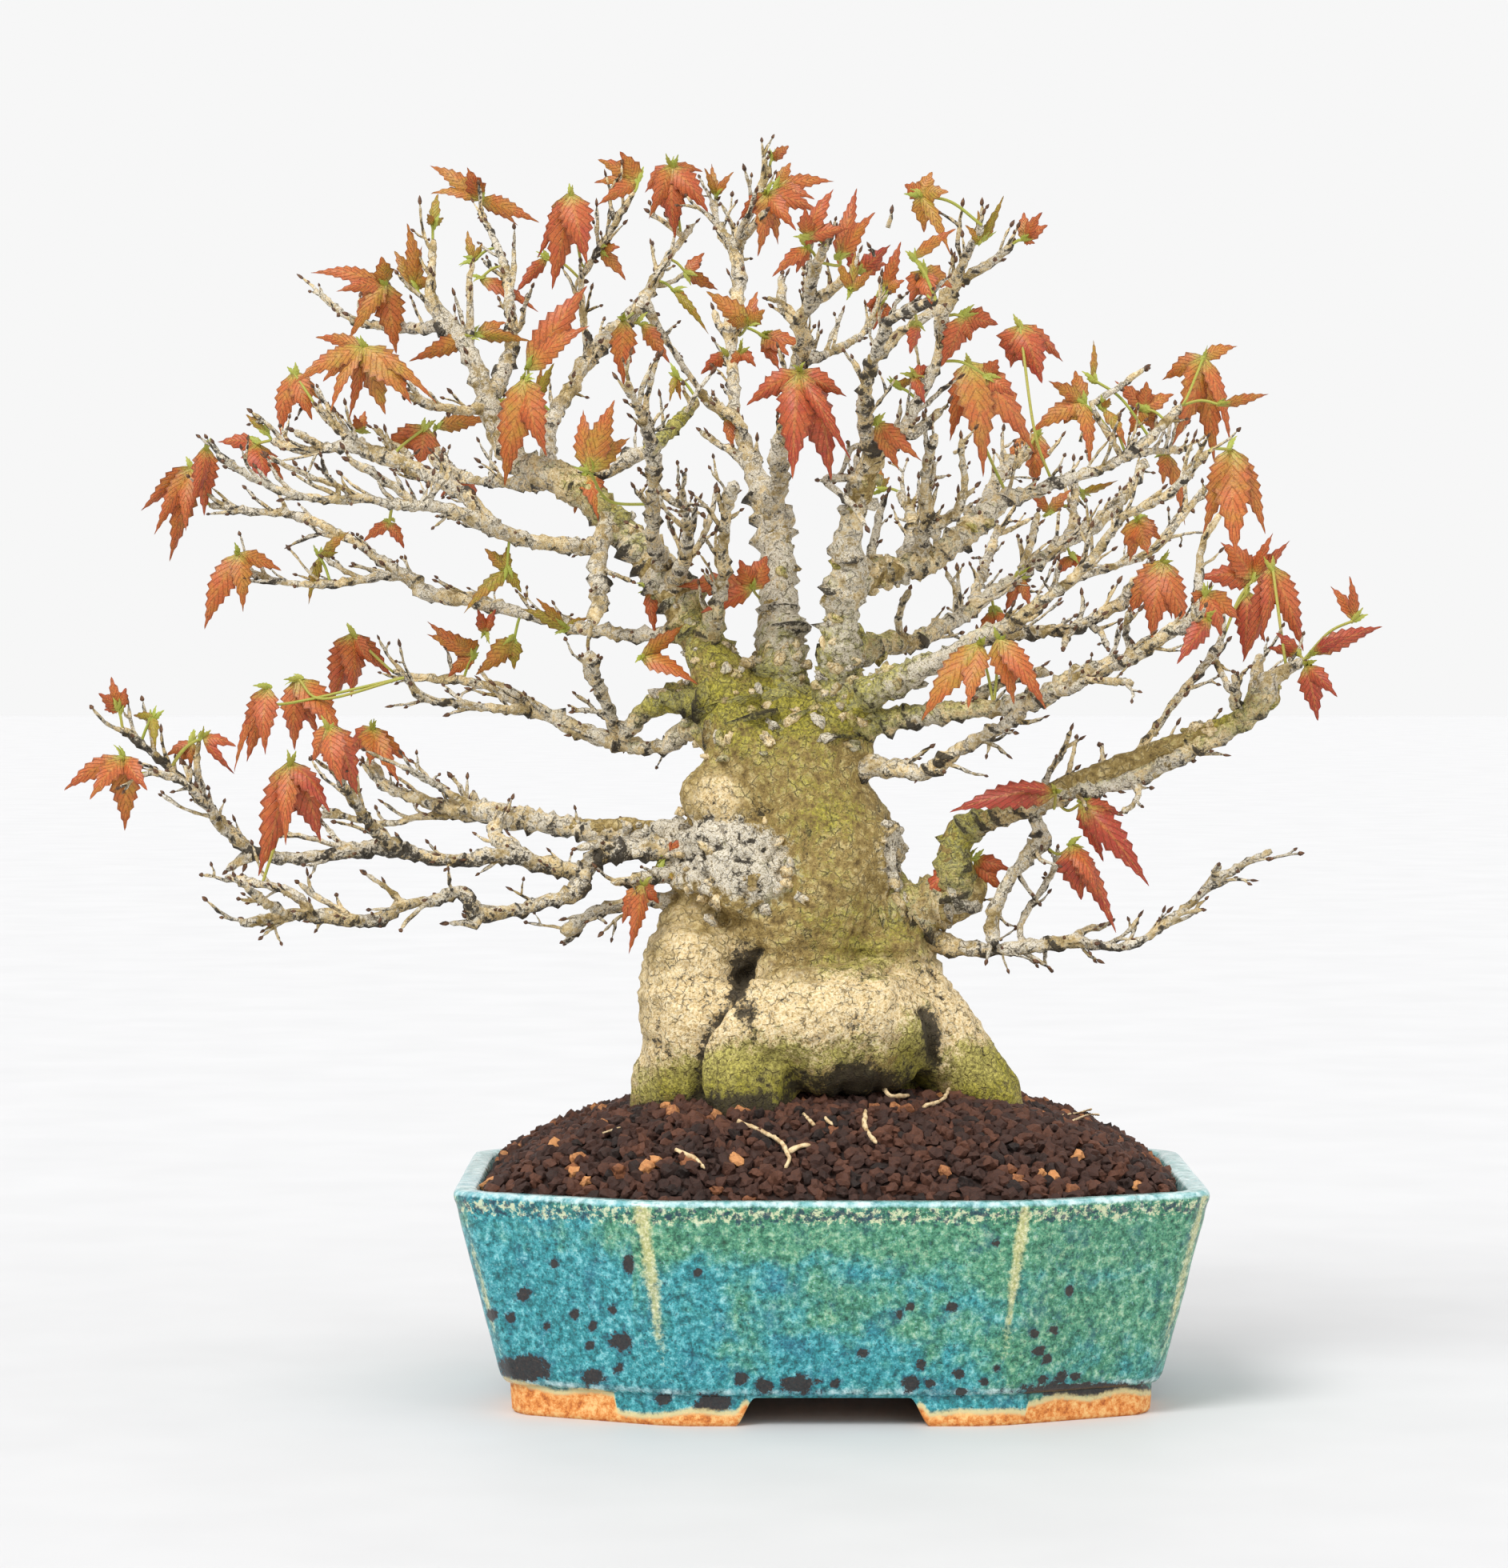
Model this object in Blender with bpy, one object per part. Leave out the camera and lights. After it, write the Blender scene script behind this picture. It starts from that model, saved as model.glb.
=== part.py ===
"""Maple bonsai in a glazed octagonal pot.

One solid trunk with its branches and roots stands in a mound of granular soil. The soil fills a
pot with a foot ring, two drain holes, and a plastic screen and a bent wire clip over each hole.
Young leaf shoots hang from the branch tips, each a solid of its own.

The tree is drawn in a front elevation, in millimetres: x to the right and z up, on the upright
plane through the pot's middle, as seen from EYE. A depth then moves a point along its sight line,
so the tree keeps its outline from the front while its branches spread forward and back.
"""
import math

import bmesh
import bpy
from mathutils import Matrix, Vector
from mathutils.bvhtree import BVHTree

MM = 0.001
GAP = 0.3  # clearance between pieces that touch

# --- pot -------------------------------------------------------------------------------------
POT_WIDTH = 200.0
POT_DEPTH = 157.0
POT_HEIGHT = 60.0
FRONT_FACE_WIDTH = 100.0  # between the seams of the front face
SIDE_FACE_WIDTH = 108.0
RIM_SCALE_INSIDE = 0.935  # the outline shrinks to this share at the rim's inner edge
FOOT_HEIGHT = 8.0
FLOOR_TOP = 14.0
FOOT_SCALE_OUTSIDE = 0.857
FOOT_SCALE_GROUND = 0.85
FOOT_SCALE_INSIDE = 0.76
FOOT_GAP_WIDTH = 40.0  # at the top of the gap; its ends slope outwards to the ground
FOOT_GAP_SLOPE = 5.0
FOOT_GAP_WIDTH_SIDE = 34.0
DRAIN_RADIUS = 9.5
DRAIN_X = 42.0
DRILL_LOW = 4.0  # the drain drill runs between these heights, right through the floor
DRILL_HIGH = 20.0

# --- soil ------------------------------------------------------------------------------------
SOIL_EDGE_Z = 60.0
SOIL_RISE = 23.0
SOIL_STEEPNESS = 2.8
SOIL_EDGE_SCALE = 0.925  # the pot's outline shrinks to this share at the soil's edge
SCREEN_SIDE = 28.0
SCREEN_THICKNESS = 1.0
SCREEN_CELLS = 7  # every second cell is open
WIRE_RADIUS = 0.7
WIRE_BEND = 1.0
WIRE_REACH = 6.0  # of each foot of a clip, beyond the drain hole's edge

# --- tree ------------------------------------------------------------------------------------
EYE = Vector((-20.5, -1355.0, 205.0))  # viewpoint of the front elevation, from the pot's centre
POT_CENTRE = Vector((27.25, -9.86, 0.0))  # the origin is under the middle of the whole object
BALL_SPACING = 4.0
VOXEL = 5.0
SKIN_SHARE = 0.45  # of the trunk skin's faces are kept
LIMB_TOLERANCE = 1.3
LEAF_THICKNESS = 0.8
STEM_WIDTH = 0.9
STEM_LEAST = 1.5  # length of the shortest stalk
LOBE_WIDTH_START = 1.7
LOBE_WIDTH_TIP = 0.5
LOBE_WIDEST = 0.45  # share of a lobe's length at its widest place
LOBE_BOW = 1.5  # towards the viewer

# Rounded masses of the trunk and its root flare: (x, z, depth, radius)
TRUNK_MASSES = [
    [(-38, 127, 0, 9), (-37.5, 115, -6, 14), (-37, 102, -8, 14.5), (-37.5, 86, -6, 14), (-36, 72, -4, 13)],
    [(-48, 86, -4, 7), (-47, 76, -4, 7)],
    [(-22, 98, -18, 14), (-6, 101, -22, 15), (8, 102, -20, 15), (18, 99, -16, 12)],
    [(-24, 92, -20, 12), (-22, 80, -24, 12.5), (-20, 70, -24, 11)],
    [(14, 124, 0, 13), (18, 111, 0, 13), (26, 100, -2, 13), (35, 90, -4, 11.5), (42, 81, -4, 10.5), (45, 72, -4, 9)],
    [(-10, 112, 14, 20), (-8, 96, 20, 22), (8, 94, 20, 20), (-6, 80, 10, 24), (12, 78, 8, 18)],
    [(-10, 124, 0, 20), (-4, 134, 0, 20), (2, 146, 0, 19), (-4, 158, 0, 16.5), (-10, 168, 0, 14)],
    [(-31, 162, -4, 10)],
    [(-30, 146, -8, 8.5), (-22, 138, -12, 9), (-36, 142, -4, 8)],
    [(-22, 174, 0, 12), (-25, 183, 0, 10)],
    [(-6, 174, 0, 12), (-8, 182, 2, 10.5)],
    [(3, 176, -2, 9)],
]

# Main roots in the soil, from the flare outwards: (x, depth, z, radius) from the pot's centre
ROOTS = [
    [(-34, -4, 72, 9), (-48, -6, 62, 6), (-62, -10, 52, 4), (-74, -16, 44, 2.2)],
    [(-20, -24, 70, 8), (-26, -36, 58, 5.5), (-34, -46, 46, 3.5), (-44, -52, 36, 2)],
    [(10, -4, 76, 9), (22, -32, 60, 5), (30, -44, 48, 3.2), (36, -50, 36, 2)],
    [(42, -4, 74, 8), (56, -4, 62, 5.5), (68, -2, 50, 3.8), (76, 4, 40, 2)],
    [(10, 18, 74, 10), (20, 34, 60, 6), (30, 44, 46, 3.6), (44, 50, 36, 2)],
    [(-12, 16, 74, 10), (-26, 32, 60, 6), (-38, 42, 48, 3.6), (-54, 46, 38, 2)],
]

# Bare rootlets on the mound, in the front elevation
ROOTLETS = {
    "surface_rootlet_left": [(-25, 73), (-19, 70.5), (-14.5, 67.5), (-11.5, 64), (-12.5, 60.5)],
    "surface_rootlet_right": [(7, 75), (8.5, 71.5), (10.5, 68.5), (13, 66)],
}
ROOTLET_RADIUS = 0.6

# Limbs: name -> (parent, depth at the tip, [(x, z, radius), ...]). A limb starts at its parent's
# depth; one without a parent starts on the middle plane.
LIMBS = {
    "left_trunk": (None, 38, [
        (-24, 180, 9.5), (-28, 192, 8), (-33.5, 202, 6), (-38.5, 211, 5.2), (-43.5, 220, 5.4),
        (-50, 228, 5), (-57, 236, 4.6), (-64, 243, 4.6), (-71, 248, 4.4), (-78, 250.5, 3.9),
        (-84, 253.5, 3.4), (-89, 258, 3), (-92, 264, 2.8), (-93, 270, 2.8), (-95, 276, 2.6),
        (-98, 283, 2.2), (-101, 288, 2.4), (-105, 292.5, 2.7), (-108.5, 298, 1.7),
        (-108.3, 306, 1), (-108, 314, 1.1)]),
    "middle_trunk": (None, 20, [
        (-8, 176, 10.5), (-12, 188, 8), (-13, 200, 6.8), (-14, 212, 5.6), (-14, 224, 5),
        (-15, 235, 5), (-17, 243, 4.3), (-20, 250, 3), (-22, 257, 2.2)]),
    "right_trunk": (None, -45, [
        (2, 178, 8.5), (3, 188, 6.5), (2, 198, 5), (3, 208, 4.6), (4, 217, 5.2), (6, 224, 4.8),
        (5, 233, 3.6), (7.5, 241, 2.6), (9.5, 249, 2.4), (12.5, 256, 3.2), (18, 260, 2.4),
        (21.5, 264.5, 1.7), (24, 270.5, 1.4), (27, 276, 1.6), (29.5, 281, 1.5), (31, 287, 1.6),
        (31.2, 293, 1.8), (32.5, 299, 2.2), (36, 303, 1.4), (41, 306, 1.2), (46, 309.3, 1),
        (50, 313, 0.8)]),
    # lowest left tier
    "left_pale": (None, 28, [
        (-30, 149, 4.5), (-42, 152.5, 3.4), (-53, 152, 2.6), (-62, 152.3, 2.2), (-70, 153.5, 2.6),
        (-77, 155, 3), (-85, 156.3, 3.2), (-92, 158, 3), (-100, 158.6, 2), (-107, 160, 1.7),
        (-114, 162.3, 1.6), (-120, 164.8, 1.5), (-124, 168, 1.8), (-126, 172, 1.9)]),
    "left_pale_low": ("left_pale", 40, [
        (-88, 157, 2), (-97, 156.6, 1.1), (-105, 157.2, 1), (-113, 156.8, 0.9), (-119, 155, 0.9),
        (-126, 155.4, 0.9), (-132, 156.8, 0.9), (-138, 158.6, 0.8)]),
    "left_pale_high": ("left_pale", 12, [
        (-97, 159.5, 1.6), (-102, 162, 1.1), (-107, 165.2, 0.9), (-113, 168.5, 0.9), (-117, 170.8, 0.8)]),
    "left_dark": (None, -48, [
        (-32, 146, 4.5), (-44, 148, 3.2), (-52, 148, 3), (-58, 147.3, 2.7), (-64, 145.5, 2.6),
        (-68, 142.5, 2.3), (-74, 142.6, 2.1), (-80, 144.3, 2.2), (-85, 146.3, 2.6), (-92, 146, 2.1),
        (-100, 145, 1.9), (-108, 145.5, 1.9), (-115, 147.2, 2), (-121, 148.6, 2.3), (-128, 148, 2.1),
        (-136, 146.3, 1.5), (-144, 145.6, 1.5), (-152, 145.7, 1.7), (-158, 147.5, 1.6),
        (-163, 152, 1.6), (-168, 157.5, 1.5), (-172, 163, 1.2), (-176, 166.5, 1), (-180, 170, 1),
        (-184, 173.5, 1), (-188, 177, 1.1), (-193, 181, 0.9)]),
    "left_dark_twin": ("left_dark", -60, [
        (-159, 148, 1.4), (-166, 153.5, 1.2), (-170, 159.5, 1), (-175, 165, 0.9), (-181, 168.5, 0.8),
        (-187, 168.7, 0.8)]),
    "left_dark_rise": ("left_dark", -66, [
        (-118, 148, 2), (-123, 151.5, 1.5), (-127, 157, 1.4), (-130.5, 162, 1.2), (-134, 167.5, 1.1),
        (-136, 172, 0.9)]),
    "left_dark_link": ("left_dark", 6, [(-86, 147, 1.9), (-91.5, 152, 1.9), (-90, 156.5, 2.2)]),
    "left_lowest": ("left_dark", -62, [
        (-67, 143, 2.2), (-68.5, 138, 2.4), (-71, 135, 2.2), (-76, 133.8, 1.8), (-82, 132, 1.8),
        (-88, 130.8, 1.8), (-93, 130.3, 2.3), (-96.5, 130.5, 2.4), (-98.5, 134, 2.1),
        (-101.5, 136, 1.7), (-107, 134.2, 1.4), (-113, 133, 1.5), (-117.5, 132.3, 1.7),
        (-121, 129.5, 1.8), (-126, 128.3, 1.6), (-132, 128.6, 1.8), (-139, 129.6, 1.9),
        (-145, 130.2, 1.6), (-152, 129, 1.4), (-161, 127.6, 1.3)]),
    "left_lowest_high": ("left_lowest", -44, [
        (-142, 130.5, 1.5), (-145, 134.5, 1.2), (-149, 137, 0.9), (-155, 138.3, 0.9), (-165, 140.5, 0.9)]),
    "left_lowest_mid": ("left_lowest", -78, [
        (-149, 130, 1.3), (-154, 133.3, 1.2), (-157.5, 136, 1.1), (-160, 138.5, 0.9)]),
    "left_cut_stub": (None, -6, [
        (-38, 134, 3), (-52, 134, 1.7), (-57, 132.8, 1.7), (-63, 131, 1.7), (-67.5, 128.8, 1.6),
        (-70.5, 126.3, 2.1), (-73.5, 126, 1.9)]),
    "left_dark_stub": (None, -16, [(-36, 142, 3.5), (-48, 140.5, 1.8), (-54, 139.3, 1.5), (-59.5, 138.8, 0.9)]),
    # second left tier
    "left_second": (None, 55, [
        (-28, 180, 6), (-37, 180.5, 3.2), (-41.5, 179, 2.6), (-43.5, 176, 2), (-48, 175.5, 1.8),
        (-53, 176, 2.3), (-59, 177.5, 2.7), (-65, 179.3, 2.3), (-71, 181.7, 2.1), (-77, 184.7, 2.1),
        (-82, 187, 2.6), (-87, 190, 2.1), (-93, 192.5, 1.3), (-100, 193.8, 1.1), (-108, 194.6, 1),
        (-114, 195.2, 0.9), (-119, 196.5, 0.8)]),
    "left_second_low": ("left_second", 14, [
        (-80, 186, 2), (-87, 186, 1.3), (-95, 186.8, 1.1), (-103, 187.9, 1), (-110, 188.6, 1),
        (-112.5, 190.5, 1.1), (-116, 194.8, 0.8)]),
    "left_second_rise": ("left_second", -4, [
        (-57, 177, 2), (-59.5, 184, 1.6), (-62, 190, 1.5), (-64.5, 195, 2), (-66, 201, 2.2)]),
    "left_moss_limb": (None, 14, [
        (-28, 188, 6), (-41, 189, 4), (-48, 187, 3.4), (-53, 183, 2.6), (-57, 178, 2.2)]),
    # left tiers that grow from the left trunk
    "left_hanging": ("left_trunk", -4, [
        (-59, 238, 3.6), (-62.5, 231, 2.6), (-63, 224, 2.3), (-63, 216, 2.1), (-64, 209, 1.7)]),
    "left_third": ("left_trunk", 66, [
        (-38, 208, 4), (-46, 206.6, 1.9), (-54, 206.3, 1.6), (-62, 207.5, 1.6), (-69, 208.3, 1.7),
        (-76, 210.5, 1.6), (-84, 212.5, 1.7), (-91, 214.3, 2), (-98, 216.2, 2.1), (-105, 216.6, 2),
        (-110, 218, 2.2), (-114, 221.5, 2.3), (-119, 224.3, 1.5), (-125, 228.8, 1.2),
        (-131, 232.6, 1.1), (-137, 235.6, 1.2), (-142, 238, 1.3), (-149, 239.6, 1), (-157, 240, 1),
        (-169, 242, 0.9)]),
    "left_third_low": ("left_third", 34, [
        (-113, 222, 1.8), (-120, 222.8, 1.4), (-128, 221.3, 1.1), (-136, 220.3, 1), (-144, 220.3, 0.9),
        (-151, 221.2, 0.9), (-157, 223, 0.9), (-161, 225.5, 0.8)]),
    "left_fourth": ("left_hanging", -62, [
        (-63, 230.5, 2.4), (-72, 230.8, 2.2), (-80, 231.8, 2), (-87, 234, 2.2), (-93, 236.5, 2.3),
        (-99, 239, 2), (-105, 241, 1.7), (-112, 241.6, 1.4), (-119, 242, 1.2), (-126, 243.6, 1.1),
        (-134, 243.4, 1.1), (-142, 243.8, 1), (-149, 245.5, 0.9), (-156, 248.7, 0.9), (-162, 252, 0.9),
        (-167, 255.5, 0.8)]),
    "left_fifth": ("left_fourth", 18, [
        (-92, 236, 2.2), (-98, 243, 2), (-104, 247.5, 2.2), (-110, 250.3, 2.2), (-117, 253.2, 2.3),
        (-124, 256.3, 2.1), (-130, 257.8, 1.8), (-137, 257.3, 1.3), (-143, 256.6, 1), (-148, 257.8, 1),
        (-152, 259.5, 1.3)]),
    "left_fifth_rise": ("left_fifth", 30, [
        (-126, 257.5, 1.6), (-131.5, 261, 1.2), (-136, 265, 1.1), (-140, 269, 1)]),
    "left_inner": ("left_trunk", 84, [
        (-75, 248.5, 2.6), (-82, 247.6, 1.8), (-90, 248, 1.4), (-97, 248.8, 1.4), (-103, 251, 1.7),
        (-107, 254.5, 1.9), (-109, 258, 1.4)]),
    "left_top_low": ("left_trunk", 2, [
        (-92, 268.5, 2), (-98, 267.6, 1.3), (-104, 268.2, 1.2), (-110, 269.3, 1.1), (-116, 272.5, 0.9)]),
    "left_top_side": ("left_trunk", 78, [
        (-103, 290.5, 2), (-110, 290.2, 1.5), (-117, 290, 1.3), (-124, 290.8, 1), (-131, 293, 0.9),
        (-140, 300.3, 0.8)]),
    "left_top_rise": ("left_trunk", 80, [
        (-92, 272, 2.4), (-88.5, 279, 2.1), (-86.5, 286, 1.9), (-86.8, 294, 1.5), (-87.5, 301, 1.3),
        (-88.5, 307, 1.2), (-90.5, 312, 0.9), (-95, 322, 0.8)]),
    "left_long_rise": ("left_trunk", 92, [
        (-76, 250, 2.8), (-77, 258, 2.1), (-75, 266, 1.9), (-70, 274, 1.9), (-66, 281, 2.1),
        (-61, 286.5, 2.3), (-56, 291, 2.1), (-51, 297, 1.9), (-47.5, 303, 1.4), (-44, 309, 1.1),
        (-40.5, 313.5, 1), (-37.5, 318, 0.8)]),
    "left_long_twin": ("left_long_rise", 30, [
        (-65, 282, 1.6), (-66.8, 290, 1), (-67.5, 297, 0.9), (-67.5, 303, 0.9), (-65.5, 307, 0.9),
        (-62.5, 311.5, 1), (-59, 317.5, 0.9), (-53, 327, 0.8)]),
    "inner_upright": ("left_trunk", -66, [
        (-45, 223, 3), (-48, 234, 2), (-48, 242, 1.9), (-47.7, 250, 1.9), (-48.6, 258, 1.7),
        (-50.5, 264.5, 1.1), (-53, 270, 0.9), (-55, 275.5, 1)]),
    "inner_moss": ("inner_upright", -20, [
        (-49, 257, 2.2), (-43, 262.5, 2), (-39, 266.5, 1.5), (-36, 270.5, 1.4)]),
    "inner_pale": ("left_trunk", -70, [
        (-43, 219, 3), (-39.5, 227, 1.9), (-38.7, 234, 1.3), (-39.5, 240, 1), (-40, 246, 0.8)]),
    "inner_right": ("left_trunk", -42, [
        (-34, 203, 4), (-31, 213, 2.2), (-29, 222, 1.7), (-28.8, 232, 1.5), (-28, 240, 1.5),
        (-26, 248, 1.6)]),
    # crown of the middle trunk
    "crown_left": ("middle_trunk", 70, [
        (-21, 253, 2.4), (-25, 264, 1.8), (-26, 272, 1.5), (-26, 281, 1.6), (-27, 290, 2),
        (-25, 298, 2), (-24.5, 306, 1.9), (-26, 312, 1.6), (-23.5, 317, 1.1), (-21, 322.5, 1),
        (-16.2, 334, 1)]),
    "crown_left_twin": ("crown_left", 92, [(-26, 311, 1.5), (-29, 315.5, 1.3), (-31, 320, 0.9), (-31, 325, 0.8)]),
    "crown_middle": ("middle_trunk", -38, [
        (-16, 238, 3.6), (-14, 248, 2.8), (-14, 256, 2.3), (-12, 263, 2), (-11, 271, 1.9),
        (-9, 279, 2.3), (-7, 285, 2.3), (-8, 292, 2), (-5, 296, 1.6), (0, 300, 1.5), (4.5, 303.5, 1.2)]),
    "crown_middle_low": ("crown_middle", 16, [
        (-8, 281, 1.8), (-2, 282.5, 1.1), (4, 285.3, 1), (9, 288.5, 1), (12, 293, 1.5)]),
    "crown_middle_high": ("crown_middle", -64, [(-5.5, 295, 1.5), (-5, 303, 1.5), (-3, 308, 1.3), (-1, 312.5, 1.2)]),
    "crown_right": ("right_trunk", -88, [
        (12, 255.5, 2.6), (10, 262.5, 2.1), (9.5, 270, 1.8), (10.5, 276.5, 1.6), (12.5, 282.5, 1.5),
        (14.5, 288, 1.6), (17, 292.5, 1.3), (23, 295, 1.3), (29, 297.7, 1.2)]),
    "crown_right_tip": ("right_trunk", -58, [(33, 299.5, 1.8), (35.5, 306, 1.1), (38.5, 312, 1.1), (41.5, 318, 0.9)]),
    # right tiers
    "right_first": ("right_trunk", 44, [
        (4, 219, 4.8), (12, 223.5, 3.8), (20, 224.5, 3.2), (27, 226.5, 3.2), (33, 231, 3.1),
        (39.5, 236.5, 3.4), (45, 241, 3), (49, 243.5, 2.3), (55, 245, 1.6), (61, 247.6, 1.5),
        (68, 249.6, 1.3), (74, 251.5, 1.2), (81, 255.3, 1.3), (87.5, 260, 1.3), (92, 264.5, 1.2),
        (96, 269, 0.9)]),
    "right_first_a": ("right_first", 60, [(20, 224.5, 2.8), (23, 233, 2), (22, 240, 1.4), (19, 245.5, 1)]),
    "right_first_b": ("right_first", -24, [
        (24, 226.5, 2.6), (26.5, 238, 1.8), (26, 246, 1.4), (27, 254, 1.2), (29, 261, 1)]),
    "right_first_c": ("right_first", 72, [(42, 240, 2.4), (45.5, 248, 1.7), (49.5, 253, 2), (54, 256, 1.6)]),
    "right_first_d": ("right_first", 70, [(80, 254.8, 1.3), (86, 256.3, 1), (93, 256.6, 0.9), (99, 257.5, 0.8)]),
    "right_second": ("right_trunk", 104, [
        (2, 198, 5), (7, 202, 4.2), (14, 203.5, 3.2), (21, 204, 2.4), (28, 206.8, 2.2),
        (34, 210.3, 2), (39.5, 213.7, 1.8), (44, 217.5, 1.8), (50, 221, 1.7), (57, 226.3, 1.7),
        (63, 231, 1.9), (69.5, 234.2, 2), (75, 238.3, 1.8), (80, 243.5, 1.7), (83.5, 248.5, 1.4),
        (86.5, 254, 1.3)]),
    "right_second_a": ("right_second", 92, [(39.5, 213.7, 1.7), (41, 221, 1.4), (43.5, 228, 1.3), (46.5, 236, 1)]),
    "right_second_b": ("right_second", 108, [(64, 231.5, 1.7), (67, 236.5, 1.5), (66.5, 241.5, 1), (67.5, 247, 1)]),
    "right_third": ("right_trunk", -84, [
        (2.5, 184, 7), (10, 190, 4.5), (18, 194, 3.8), (25, 197, 3.3), (31, 199.5, 3), (38, 203.3, 2.7),
        (44, 207, 2.2), (50, 209.5, 2.2), (55, 213.3, 1.6), (61, 217.6, 1.4), (67, 222, 1.3),
        (72, 227.5, 1.1), (76, 233.5, 1.1), (81, 239, 1.1), (87, 242, 1), (93, 245, 1),
        (98, 250.5, 1), (103.5, 256.5, 0.9)]),
    "right_third_a": ("right_third", -24, [
        (61, 217.6, 1.3), (70, 222.6, 0.9), (78, 225.4, 0.9), (85, 227.5, 1), (90.5, 231.5, 0.9),
        (95.5, 237.5, 0.9), (103, 247, 0.8)]),
    "right_third_b": ("right_third", -6, [
        (43, 206.5, 2), (52, 206.8, 1.7), (58, 207.4, 1.7), (65, 207.6, 1.6), (71, 210, 1.5),
        (76.5, 213.3, 1.7), (81.5, 217, 1.9), (84, 222, 1.6)]),
    "right_fourth": ("right_trunk", -62, [
        (2, 181, 7), (9, 181.5, 4.2), (16, 183, 3.2), (24, 184, 2.7), (31, 185, 2.6), (38, 186, 2.2),
        (45, 186.8, 2.2), (52, 187.6, 2.3), (58, 189.5, 2.5), (63, 192.5, 2.4), (69, 195.6, 2.3),
        (77, 198.3, 2.1), (84, 201, 1.9), (89, 204.3, 1.8), (95, 208.5, 1.8), (101, 210.7, 1.7)]),
    "right_fourth_low": ("right_fourth", -74, [
        (60, 191, 1.8), (66, 191.6, 1.2), (70, 193.8, 0.9), (76, 193.9, 0.8), (83, 193.4, 0.8)]),
    "right_plain": (None, -33, [
        (0, 172, 7), (11, 170.8, 3.3), (18, 169.8, 2.3), (25, 168.7, 2.1), (29.5, 170.8, 2.1),
        (35, 174.8, 1.9), (42, 178.8, 1.8), (48, 182, 1.7), (53, 186, 1.7)]),
    # lowest right limbs
    "right_stub": (None, -6, [(8, 130, 11), (22, 131, 7.5), (30, 133, 6.8), (36, 134.5, 5.8), (40, 137, 4.4)]),
    "right_low": ("right_stub", -38, [
        (36, 135, 5.4), (34, 143, 4.7), (34.5, 149, 4.3), (38, 153.5, 3.9), (43, 156, 3.2),
        (49, 157.8, 2.7), (55, 159.5, 2.6), (61, 162.3, 2.7), (67, 164.2, 2.8), (73, 165, 2.8),
        (79, 166.5, 2.6), (85, 168.6, 2.4), (91, 171.2, 2.4), (97, 174.4, 2.5), (103, 177.8, 2.7),
        (109, 181.5, 2.9), (115, 185.5, 3.1), (119, 189.5, 3.6), (121.5, 194, 3), (125, 197, 1.7),
        (129.5, 199.5, 1.2)]),
    "right_low_rise": ("right_low", 4, [
        (80, 167, 1.6), (83, 172.5, 1), (87, 178, 0.9), (91.5, 184, 0.9), (96, 190.5, 0.9),
        (100.5, 195.5, 1), (104.5, 200.5, 1.2), (107.5, 205.5, 0.9)]),
    "right_low_end": ("right_low", -28, [(117, 188, 2.4), (116.5, 196, 1.6), (118, 201, 1)]),
    "right_lowest": (None, -22, [
        (14, 127, 8), (24, 124.5, 3.4), (30, 122.3, 2.9), (36, 121, 2.6), (43, 120.6, 1.9),
        (51, 121, 1.9), (59, 121.7, 1.9), (66, 122.4, 2.1), (71, 121.8, 1.4), (78, 121.1, 1),
        (84.5, 122.4, 1.1), (90, 126, 1), (97, 131.3, 1), (102.5, 136.5, 1), (105.5, 139.3, 1.7),
        (109.5, 141.7, 1), (121, 147.5, 0.9)]),
    "right_tie": ("right_low", -8, [
        (56, 160, 2), (57, 155, 1.8), (58, 150, 2.5), (54, 145.5, 2), (50, 140.5, 1.7),
        (47, 135, 1.7), (45, 129, 1.9), (44.3, 121.5, 1.9)]),
}

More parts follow.
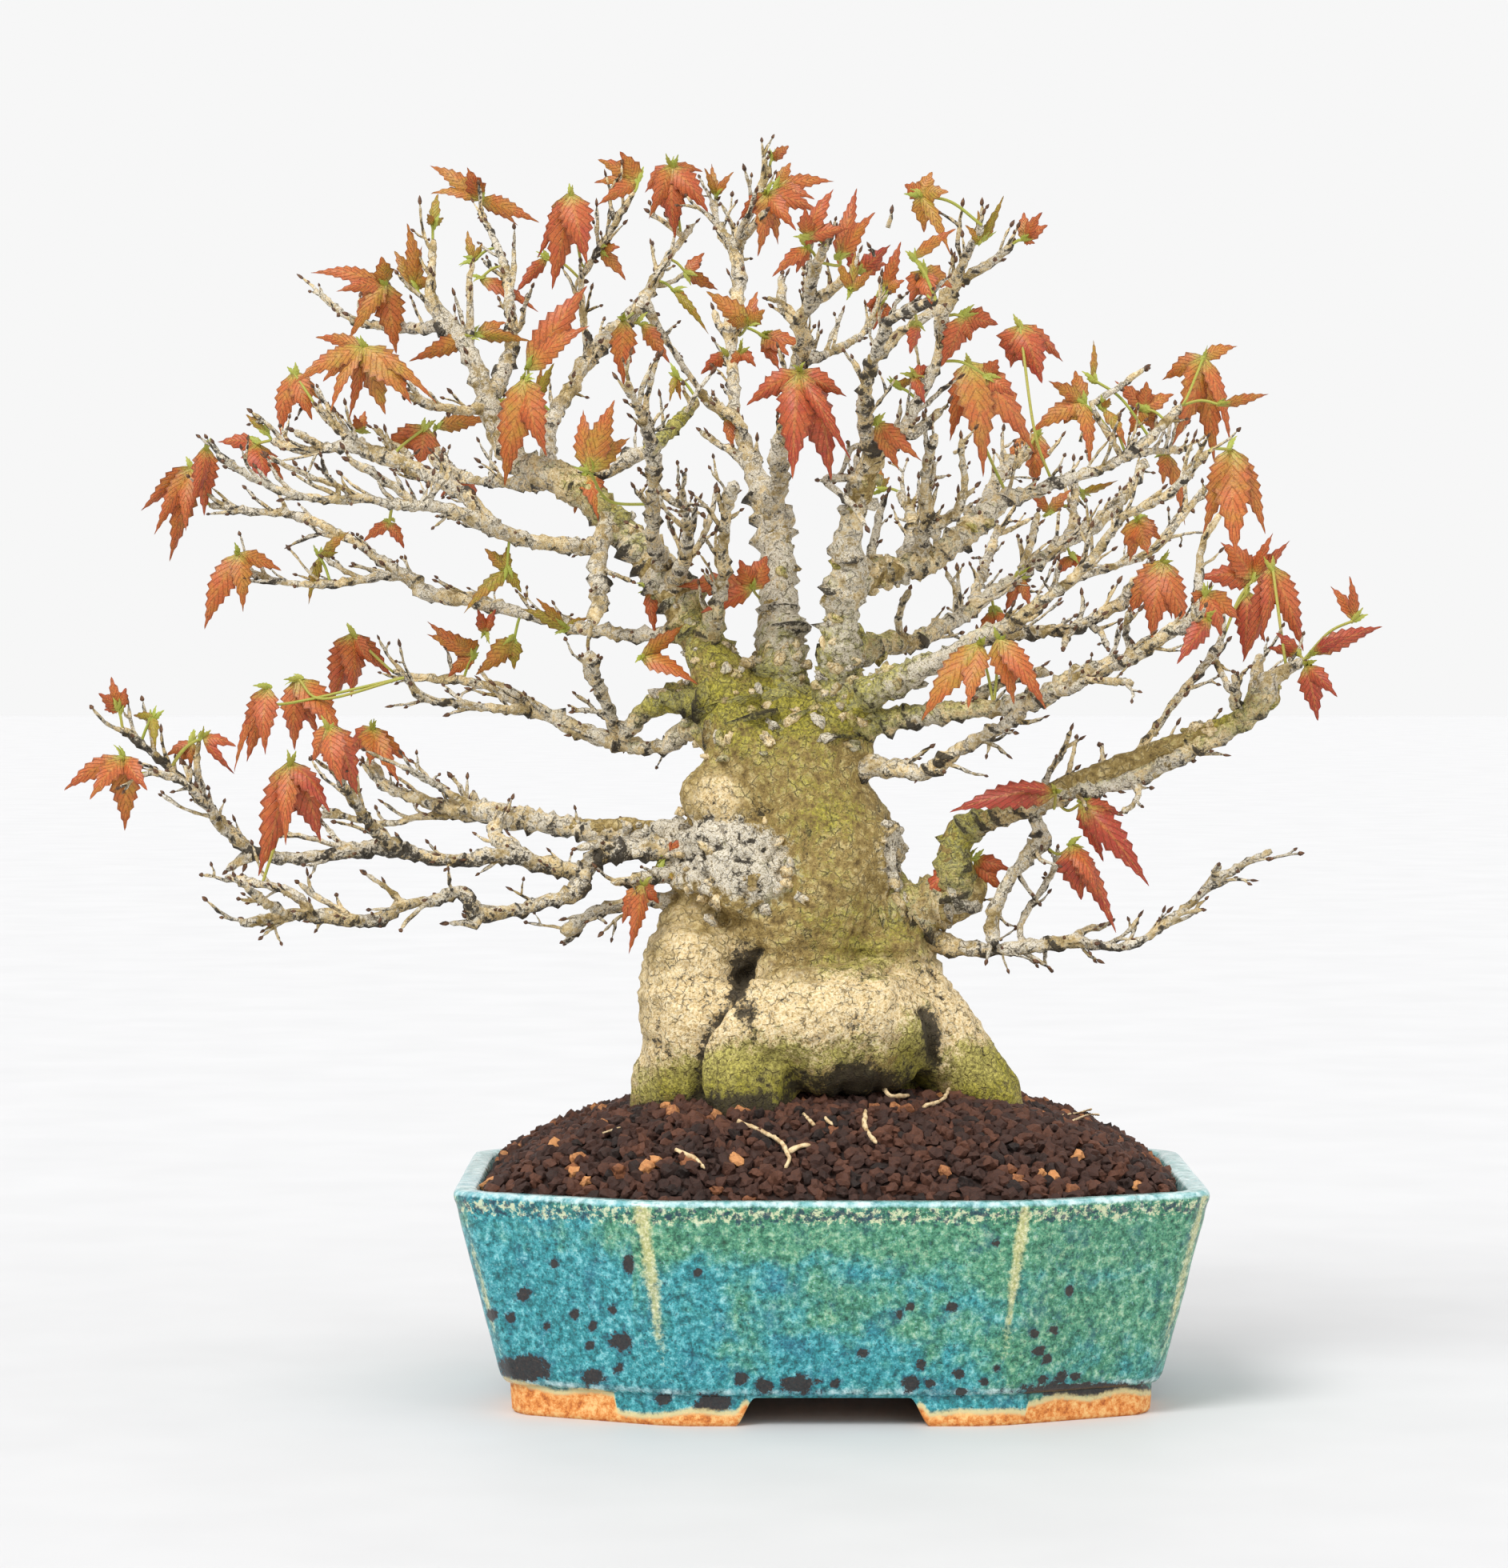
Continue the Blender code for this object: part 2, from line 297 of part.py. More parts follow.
# Leaf shoots: name -> (limb, depth beyond the limb, [(x, z) along the stalk], [(x, z, width) of
# each lobe's tip]). The lobes spread from the stalk's last point.
LEAVES = {
    "leaf_low_left_tip": ("left_dark_twin", -6, [(-188, 168.7), (-193, 172)], [
        (-209, 164, 4.5), (-202, 161.5, 4.5), (-192.5, 153, 6), (-186.3, 164, 4)]),
    "leaf_low_left_hanging": ("left_lowest_high", -10, [(-146, 166), (-147, 170.5)], [
        (-156, 141, 7), (-148.5, 149, 4), (-139, 150.5, 7)]),
    "leaf_low_left_middle": ("left_dark_rise", -4, [(-136.5, 173.5), (-137, 180.5)], [
        (-132.5, 164, 7), (-139.5, 172, 5)]),
    "leaf_low_left_dome": ("left_pale", -5, [(-125.5, 174.5), (-125, 180.5)], [
        (-130, 175, 4), (-125.5, 173, 5), (-114.5, 171.5, 3.5)]),
    "leaf_second_left_far": ("left_second_low", -8, [(-150, 187.5), (-153.5, 191.5)], [
        (-158.5, 173.5, 5.5), (-154.5, 176.5, 5)]),
    "leaf_second_left_mid": ("left_second_low", 4, [(-138, 189), (-145, 193.5)], [
        (-145.5, 177, 6), (-134, 180, 7)]),
    "leaf_second_left_near": ("left_second", 5, [(-120.5, 197.5), (-129.5, 206)], [
        (-136.5, 188.5, 8), (-130.5, 190.5, 6), (-119, 195, 3.5)]),
    "leaf_third_left_tip": ("left_third_low", -4, [(-162, 226.5), (-162, 228)], [
        (-170, 209.5, 6), (-160, 214, 5), (-149.5, 225, 3.5)]),
    "leaf_third_left_far": ("left_third", 4, [(-170, 243), (-174, 250)], [
        (-187, 241.5, 4.5), (-184, 235.5, 4.5), (-180, 228, 6), (-175.5, 236, 4)]),
    "leaf_third_left_upper": ("left_third", -4, [(-170.5, 244), (-170, 256)], [(-170.5, 240, 5)]),
    "leaf_fourth_left": ("left_fifth", 3, [(-154.5, 259), (-156, 258)], [
        (-166, 258.5, 4), (-154.5, 249, 7.5)]),
    "leaf_fifth_left": ("left_fifth_rise", 4, [(-141, 270.5), (-146, 277)], [
        (-149, 261.5, 5), (-141, 266.5, 5)]),
    "leaf_fifth_left_low": ("left_fifth", 8, [(-118, 256.5), (-111, 262.5)], [
        (-123.5, 254, 5), (-113, 253.5, 7)]),
    "leaf_top_left_spread": ("left_top_low", -7, [(-117.5, 273.5), (-127, 284.5)], [
        (-121.5, 267.5, 8), (-114.5, 270.5, 7), (-139, 287, 3), (-138, 276.5, 5)]),
    "leaf_top_left_cluster": ("left_top_side", -8, [(-117, 292.5), (-122, 302)], [
        (-140.5, 305, 3.5), (-121.5, 308.5, 5), (-129, 291.5, 6), (-118.5, 284, 7)]),
    "leaf_top_left_upright": ("left_trunk", 4, [(-110.5, 298.5), (-113, 301)], [
        (-118, 310.5, 3.5), (-115, 318, 3.5)]),
    "leaf_top_left_shoot": ("left_trunk", 0, [(-108, 315.5), (-108, 318)], [
        (-106.5, 326, 2.6), (-110, 318.5, 2.2)]),
    "leaf_top_left_crown": ("left_top_rise", 3, [(-95, 323.5), (-95.5, 325)], [
        (-108, 333.5, 4), (-98.5, 333, 4.5), (-107.5, 327, 3), (-79.5, 319, 4)]),
    "leaf_crown_left_drooping": ("left_long_twin", -12, [(-67.5, 307.5), (-70.5, 325.5)], [
        (-75, 301.5, 7.5), (-66, 308.5, 7)]),
    "leaf_crown_left_rising": ("left_trunk", -14, [(-83, 272), (-82, 279)], [
        (-67, 300.5, 7), (-66, 291, 4.5)]),
    "leaf_crown_left_pair": ("left_trunk", -16, [(-82, 270), (-83, 275)], [
        (-88.5, 248.5, 8), (-77.5, 256.5, 6.5)]),
    "leaf_crown_left_tip": ("left_long_twin", 2, [(-52.5, 328), (-52, 330)], [
        (-62.5, 335.5, 4), (-57, 337.5, 4)]),
    "leaf_crown_umbrella": ("left_long_rise", -8, [(-40.5, 316), (-43, 333)], [
        (-48.5, 321, 5), (-42, 315.5, 7), (-33.5, 322, 6)]),
    "leaf_crown_hanging": ("left_long_rise", -22, [(-53.5, 294), (-56, 291)], [(-55.5, 275.5, 6)]),
    "leaf_inner_upright": ("inner_upright", -14, [(-60, 243), (-65.4, 251.2)], [
        (-67, 267, 5), (-58.5, 270, 5.5), (-55, 260, 4.5)]),
    "leaf_crown_top": ("crown_left", 3, [(-16, 335.2), (-15.5, 335.8)], [(-11, 339, 2.6)]),
    "leaf_crown_fan": ("crown_left", -14, [(-20, 324), (-17, 326)], [
        (-24, 320.5, 4), (-19, 310.5, 4.5), (-14, 314, 4), (-3.5, 322, 5)]),
    "leaf_crown_wing": ("crown_left", 6, [(-16.5, 326.5), (-14, 328)], [
        (0.5, 329.5, 3.5), (-4, 325.5, 3)]),
    "leaf_middle_red": ("crown_middle", -16, [(-8, 279), (-7.5, 276)], [
        (-21.5, 270, 5), (-10, 250.5, 8), (0, 250, 8)]),
    "leaf_middle_spread": ("crown_left", -10, [(-24.5, 288), (-22, 291)], [
        (-32.5, 299, 4.5), (-27, 293, 3), (-18.5, 295.5, 4)]),
    "leaf_middle_tips": ("crown_middle_high", -4, [(2.5, 307), (3, 309)], [
        (7.5, 327, 3.2), (12, 321, 3.2)]),
    "leaf_right_crown": ("crown_right", 4, [(27, 298.7), (26, 305)], [
        (22, 297.5, 5), (32.5, 301.5, 5)]),
    "leaf_right_orange_fan": ("right_first", -12, [(41, 262), (38, 280)], [
        (33, 261, 6), (42.5, 251, 8), (55, 257, 8)]),
    "leaf_right_red_upper": ("right_first", 12, [(56, 262), (52, 290)], [
        (50, 279, 8), (58.5, 276.5, 8)]),
    "leaf_right_top": ("right_first", 10, [(97.5, 271), (101.5, 279.8)], [
        (91.5, 276.5, 5), (94, 259.5, 6.5), (105, 255, 7), (110, 284, 3)]),
    "leaf_right_mid": ("right_third", 8, [(104.5, 257.3), (109.5, 256)], [
        (102.5, 235.5, 6), (111, 228.5, 8), (118.5, 235, 5)]),
    "leaf_right_mid_inner": ("right_third", 8, [(84, 240), (84, 237)], [
        (82.5, 227, 5), (88.5, 229.5, 6)]),
    "leaf_right_cluster": ("right_third_b", -10, [(86, 222.5), (90.5, 226)], [
        (82.5, 212.5, 7), (88, 205.5, 8), (95.5, 210, 7)]),
    "leaf_right_far_drooping": ("right_low", 12, [(124, 203), (121, 224)], [
        (129, 203, 6), (120, 211.5, 5)]),
    "leaf_right_far_red": ("right_low", -3, [(131, 200.3), (132, 201.5)], [(150.5, 208.5, 4.5)]),
    "leaf_right_far_low": ("right_low", -7, [(130, 198), (130.5, 197.5)], [
        (133.3, 184, 5), (138.5, 190, 3.5)]),
    "leaf_front_pair_left": ("right_fourth", -18, [(43.5, 195), (41, 203.5)], [
        (25.5, 184, 7), (38, 187.5, 6)]),
    "leaf_front_pair_right": ("right_fourth", -20, [(46, 198), (46.5, 205)], [
        (50.5, 188.5, 6.5), (59, 187, 5)]),
    "leaf_right_low_red": ("right_low", -9, [(61.5, 159), (61.5, 163.5)], [(34, 158.5, 6)]),
    "leaf_right_low_pair": ("right_low", -6, [(65, 158.5), (69, 160)], [
        (75.5, 145.5, 5), (87, 138.5, 6.5)]),
    "leaf_right_low_hanging": ("right_tie", -6, [(62.5, 146.5), (66.5, 148.5)], [
        (69, 135, 8), (77.5, 126.5, 5)]),
    "leaf_trunk_left": ("left_cut_stub", -16, [(-50, 138.5), (-52, 137)], [
        (-56, 128, 4), (-54.7, 120.5, 4)]),
    "leaf_middle_level": ("middle_trunk", -14, [(-19, 216.5), (-21, 219)], [
        (-40.5, 219.5, 5.5), (-17.5, 227, 5.5)]),
    "leaf_inner_left_pair": ("left_third", -12, [(-47, 199.5), (-51, 200.5)], [
        (-40.5, 208.5, 4), (-37, 193.5, 4)]),
}


def rgb(colour, roughness):
    """A colour (red, green, blue) with its roughness."""
    return (*colour, 1.0), roughness


FINISHES = {
    "glazed_pot": rgb((0.10, 0.36, 0.36), 0.18),
    "granular_soil": rgb((0.10, 0.035, 0.02), 0.95),
    "bark": rgb((0.42, 0.33, 0.17), 0.85),
    "young_leaf": rgb((0.55, 0.16, 0.05), 0.55),
    "screen_plastic": rgb((0.03, 0.03, 0.03), 0.6),
    "rootlet": rgb((0.70, 0.52, 0.33), 0.8),
    "wire": rgb((0.35, 0.17, 0.09), 0.4),
}


def finish(name):
    """The material called name, made on first use."""
    if name in bpy.data.materials:
        return bpy.data.materials[name]
    colour, roughness = FINISHES[name]
    material = bpy.data.materials.new(name)
    material.use_nodes = True
    shader = material.node_tree.nodes["Principled BSDF"]
    shader.inputs["Base Color"].default_value = colour
    shader.inputs["Roughness"].default_value = roughness
    shader.inputs["Metallic"].default_value = 1.0 if name == "wire" else 0.0
    return material


def as_object(name, bm, material):
    """Turn a bmesh in millimetres into an object in metres."""
    bmesh.ops.scale(bm, vec=(MM, MM, MM), verts=bm.verts)
    bmesh.ops.recalc_face_normals(bm, faces=bm.faces)
    mesh = bpy.data.meshes.new(name)
    bm.to_mesh(mesh)
    bm.free()
    mesh.materials.append(finish(material))
    obj = bpy.data.objects.new(name, mesh)
    bpy.context.scene.collection.objects.link(obj)
    return obj


def bake(obj):
    """Apply the object's modifiers to its mesh."""
    graph = bpy.context.evaluated_depsgraph_get()
    mesh = bpy.data.meshes.new_from_object(obj.evaluated_get(graph))
    obj.modifiers.clear()
    obj.data = mesh


def combine(obj, tool, operation, solver="EXACT"):
    """Join tool to obj (UNION) or take it away (DIFFERENCE), and drop the tool."""
    boolean = obj.modifiers.new(operation.lower(), "BOOLEAN")
    boolean.operation = operation
    boolean.solver = solver
    boolean.object = tool
    bake(obj)
    bpy.data.objects.remove(tool)


def loft(bm, rings, closed=False):
    """Skin equal rings of points. The ends are capped, or joined when the loft is closed."""
    rows = [[bm.verts.new(point) for point in ring] for ring in rings]
    count = len(rows[0])
    pairs = list(zip(rows, rows[1:]))
    if closed:
        pairs.append((rows[-1], rows[0]))
    for low, high in pairs:
        for i in range(count):
            j = (i + 1) % count
            bm.faces.new((low[i], low[j], high[j], high[i]))
    if not closed:
        bm.faces.new(reversed(rows[0]))
        bm.faces.new(rows[-1])


def frames(points):
    """Directions along a path with a side vector that turns as little as possible."""
    steps = [(b - a).normalized() for a, b in zip(points, points[1:])]
    along = [steps[0]] + [(a + b).normalized() for a, b in zip(steps, steps[1:])] + [steps[-1]]
    side = along[0].orthogonal().normalized()
    result = []
    for direction in along:
        side = (side - direction * side.dot(direction)).normalized()
        result.append((direction, side))
    return result


def tube(name, points, radii, sides, material):
    """A closed tube of changing radius along points."""
    bm = bmesh.new()
    rings = []
    for point, radius, (direction, side) in zip(points, radii, frames(points)):
        other = direction.cross(side)
        turns = [2 * math.pi * i / sides for i in range(sides)]
        rings.append([point + radius * (math.cos(t) * side + math.sin(t) * other) for t in turns])
    loft(bm, rings)
    return as_object(name, bm, material)


def box(name, low, high, material):
    """A box between two corners."""
    bm = bmesh.new()
    bmesh.ops.create_cube(bm, size=1.0)
    middle = (Vector(low) + Vector(high)) / 2
    bmesh.ops.scale(bm, vec=Vector(high) - Vector(low), verts=bm.verts)
    bmesh.ops.translate(bm, vec=middle, verts=bm.verts)
    return as_object(name, bm, material)


def on_tree(x, z, depth=0.0):
    """The point of the front elevation (x, z) at a depth, in the object's frame."""
    flat = Vector((x, 0.0, z))
    seen = EYE + (flat - EYE) * (depth - EYE.y) / -EYE.y
    return seen + POT_CENTRE


# --- pot -------------------------------------------------------------------------------------
def pot_outline(scale, z, corner=3.0):
    """The pot's elongated octagon at a scale, with each corner cut back on both sides."""
    half_x = POT_WIDTH / 2
    half_y = POT_DEPTH / 2
    front = FRONT_FACE_WIDTH / 2
    side = SIDE_FACE_WIDTH / 2
    quarter = [(half_x, side), (front, half_y)]
    corners = quarter + [(-x, y) for x, y in reversed(quarter)]
    corners += [(-x, -y) for x, y in corners]
    ring = []
    for i, (x, y) in enumerate(corners):
        here = Vector((x, y, 0))
        for near in (corners[i - 1], corners[(i + 1) % len(corners)]):
            towards = (Vector((*near, 0)) - here).normalized()
            ring.append((here + corner * towards) * scale + Vector((0, 0, z)) + POT_CENTRE)
    return ring


def pot():
    """Tapering walls, flat floor with two drain holes, and a foot ring with a gap in each side."""
    profile = [
        (FOOT_SCALE_OUTSIDE, FOOT_HEIGHT), (0.872, 9.4), (0.888, 12), (0.9, 17), (0.99, 55.5), (1.0, 58),
        (0.995, POT_HEIGHT), (0.945, POT_HEIGHT), (RIM_SCALE_INSIDE, 58.5), (0.925, 53), (0.84, 19),
        (0.82, 15.5), (0.79, FLOOR_TOP)]
    bm = bmesh.new()
    loft(bm, [pot_outline(scale, z) for scale, z in profile])
    body = as_object("pot", bm, "glazed_pot")
    bm = bmesh.new()
    overlap = FOOT_HEIGHT + 1.5
    ring = [
        (FOOT_SCALE_INSIDE + 0.01, overlap), (FOOT_SCALE_OUTSIDE, overlap), (FOOT_SCALE_GROUND, 0),
        (FOOT_SCALE_INSIDE, 0)]
    loft(bm, [pot_outline(scale, z) for scale, z in ring], closed=True)
    foot = as_object("foot", bm, "glazed_pot")
    reach = POT_WIDTH
    for width, turn in ((FOOT_GAP_WIDTH, 0.0), (FOOT_GAP_WIDTH_SIDE, math.pi / 2)):
        bm = bmesh.new()
        top = width / 2
        ground = top + FOOT_GAP_SLOPE
        section = [(-ground, -1.0), (ground, -1.0), (top, FOOT_HEIGHT), (-top, FOOT_HEIGHT)]
        spin = Matrix.Rotation(turn, 3, "Z")
        loft(bm, [[spin @ Vector((x, y, z)) + POT_CENTRE for x, z in section] for y in (-reach, reach)])
        combine(foot, as_object("foot_gap", bm, "glazed_pot"), "DIFFERENCE")
    combine(body, foot, "UNION")
    for x in (-DRAIN_X, DRAIN_X):
        centre = Vector((x, 0, 0)) + POT_CENTRE
        ends = [centre + Vector((0, 0, z)) for z in (DRILL_LOW, DRILL_HIGH)]
        combine(body, tube("drain", ends, [DRAIN_RADIUS] * 2, 16, "glazed_pot"), "DIFFERENCE")
    return body


def screen(name, x):
    """A square plastic screen with a grid of open cells, flat on the floor over a drain hole."""
    bm = bmesh.new()
    step = SCREEN_SIDE / SCREEN_CELLS
    low = FLOOR_TOP + GAP
    corner = POT_CENTRE + Vector((x - SCREEN_SIDE / 2, -SCREEN_SIDE / 2, 0))
    points = {}

    def at(i, j, k):
        if (i, j, k) not in points:
            shift = Vector((i * step, j * step, low + k * SCREEN_THICKNESS))
            points[i, j, k] = bm.verts.new(corner + shift)
        return points[i, j, k]

    def is_open(i, j):
        inside = 0 <= i < SCREEN_CELLS and 0 <= j < SCREEN_CELLS
        return not inside or (i % 2 == 1 and j % 2 == 1)

    for i in range(SCREEN_CELLS):
        for j in range(SCREEN_CELLS):
            if is_open(i, j):
                continue
            for k in (0, 1):
                bm.faces.new((at(i, j, k), at(i + 1, j, k), at(i + 1, j + 1, k), at(i, j + 1, k)))
            borders = [
                ((i - 1, j), (i, j), (i, j + 1)), ((i + 1, j), (i + 1, j), (i + 1, j + 1)),
                ((i, j - 1), (i, j), (i + 1, j)), ((i, j + 1), (i, j + 1), (i + 1, j + 1))]
            for (ni, nj), a, b in borders:
                if is_open(ni, nj):
                    bm.faces.new((at(*a, 0), at(*b, 0), at(*b, 1), at(*a, 1)))
    return as_object(name, bm, "screen_plastic")


def wire_clip(name, x):
    """A wire bent over the screen, down two open cells, and out under the pot's floor."""
    over = FLOOR_TOP + GAP + SCREEN_THICKNESS + GAP + WIRE_RADIUS
    under = FOOT_HEIGHT - GAP - WIRE_RADIUS
    leg = SCREEN_SIDE / SCREEN_CELLS * 2
    out = DRAIN_RADIUS + WIRE_REACH
    half = [
        (WIRE_BEND - leg, over), (-leg, over - WIRE_BEND), (-leg, under + WIRE_BEND),
        (-leg - WIRE_BEND, under), (-out, under)]
    path = list(reversed(half)) + [(-a, b) for a, b in half]
    points = [Vector((x + a, 0, b)) + POT_CENTRE for a, b in path]
    return tube(name, points, [WIRE_RADIUS] * len(points), 8, "wire")


# --- soil ------------------------------------------------------------------------------------
def soil_height(share):
    """Height of the mound at a share of the way from its middle to the wall."""
    return SOIL_EDGE_Z + SOIL_RISE * (1 - share ** SOIL_STEEPNESS)


def soil(trunk_base, roots):
    """The mound, cut by the trunk's base and its roots, with a hollow over each drain screen."""
    bottom = pot_outline(0.812, FLOOR_TOP + 5.6)
    floor = pot_outline(0.77, FLOOR_TOP + GAP)
    wall = pot_outline(0.92, 54.0)
    edge = pot_outline(SOIL_EDGE_SCALE, SOIL_EDGE_Z - 1.0)
    rings = [floor, bottom, wall, edge]
    for share in (0.96, 0.88, 0.74, 0.5, 0.12):
        ring = []
        for point in edge:
            flat = (point - POT_CENTRE) * share
            ring.append(Vector((flat.x, flat.y, soil_height(share))) + POT_CENTRE)
        rings.append(ring)
    bm = bmesh.new()
    loft(bm, rings)
    body = as_object("soil", bm, "granular_soil")
    combine(body, trunk_base, "DIFFERENCE")
    for root in roots:
        combine(body, root, "DIFFERENCE")
    half = SCREEN_SIDE / 2 + GAP
    top = FLOOR_TOP + 3 * GAP + SCREEN_THICKNESS + 2 * WIRE_RADIUS
    for x in (-DRAIN_X, DRAIN_X):
        low = POT_CENTRE + Vector((x - half, -half, FLOOR_TOP - 2))
        high = POT_CENTRE + Vector((x + half, half, top))
        combine(body, box("screen_hollow", low, high, "granular_soil"), "DIFFERENCE")
    return body


# --- tree ------------------------------------------------------------------------------------
def trunk_masses():
    """The swollen trunk and root flare, one skin around overlapping balls."""
    bm = bmesh.new()
    for chain in TRUNK_MASSES:
        stops = [(on_tree(x, z, depth), radius) for x, z, depth, radius in chain]
        if len(stops) == 1:
            stops.append(stops[0])
        for (start, start_radius), (end, end_radius) in zip(stops, stops[1:]):
            steps = 1 + int((end - start).length / BALL_SPACING)
            for i in range(steps + 1):
                share = i / steps
                centre = start.lerp(end, share)
                radius = start_radius + (end_radius - start_radius) * share
                place = Matrix.Translation(centre)
                bmesh.ops.create_icosphere(bm, subdivisions=2, radius=radius, matrix=place)
    trunk = as_object("trunk_and_branches", bm, "bark")
    remesh = trunk.modifiers.new("skin", "REMESH")
    remesh.mode = "VOXEL"
    remesh.voxel_size = VOXEL * MM
    decimate = trunk.modifiers.new("simplify", "DECIMATE")
    decimate.ratio = SKIN_SHARE
    bake(trunk)
    return trunk


def root_tubes(grow=0.0):
    """The main roots; with grow they are the sockets that the soil keeps for them."""
    tubes = []
    for root in ROOTS:
        points = [Vector((x, y, z)) + POT_CENTRE for x, y, z, _ in root]
        points[-1] += (points[-1] - points[-2]).normalized() * grow
        tubes.append(tube("root", points, [radius + grow for *_, radius in root], 6, "bark"))
    return tubes


def limb_depths(start, end, points):
    """Depth at each point of a limb, in step with the length along it."""
    lengths = [0.0]
    for (ax, az, _), (bx, bz, _) in zip(points, points[1:]):
        lengths.append(lengths[-1] + math.hypot(bx - ax, bz - az))
    return [start + (end - start) * length / lengths[-1] for length in lengths]


def depth_near(limb, x, z):
    """Depth of a limb where it passes nearest to (x, z), and its radius there."""
    return min(limb, key=lambda stop: (stop[0] - x) ** 2 + (stop[1] - z) ** 2)[2:]


def place_limbs():
    """Every limb as (x, z, depth, radius) stops, each starting at its parent's depth."""
    placed = {}
    for name, (parent, end, points) in LIMBS.items():
        start = depth_near(placed[parent], *points[0][:2])[0] if parent else 0.0
        depths = limb_depths(start, end, points)
        placed[name] = [(x, z, depth, radius) for (x, z, radius), depth in zip(points, depths)]
    return placed


def thinned(stops):
    """The stops without those that lie within LIMB_TOLERANCE of the line past them."""
    start = Vector(stops[0][:3])
    chord = Vector(stops[-1][:3]) - start
    strays = []
    for stop in stops[1:-1]:
        offset = Vector(stop[:3]) - start
        strays.append((offset - offset.project(chord)).length)
    if not strays or max(strays) < LIMB_TOLERANCE:
        return [stops[0], stops[-1]]
    turn = 1 + strays.index(max(strays))
    return thinned(stops[:turn + 1])[:-1] + thinned(stops[turn:])


def limb_tube(stops):
    """A limb as a tube that is buried in its parent at the start."""
    kept = thinned(stops)
    points = [on_tree(x, z, depth) for x, z, depth, _ in kept]
    radii = [radius for *_, radius in kept]
    sides = 8 if max(radii) > 4 else 5 if max(radii) > 2 else 4
    return tube("limb", points, radii, sides, "bark")


def blade(points, widths, thickness, face):
    """A blade along points with its midrib raised towards the vector face."""
    bm = bmesh.new()
    rings = []
    for point, width, (direction, _) in zip(points, widths, frames(points)):
        across = direction.cross(face).normalized() * width / 2
        ridge = across.cross(direction).normalized() * thickness
        rings.append([point - across, point + across, point + ridge])
    loft(bm, rings)
    return as_object("blade", bm, "young_leaf")


def leaf(name, limb, beyond, stalk, lobes):
    """A stalk and the lobes that spread from its end, joined to one thin solid."""
    depth, radius = depth_near(limb, *stalk[0])
    points = [on_tree(x, z, depth + beyond * i / (len(stalk) - 1)) for i, (x, z) in enumerate(stalk)]
    clear = radius + 2 * GAP + STEM_WIDTH / 2
    points[0] = points[0] + (points[-1] - points[0]).normalized() * clear
    if (points[-1] - points[0]).length < STEM_LEAST:
        points[0] = points[-1] - (points[-1] - on_tree(*stalk[0], depth)).normalized() * STEM_LEAST
    face = Vector((0, -1, 0))
    base = points[-1]
    shape = blade(points, [STEM_WIDTH] * len(points), STEM_WIDTH, face)
    for i, (x, z, width) in enumerate(lobes):
        away = depth + beyond + (-3.0 if i % 2 else 2.0)
        tip = on_tree(x, z, away)
        reach = tip - base
        middle = base + reach * LOBE_WIDEST + Vector((0, 0, 0.05)) * reach.length + face * LOBE_BOW
        start = base - reach.normalized() * (0.5 + 0.17 * i)
        thickness = LEAF_THICKNESS + 0.11 * i
        widths = [LOBE_WIDTH_START - 0.13 * i, width, LOBE_WIDTH_TIP]
        lobe = blade([start, middle, tip], widths, thickness, face)
        combine(shape, lobe, "UNION", "MANIFOLD")  # EXACT turns some of these thin unions inside out
    shape.name = name
    return shape


def rootlets(mound):
    """Pale fine roots that lie bare on the mound."""
    surface = BVHTree.FromObject(mound, bpy.context.evaluated_depsgraph_get())
    eye = on_tree(0, 0, EYE.y)
    for name, points in ROOTLETS.items():
        path = []
        for x, z in points:
            place, normal, _, _ = surface.ray_cast(eye * MM, on_tree(x, z) - eye)
            path.append(place / MM + normal * (ROOTLET_RADIUS + 3 * GAP))
        tube(name, path, [ROOTLET_RADIUS] * len(path), 6, "rootlet")


def tree():
    """The trunk with its branches and roots in their soil, and the leaf shoots."""
    trunk = trunk_masses()
    bm = bmesh.new()
    bm.from_mesh(trunk.data)
    for vertex in bm.verts:
        vertex.co += vertex.normal * 3 * GAP * MM
    bmesh.ops.scale(bm, vec=(1 / MM,) * 3, verts=bm.verts)
    rootlets(soil(as_object("trunk_socket", bm, "bark"), root_tubes(grow=3 * GAP)))
    for root in root_tubes():
        combine(trunk, root, "UNION")
    limbs = place_limbs()
    for stops in limbs.values():
        combine(trunk, limb_tube(stops), "UNION")
    for name, (limb, beyond, stalk, lobes) in LEAVES.items():
        leaf(name, limbs[limb], beyond, stalk, lobes)


def clear_scene():
    """Start from an empty scene."""
    for obj in list(bpy.data.objects):
        bpy.data.objects.remove(obj)


clear_scene()
pot()
for place, drain_x in (("left", -DRAIN_X), ("right", DRAIN_X)):
    screen(f"drain_screen_{place}", drain_x)
    wire_clip(f"screen_clip_{place}", drain_x)
tree()
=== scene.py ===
"""Looks of the maple bonsai in its octagonal pot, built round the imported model.

The tree is drawn in the front elevation that the solids use: x to the right and z up, in
millimetres, on the upright plane through the pot's middle as seen from EYE. A depth moves a point
along its sight line. Every length in this file is in millimetres until a mesh is made.
"""
import math
import random

import bmesh
import bpy
import numpy as np
from mathutils import Matrix, Vector, noise
from mathutils.bvhtree import BVHTree


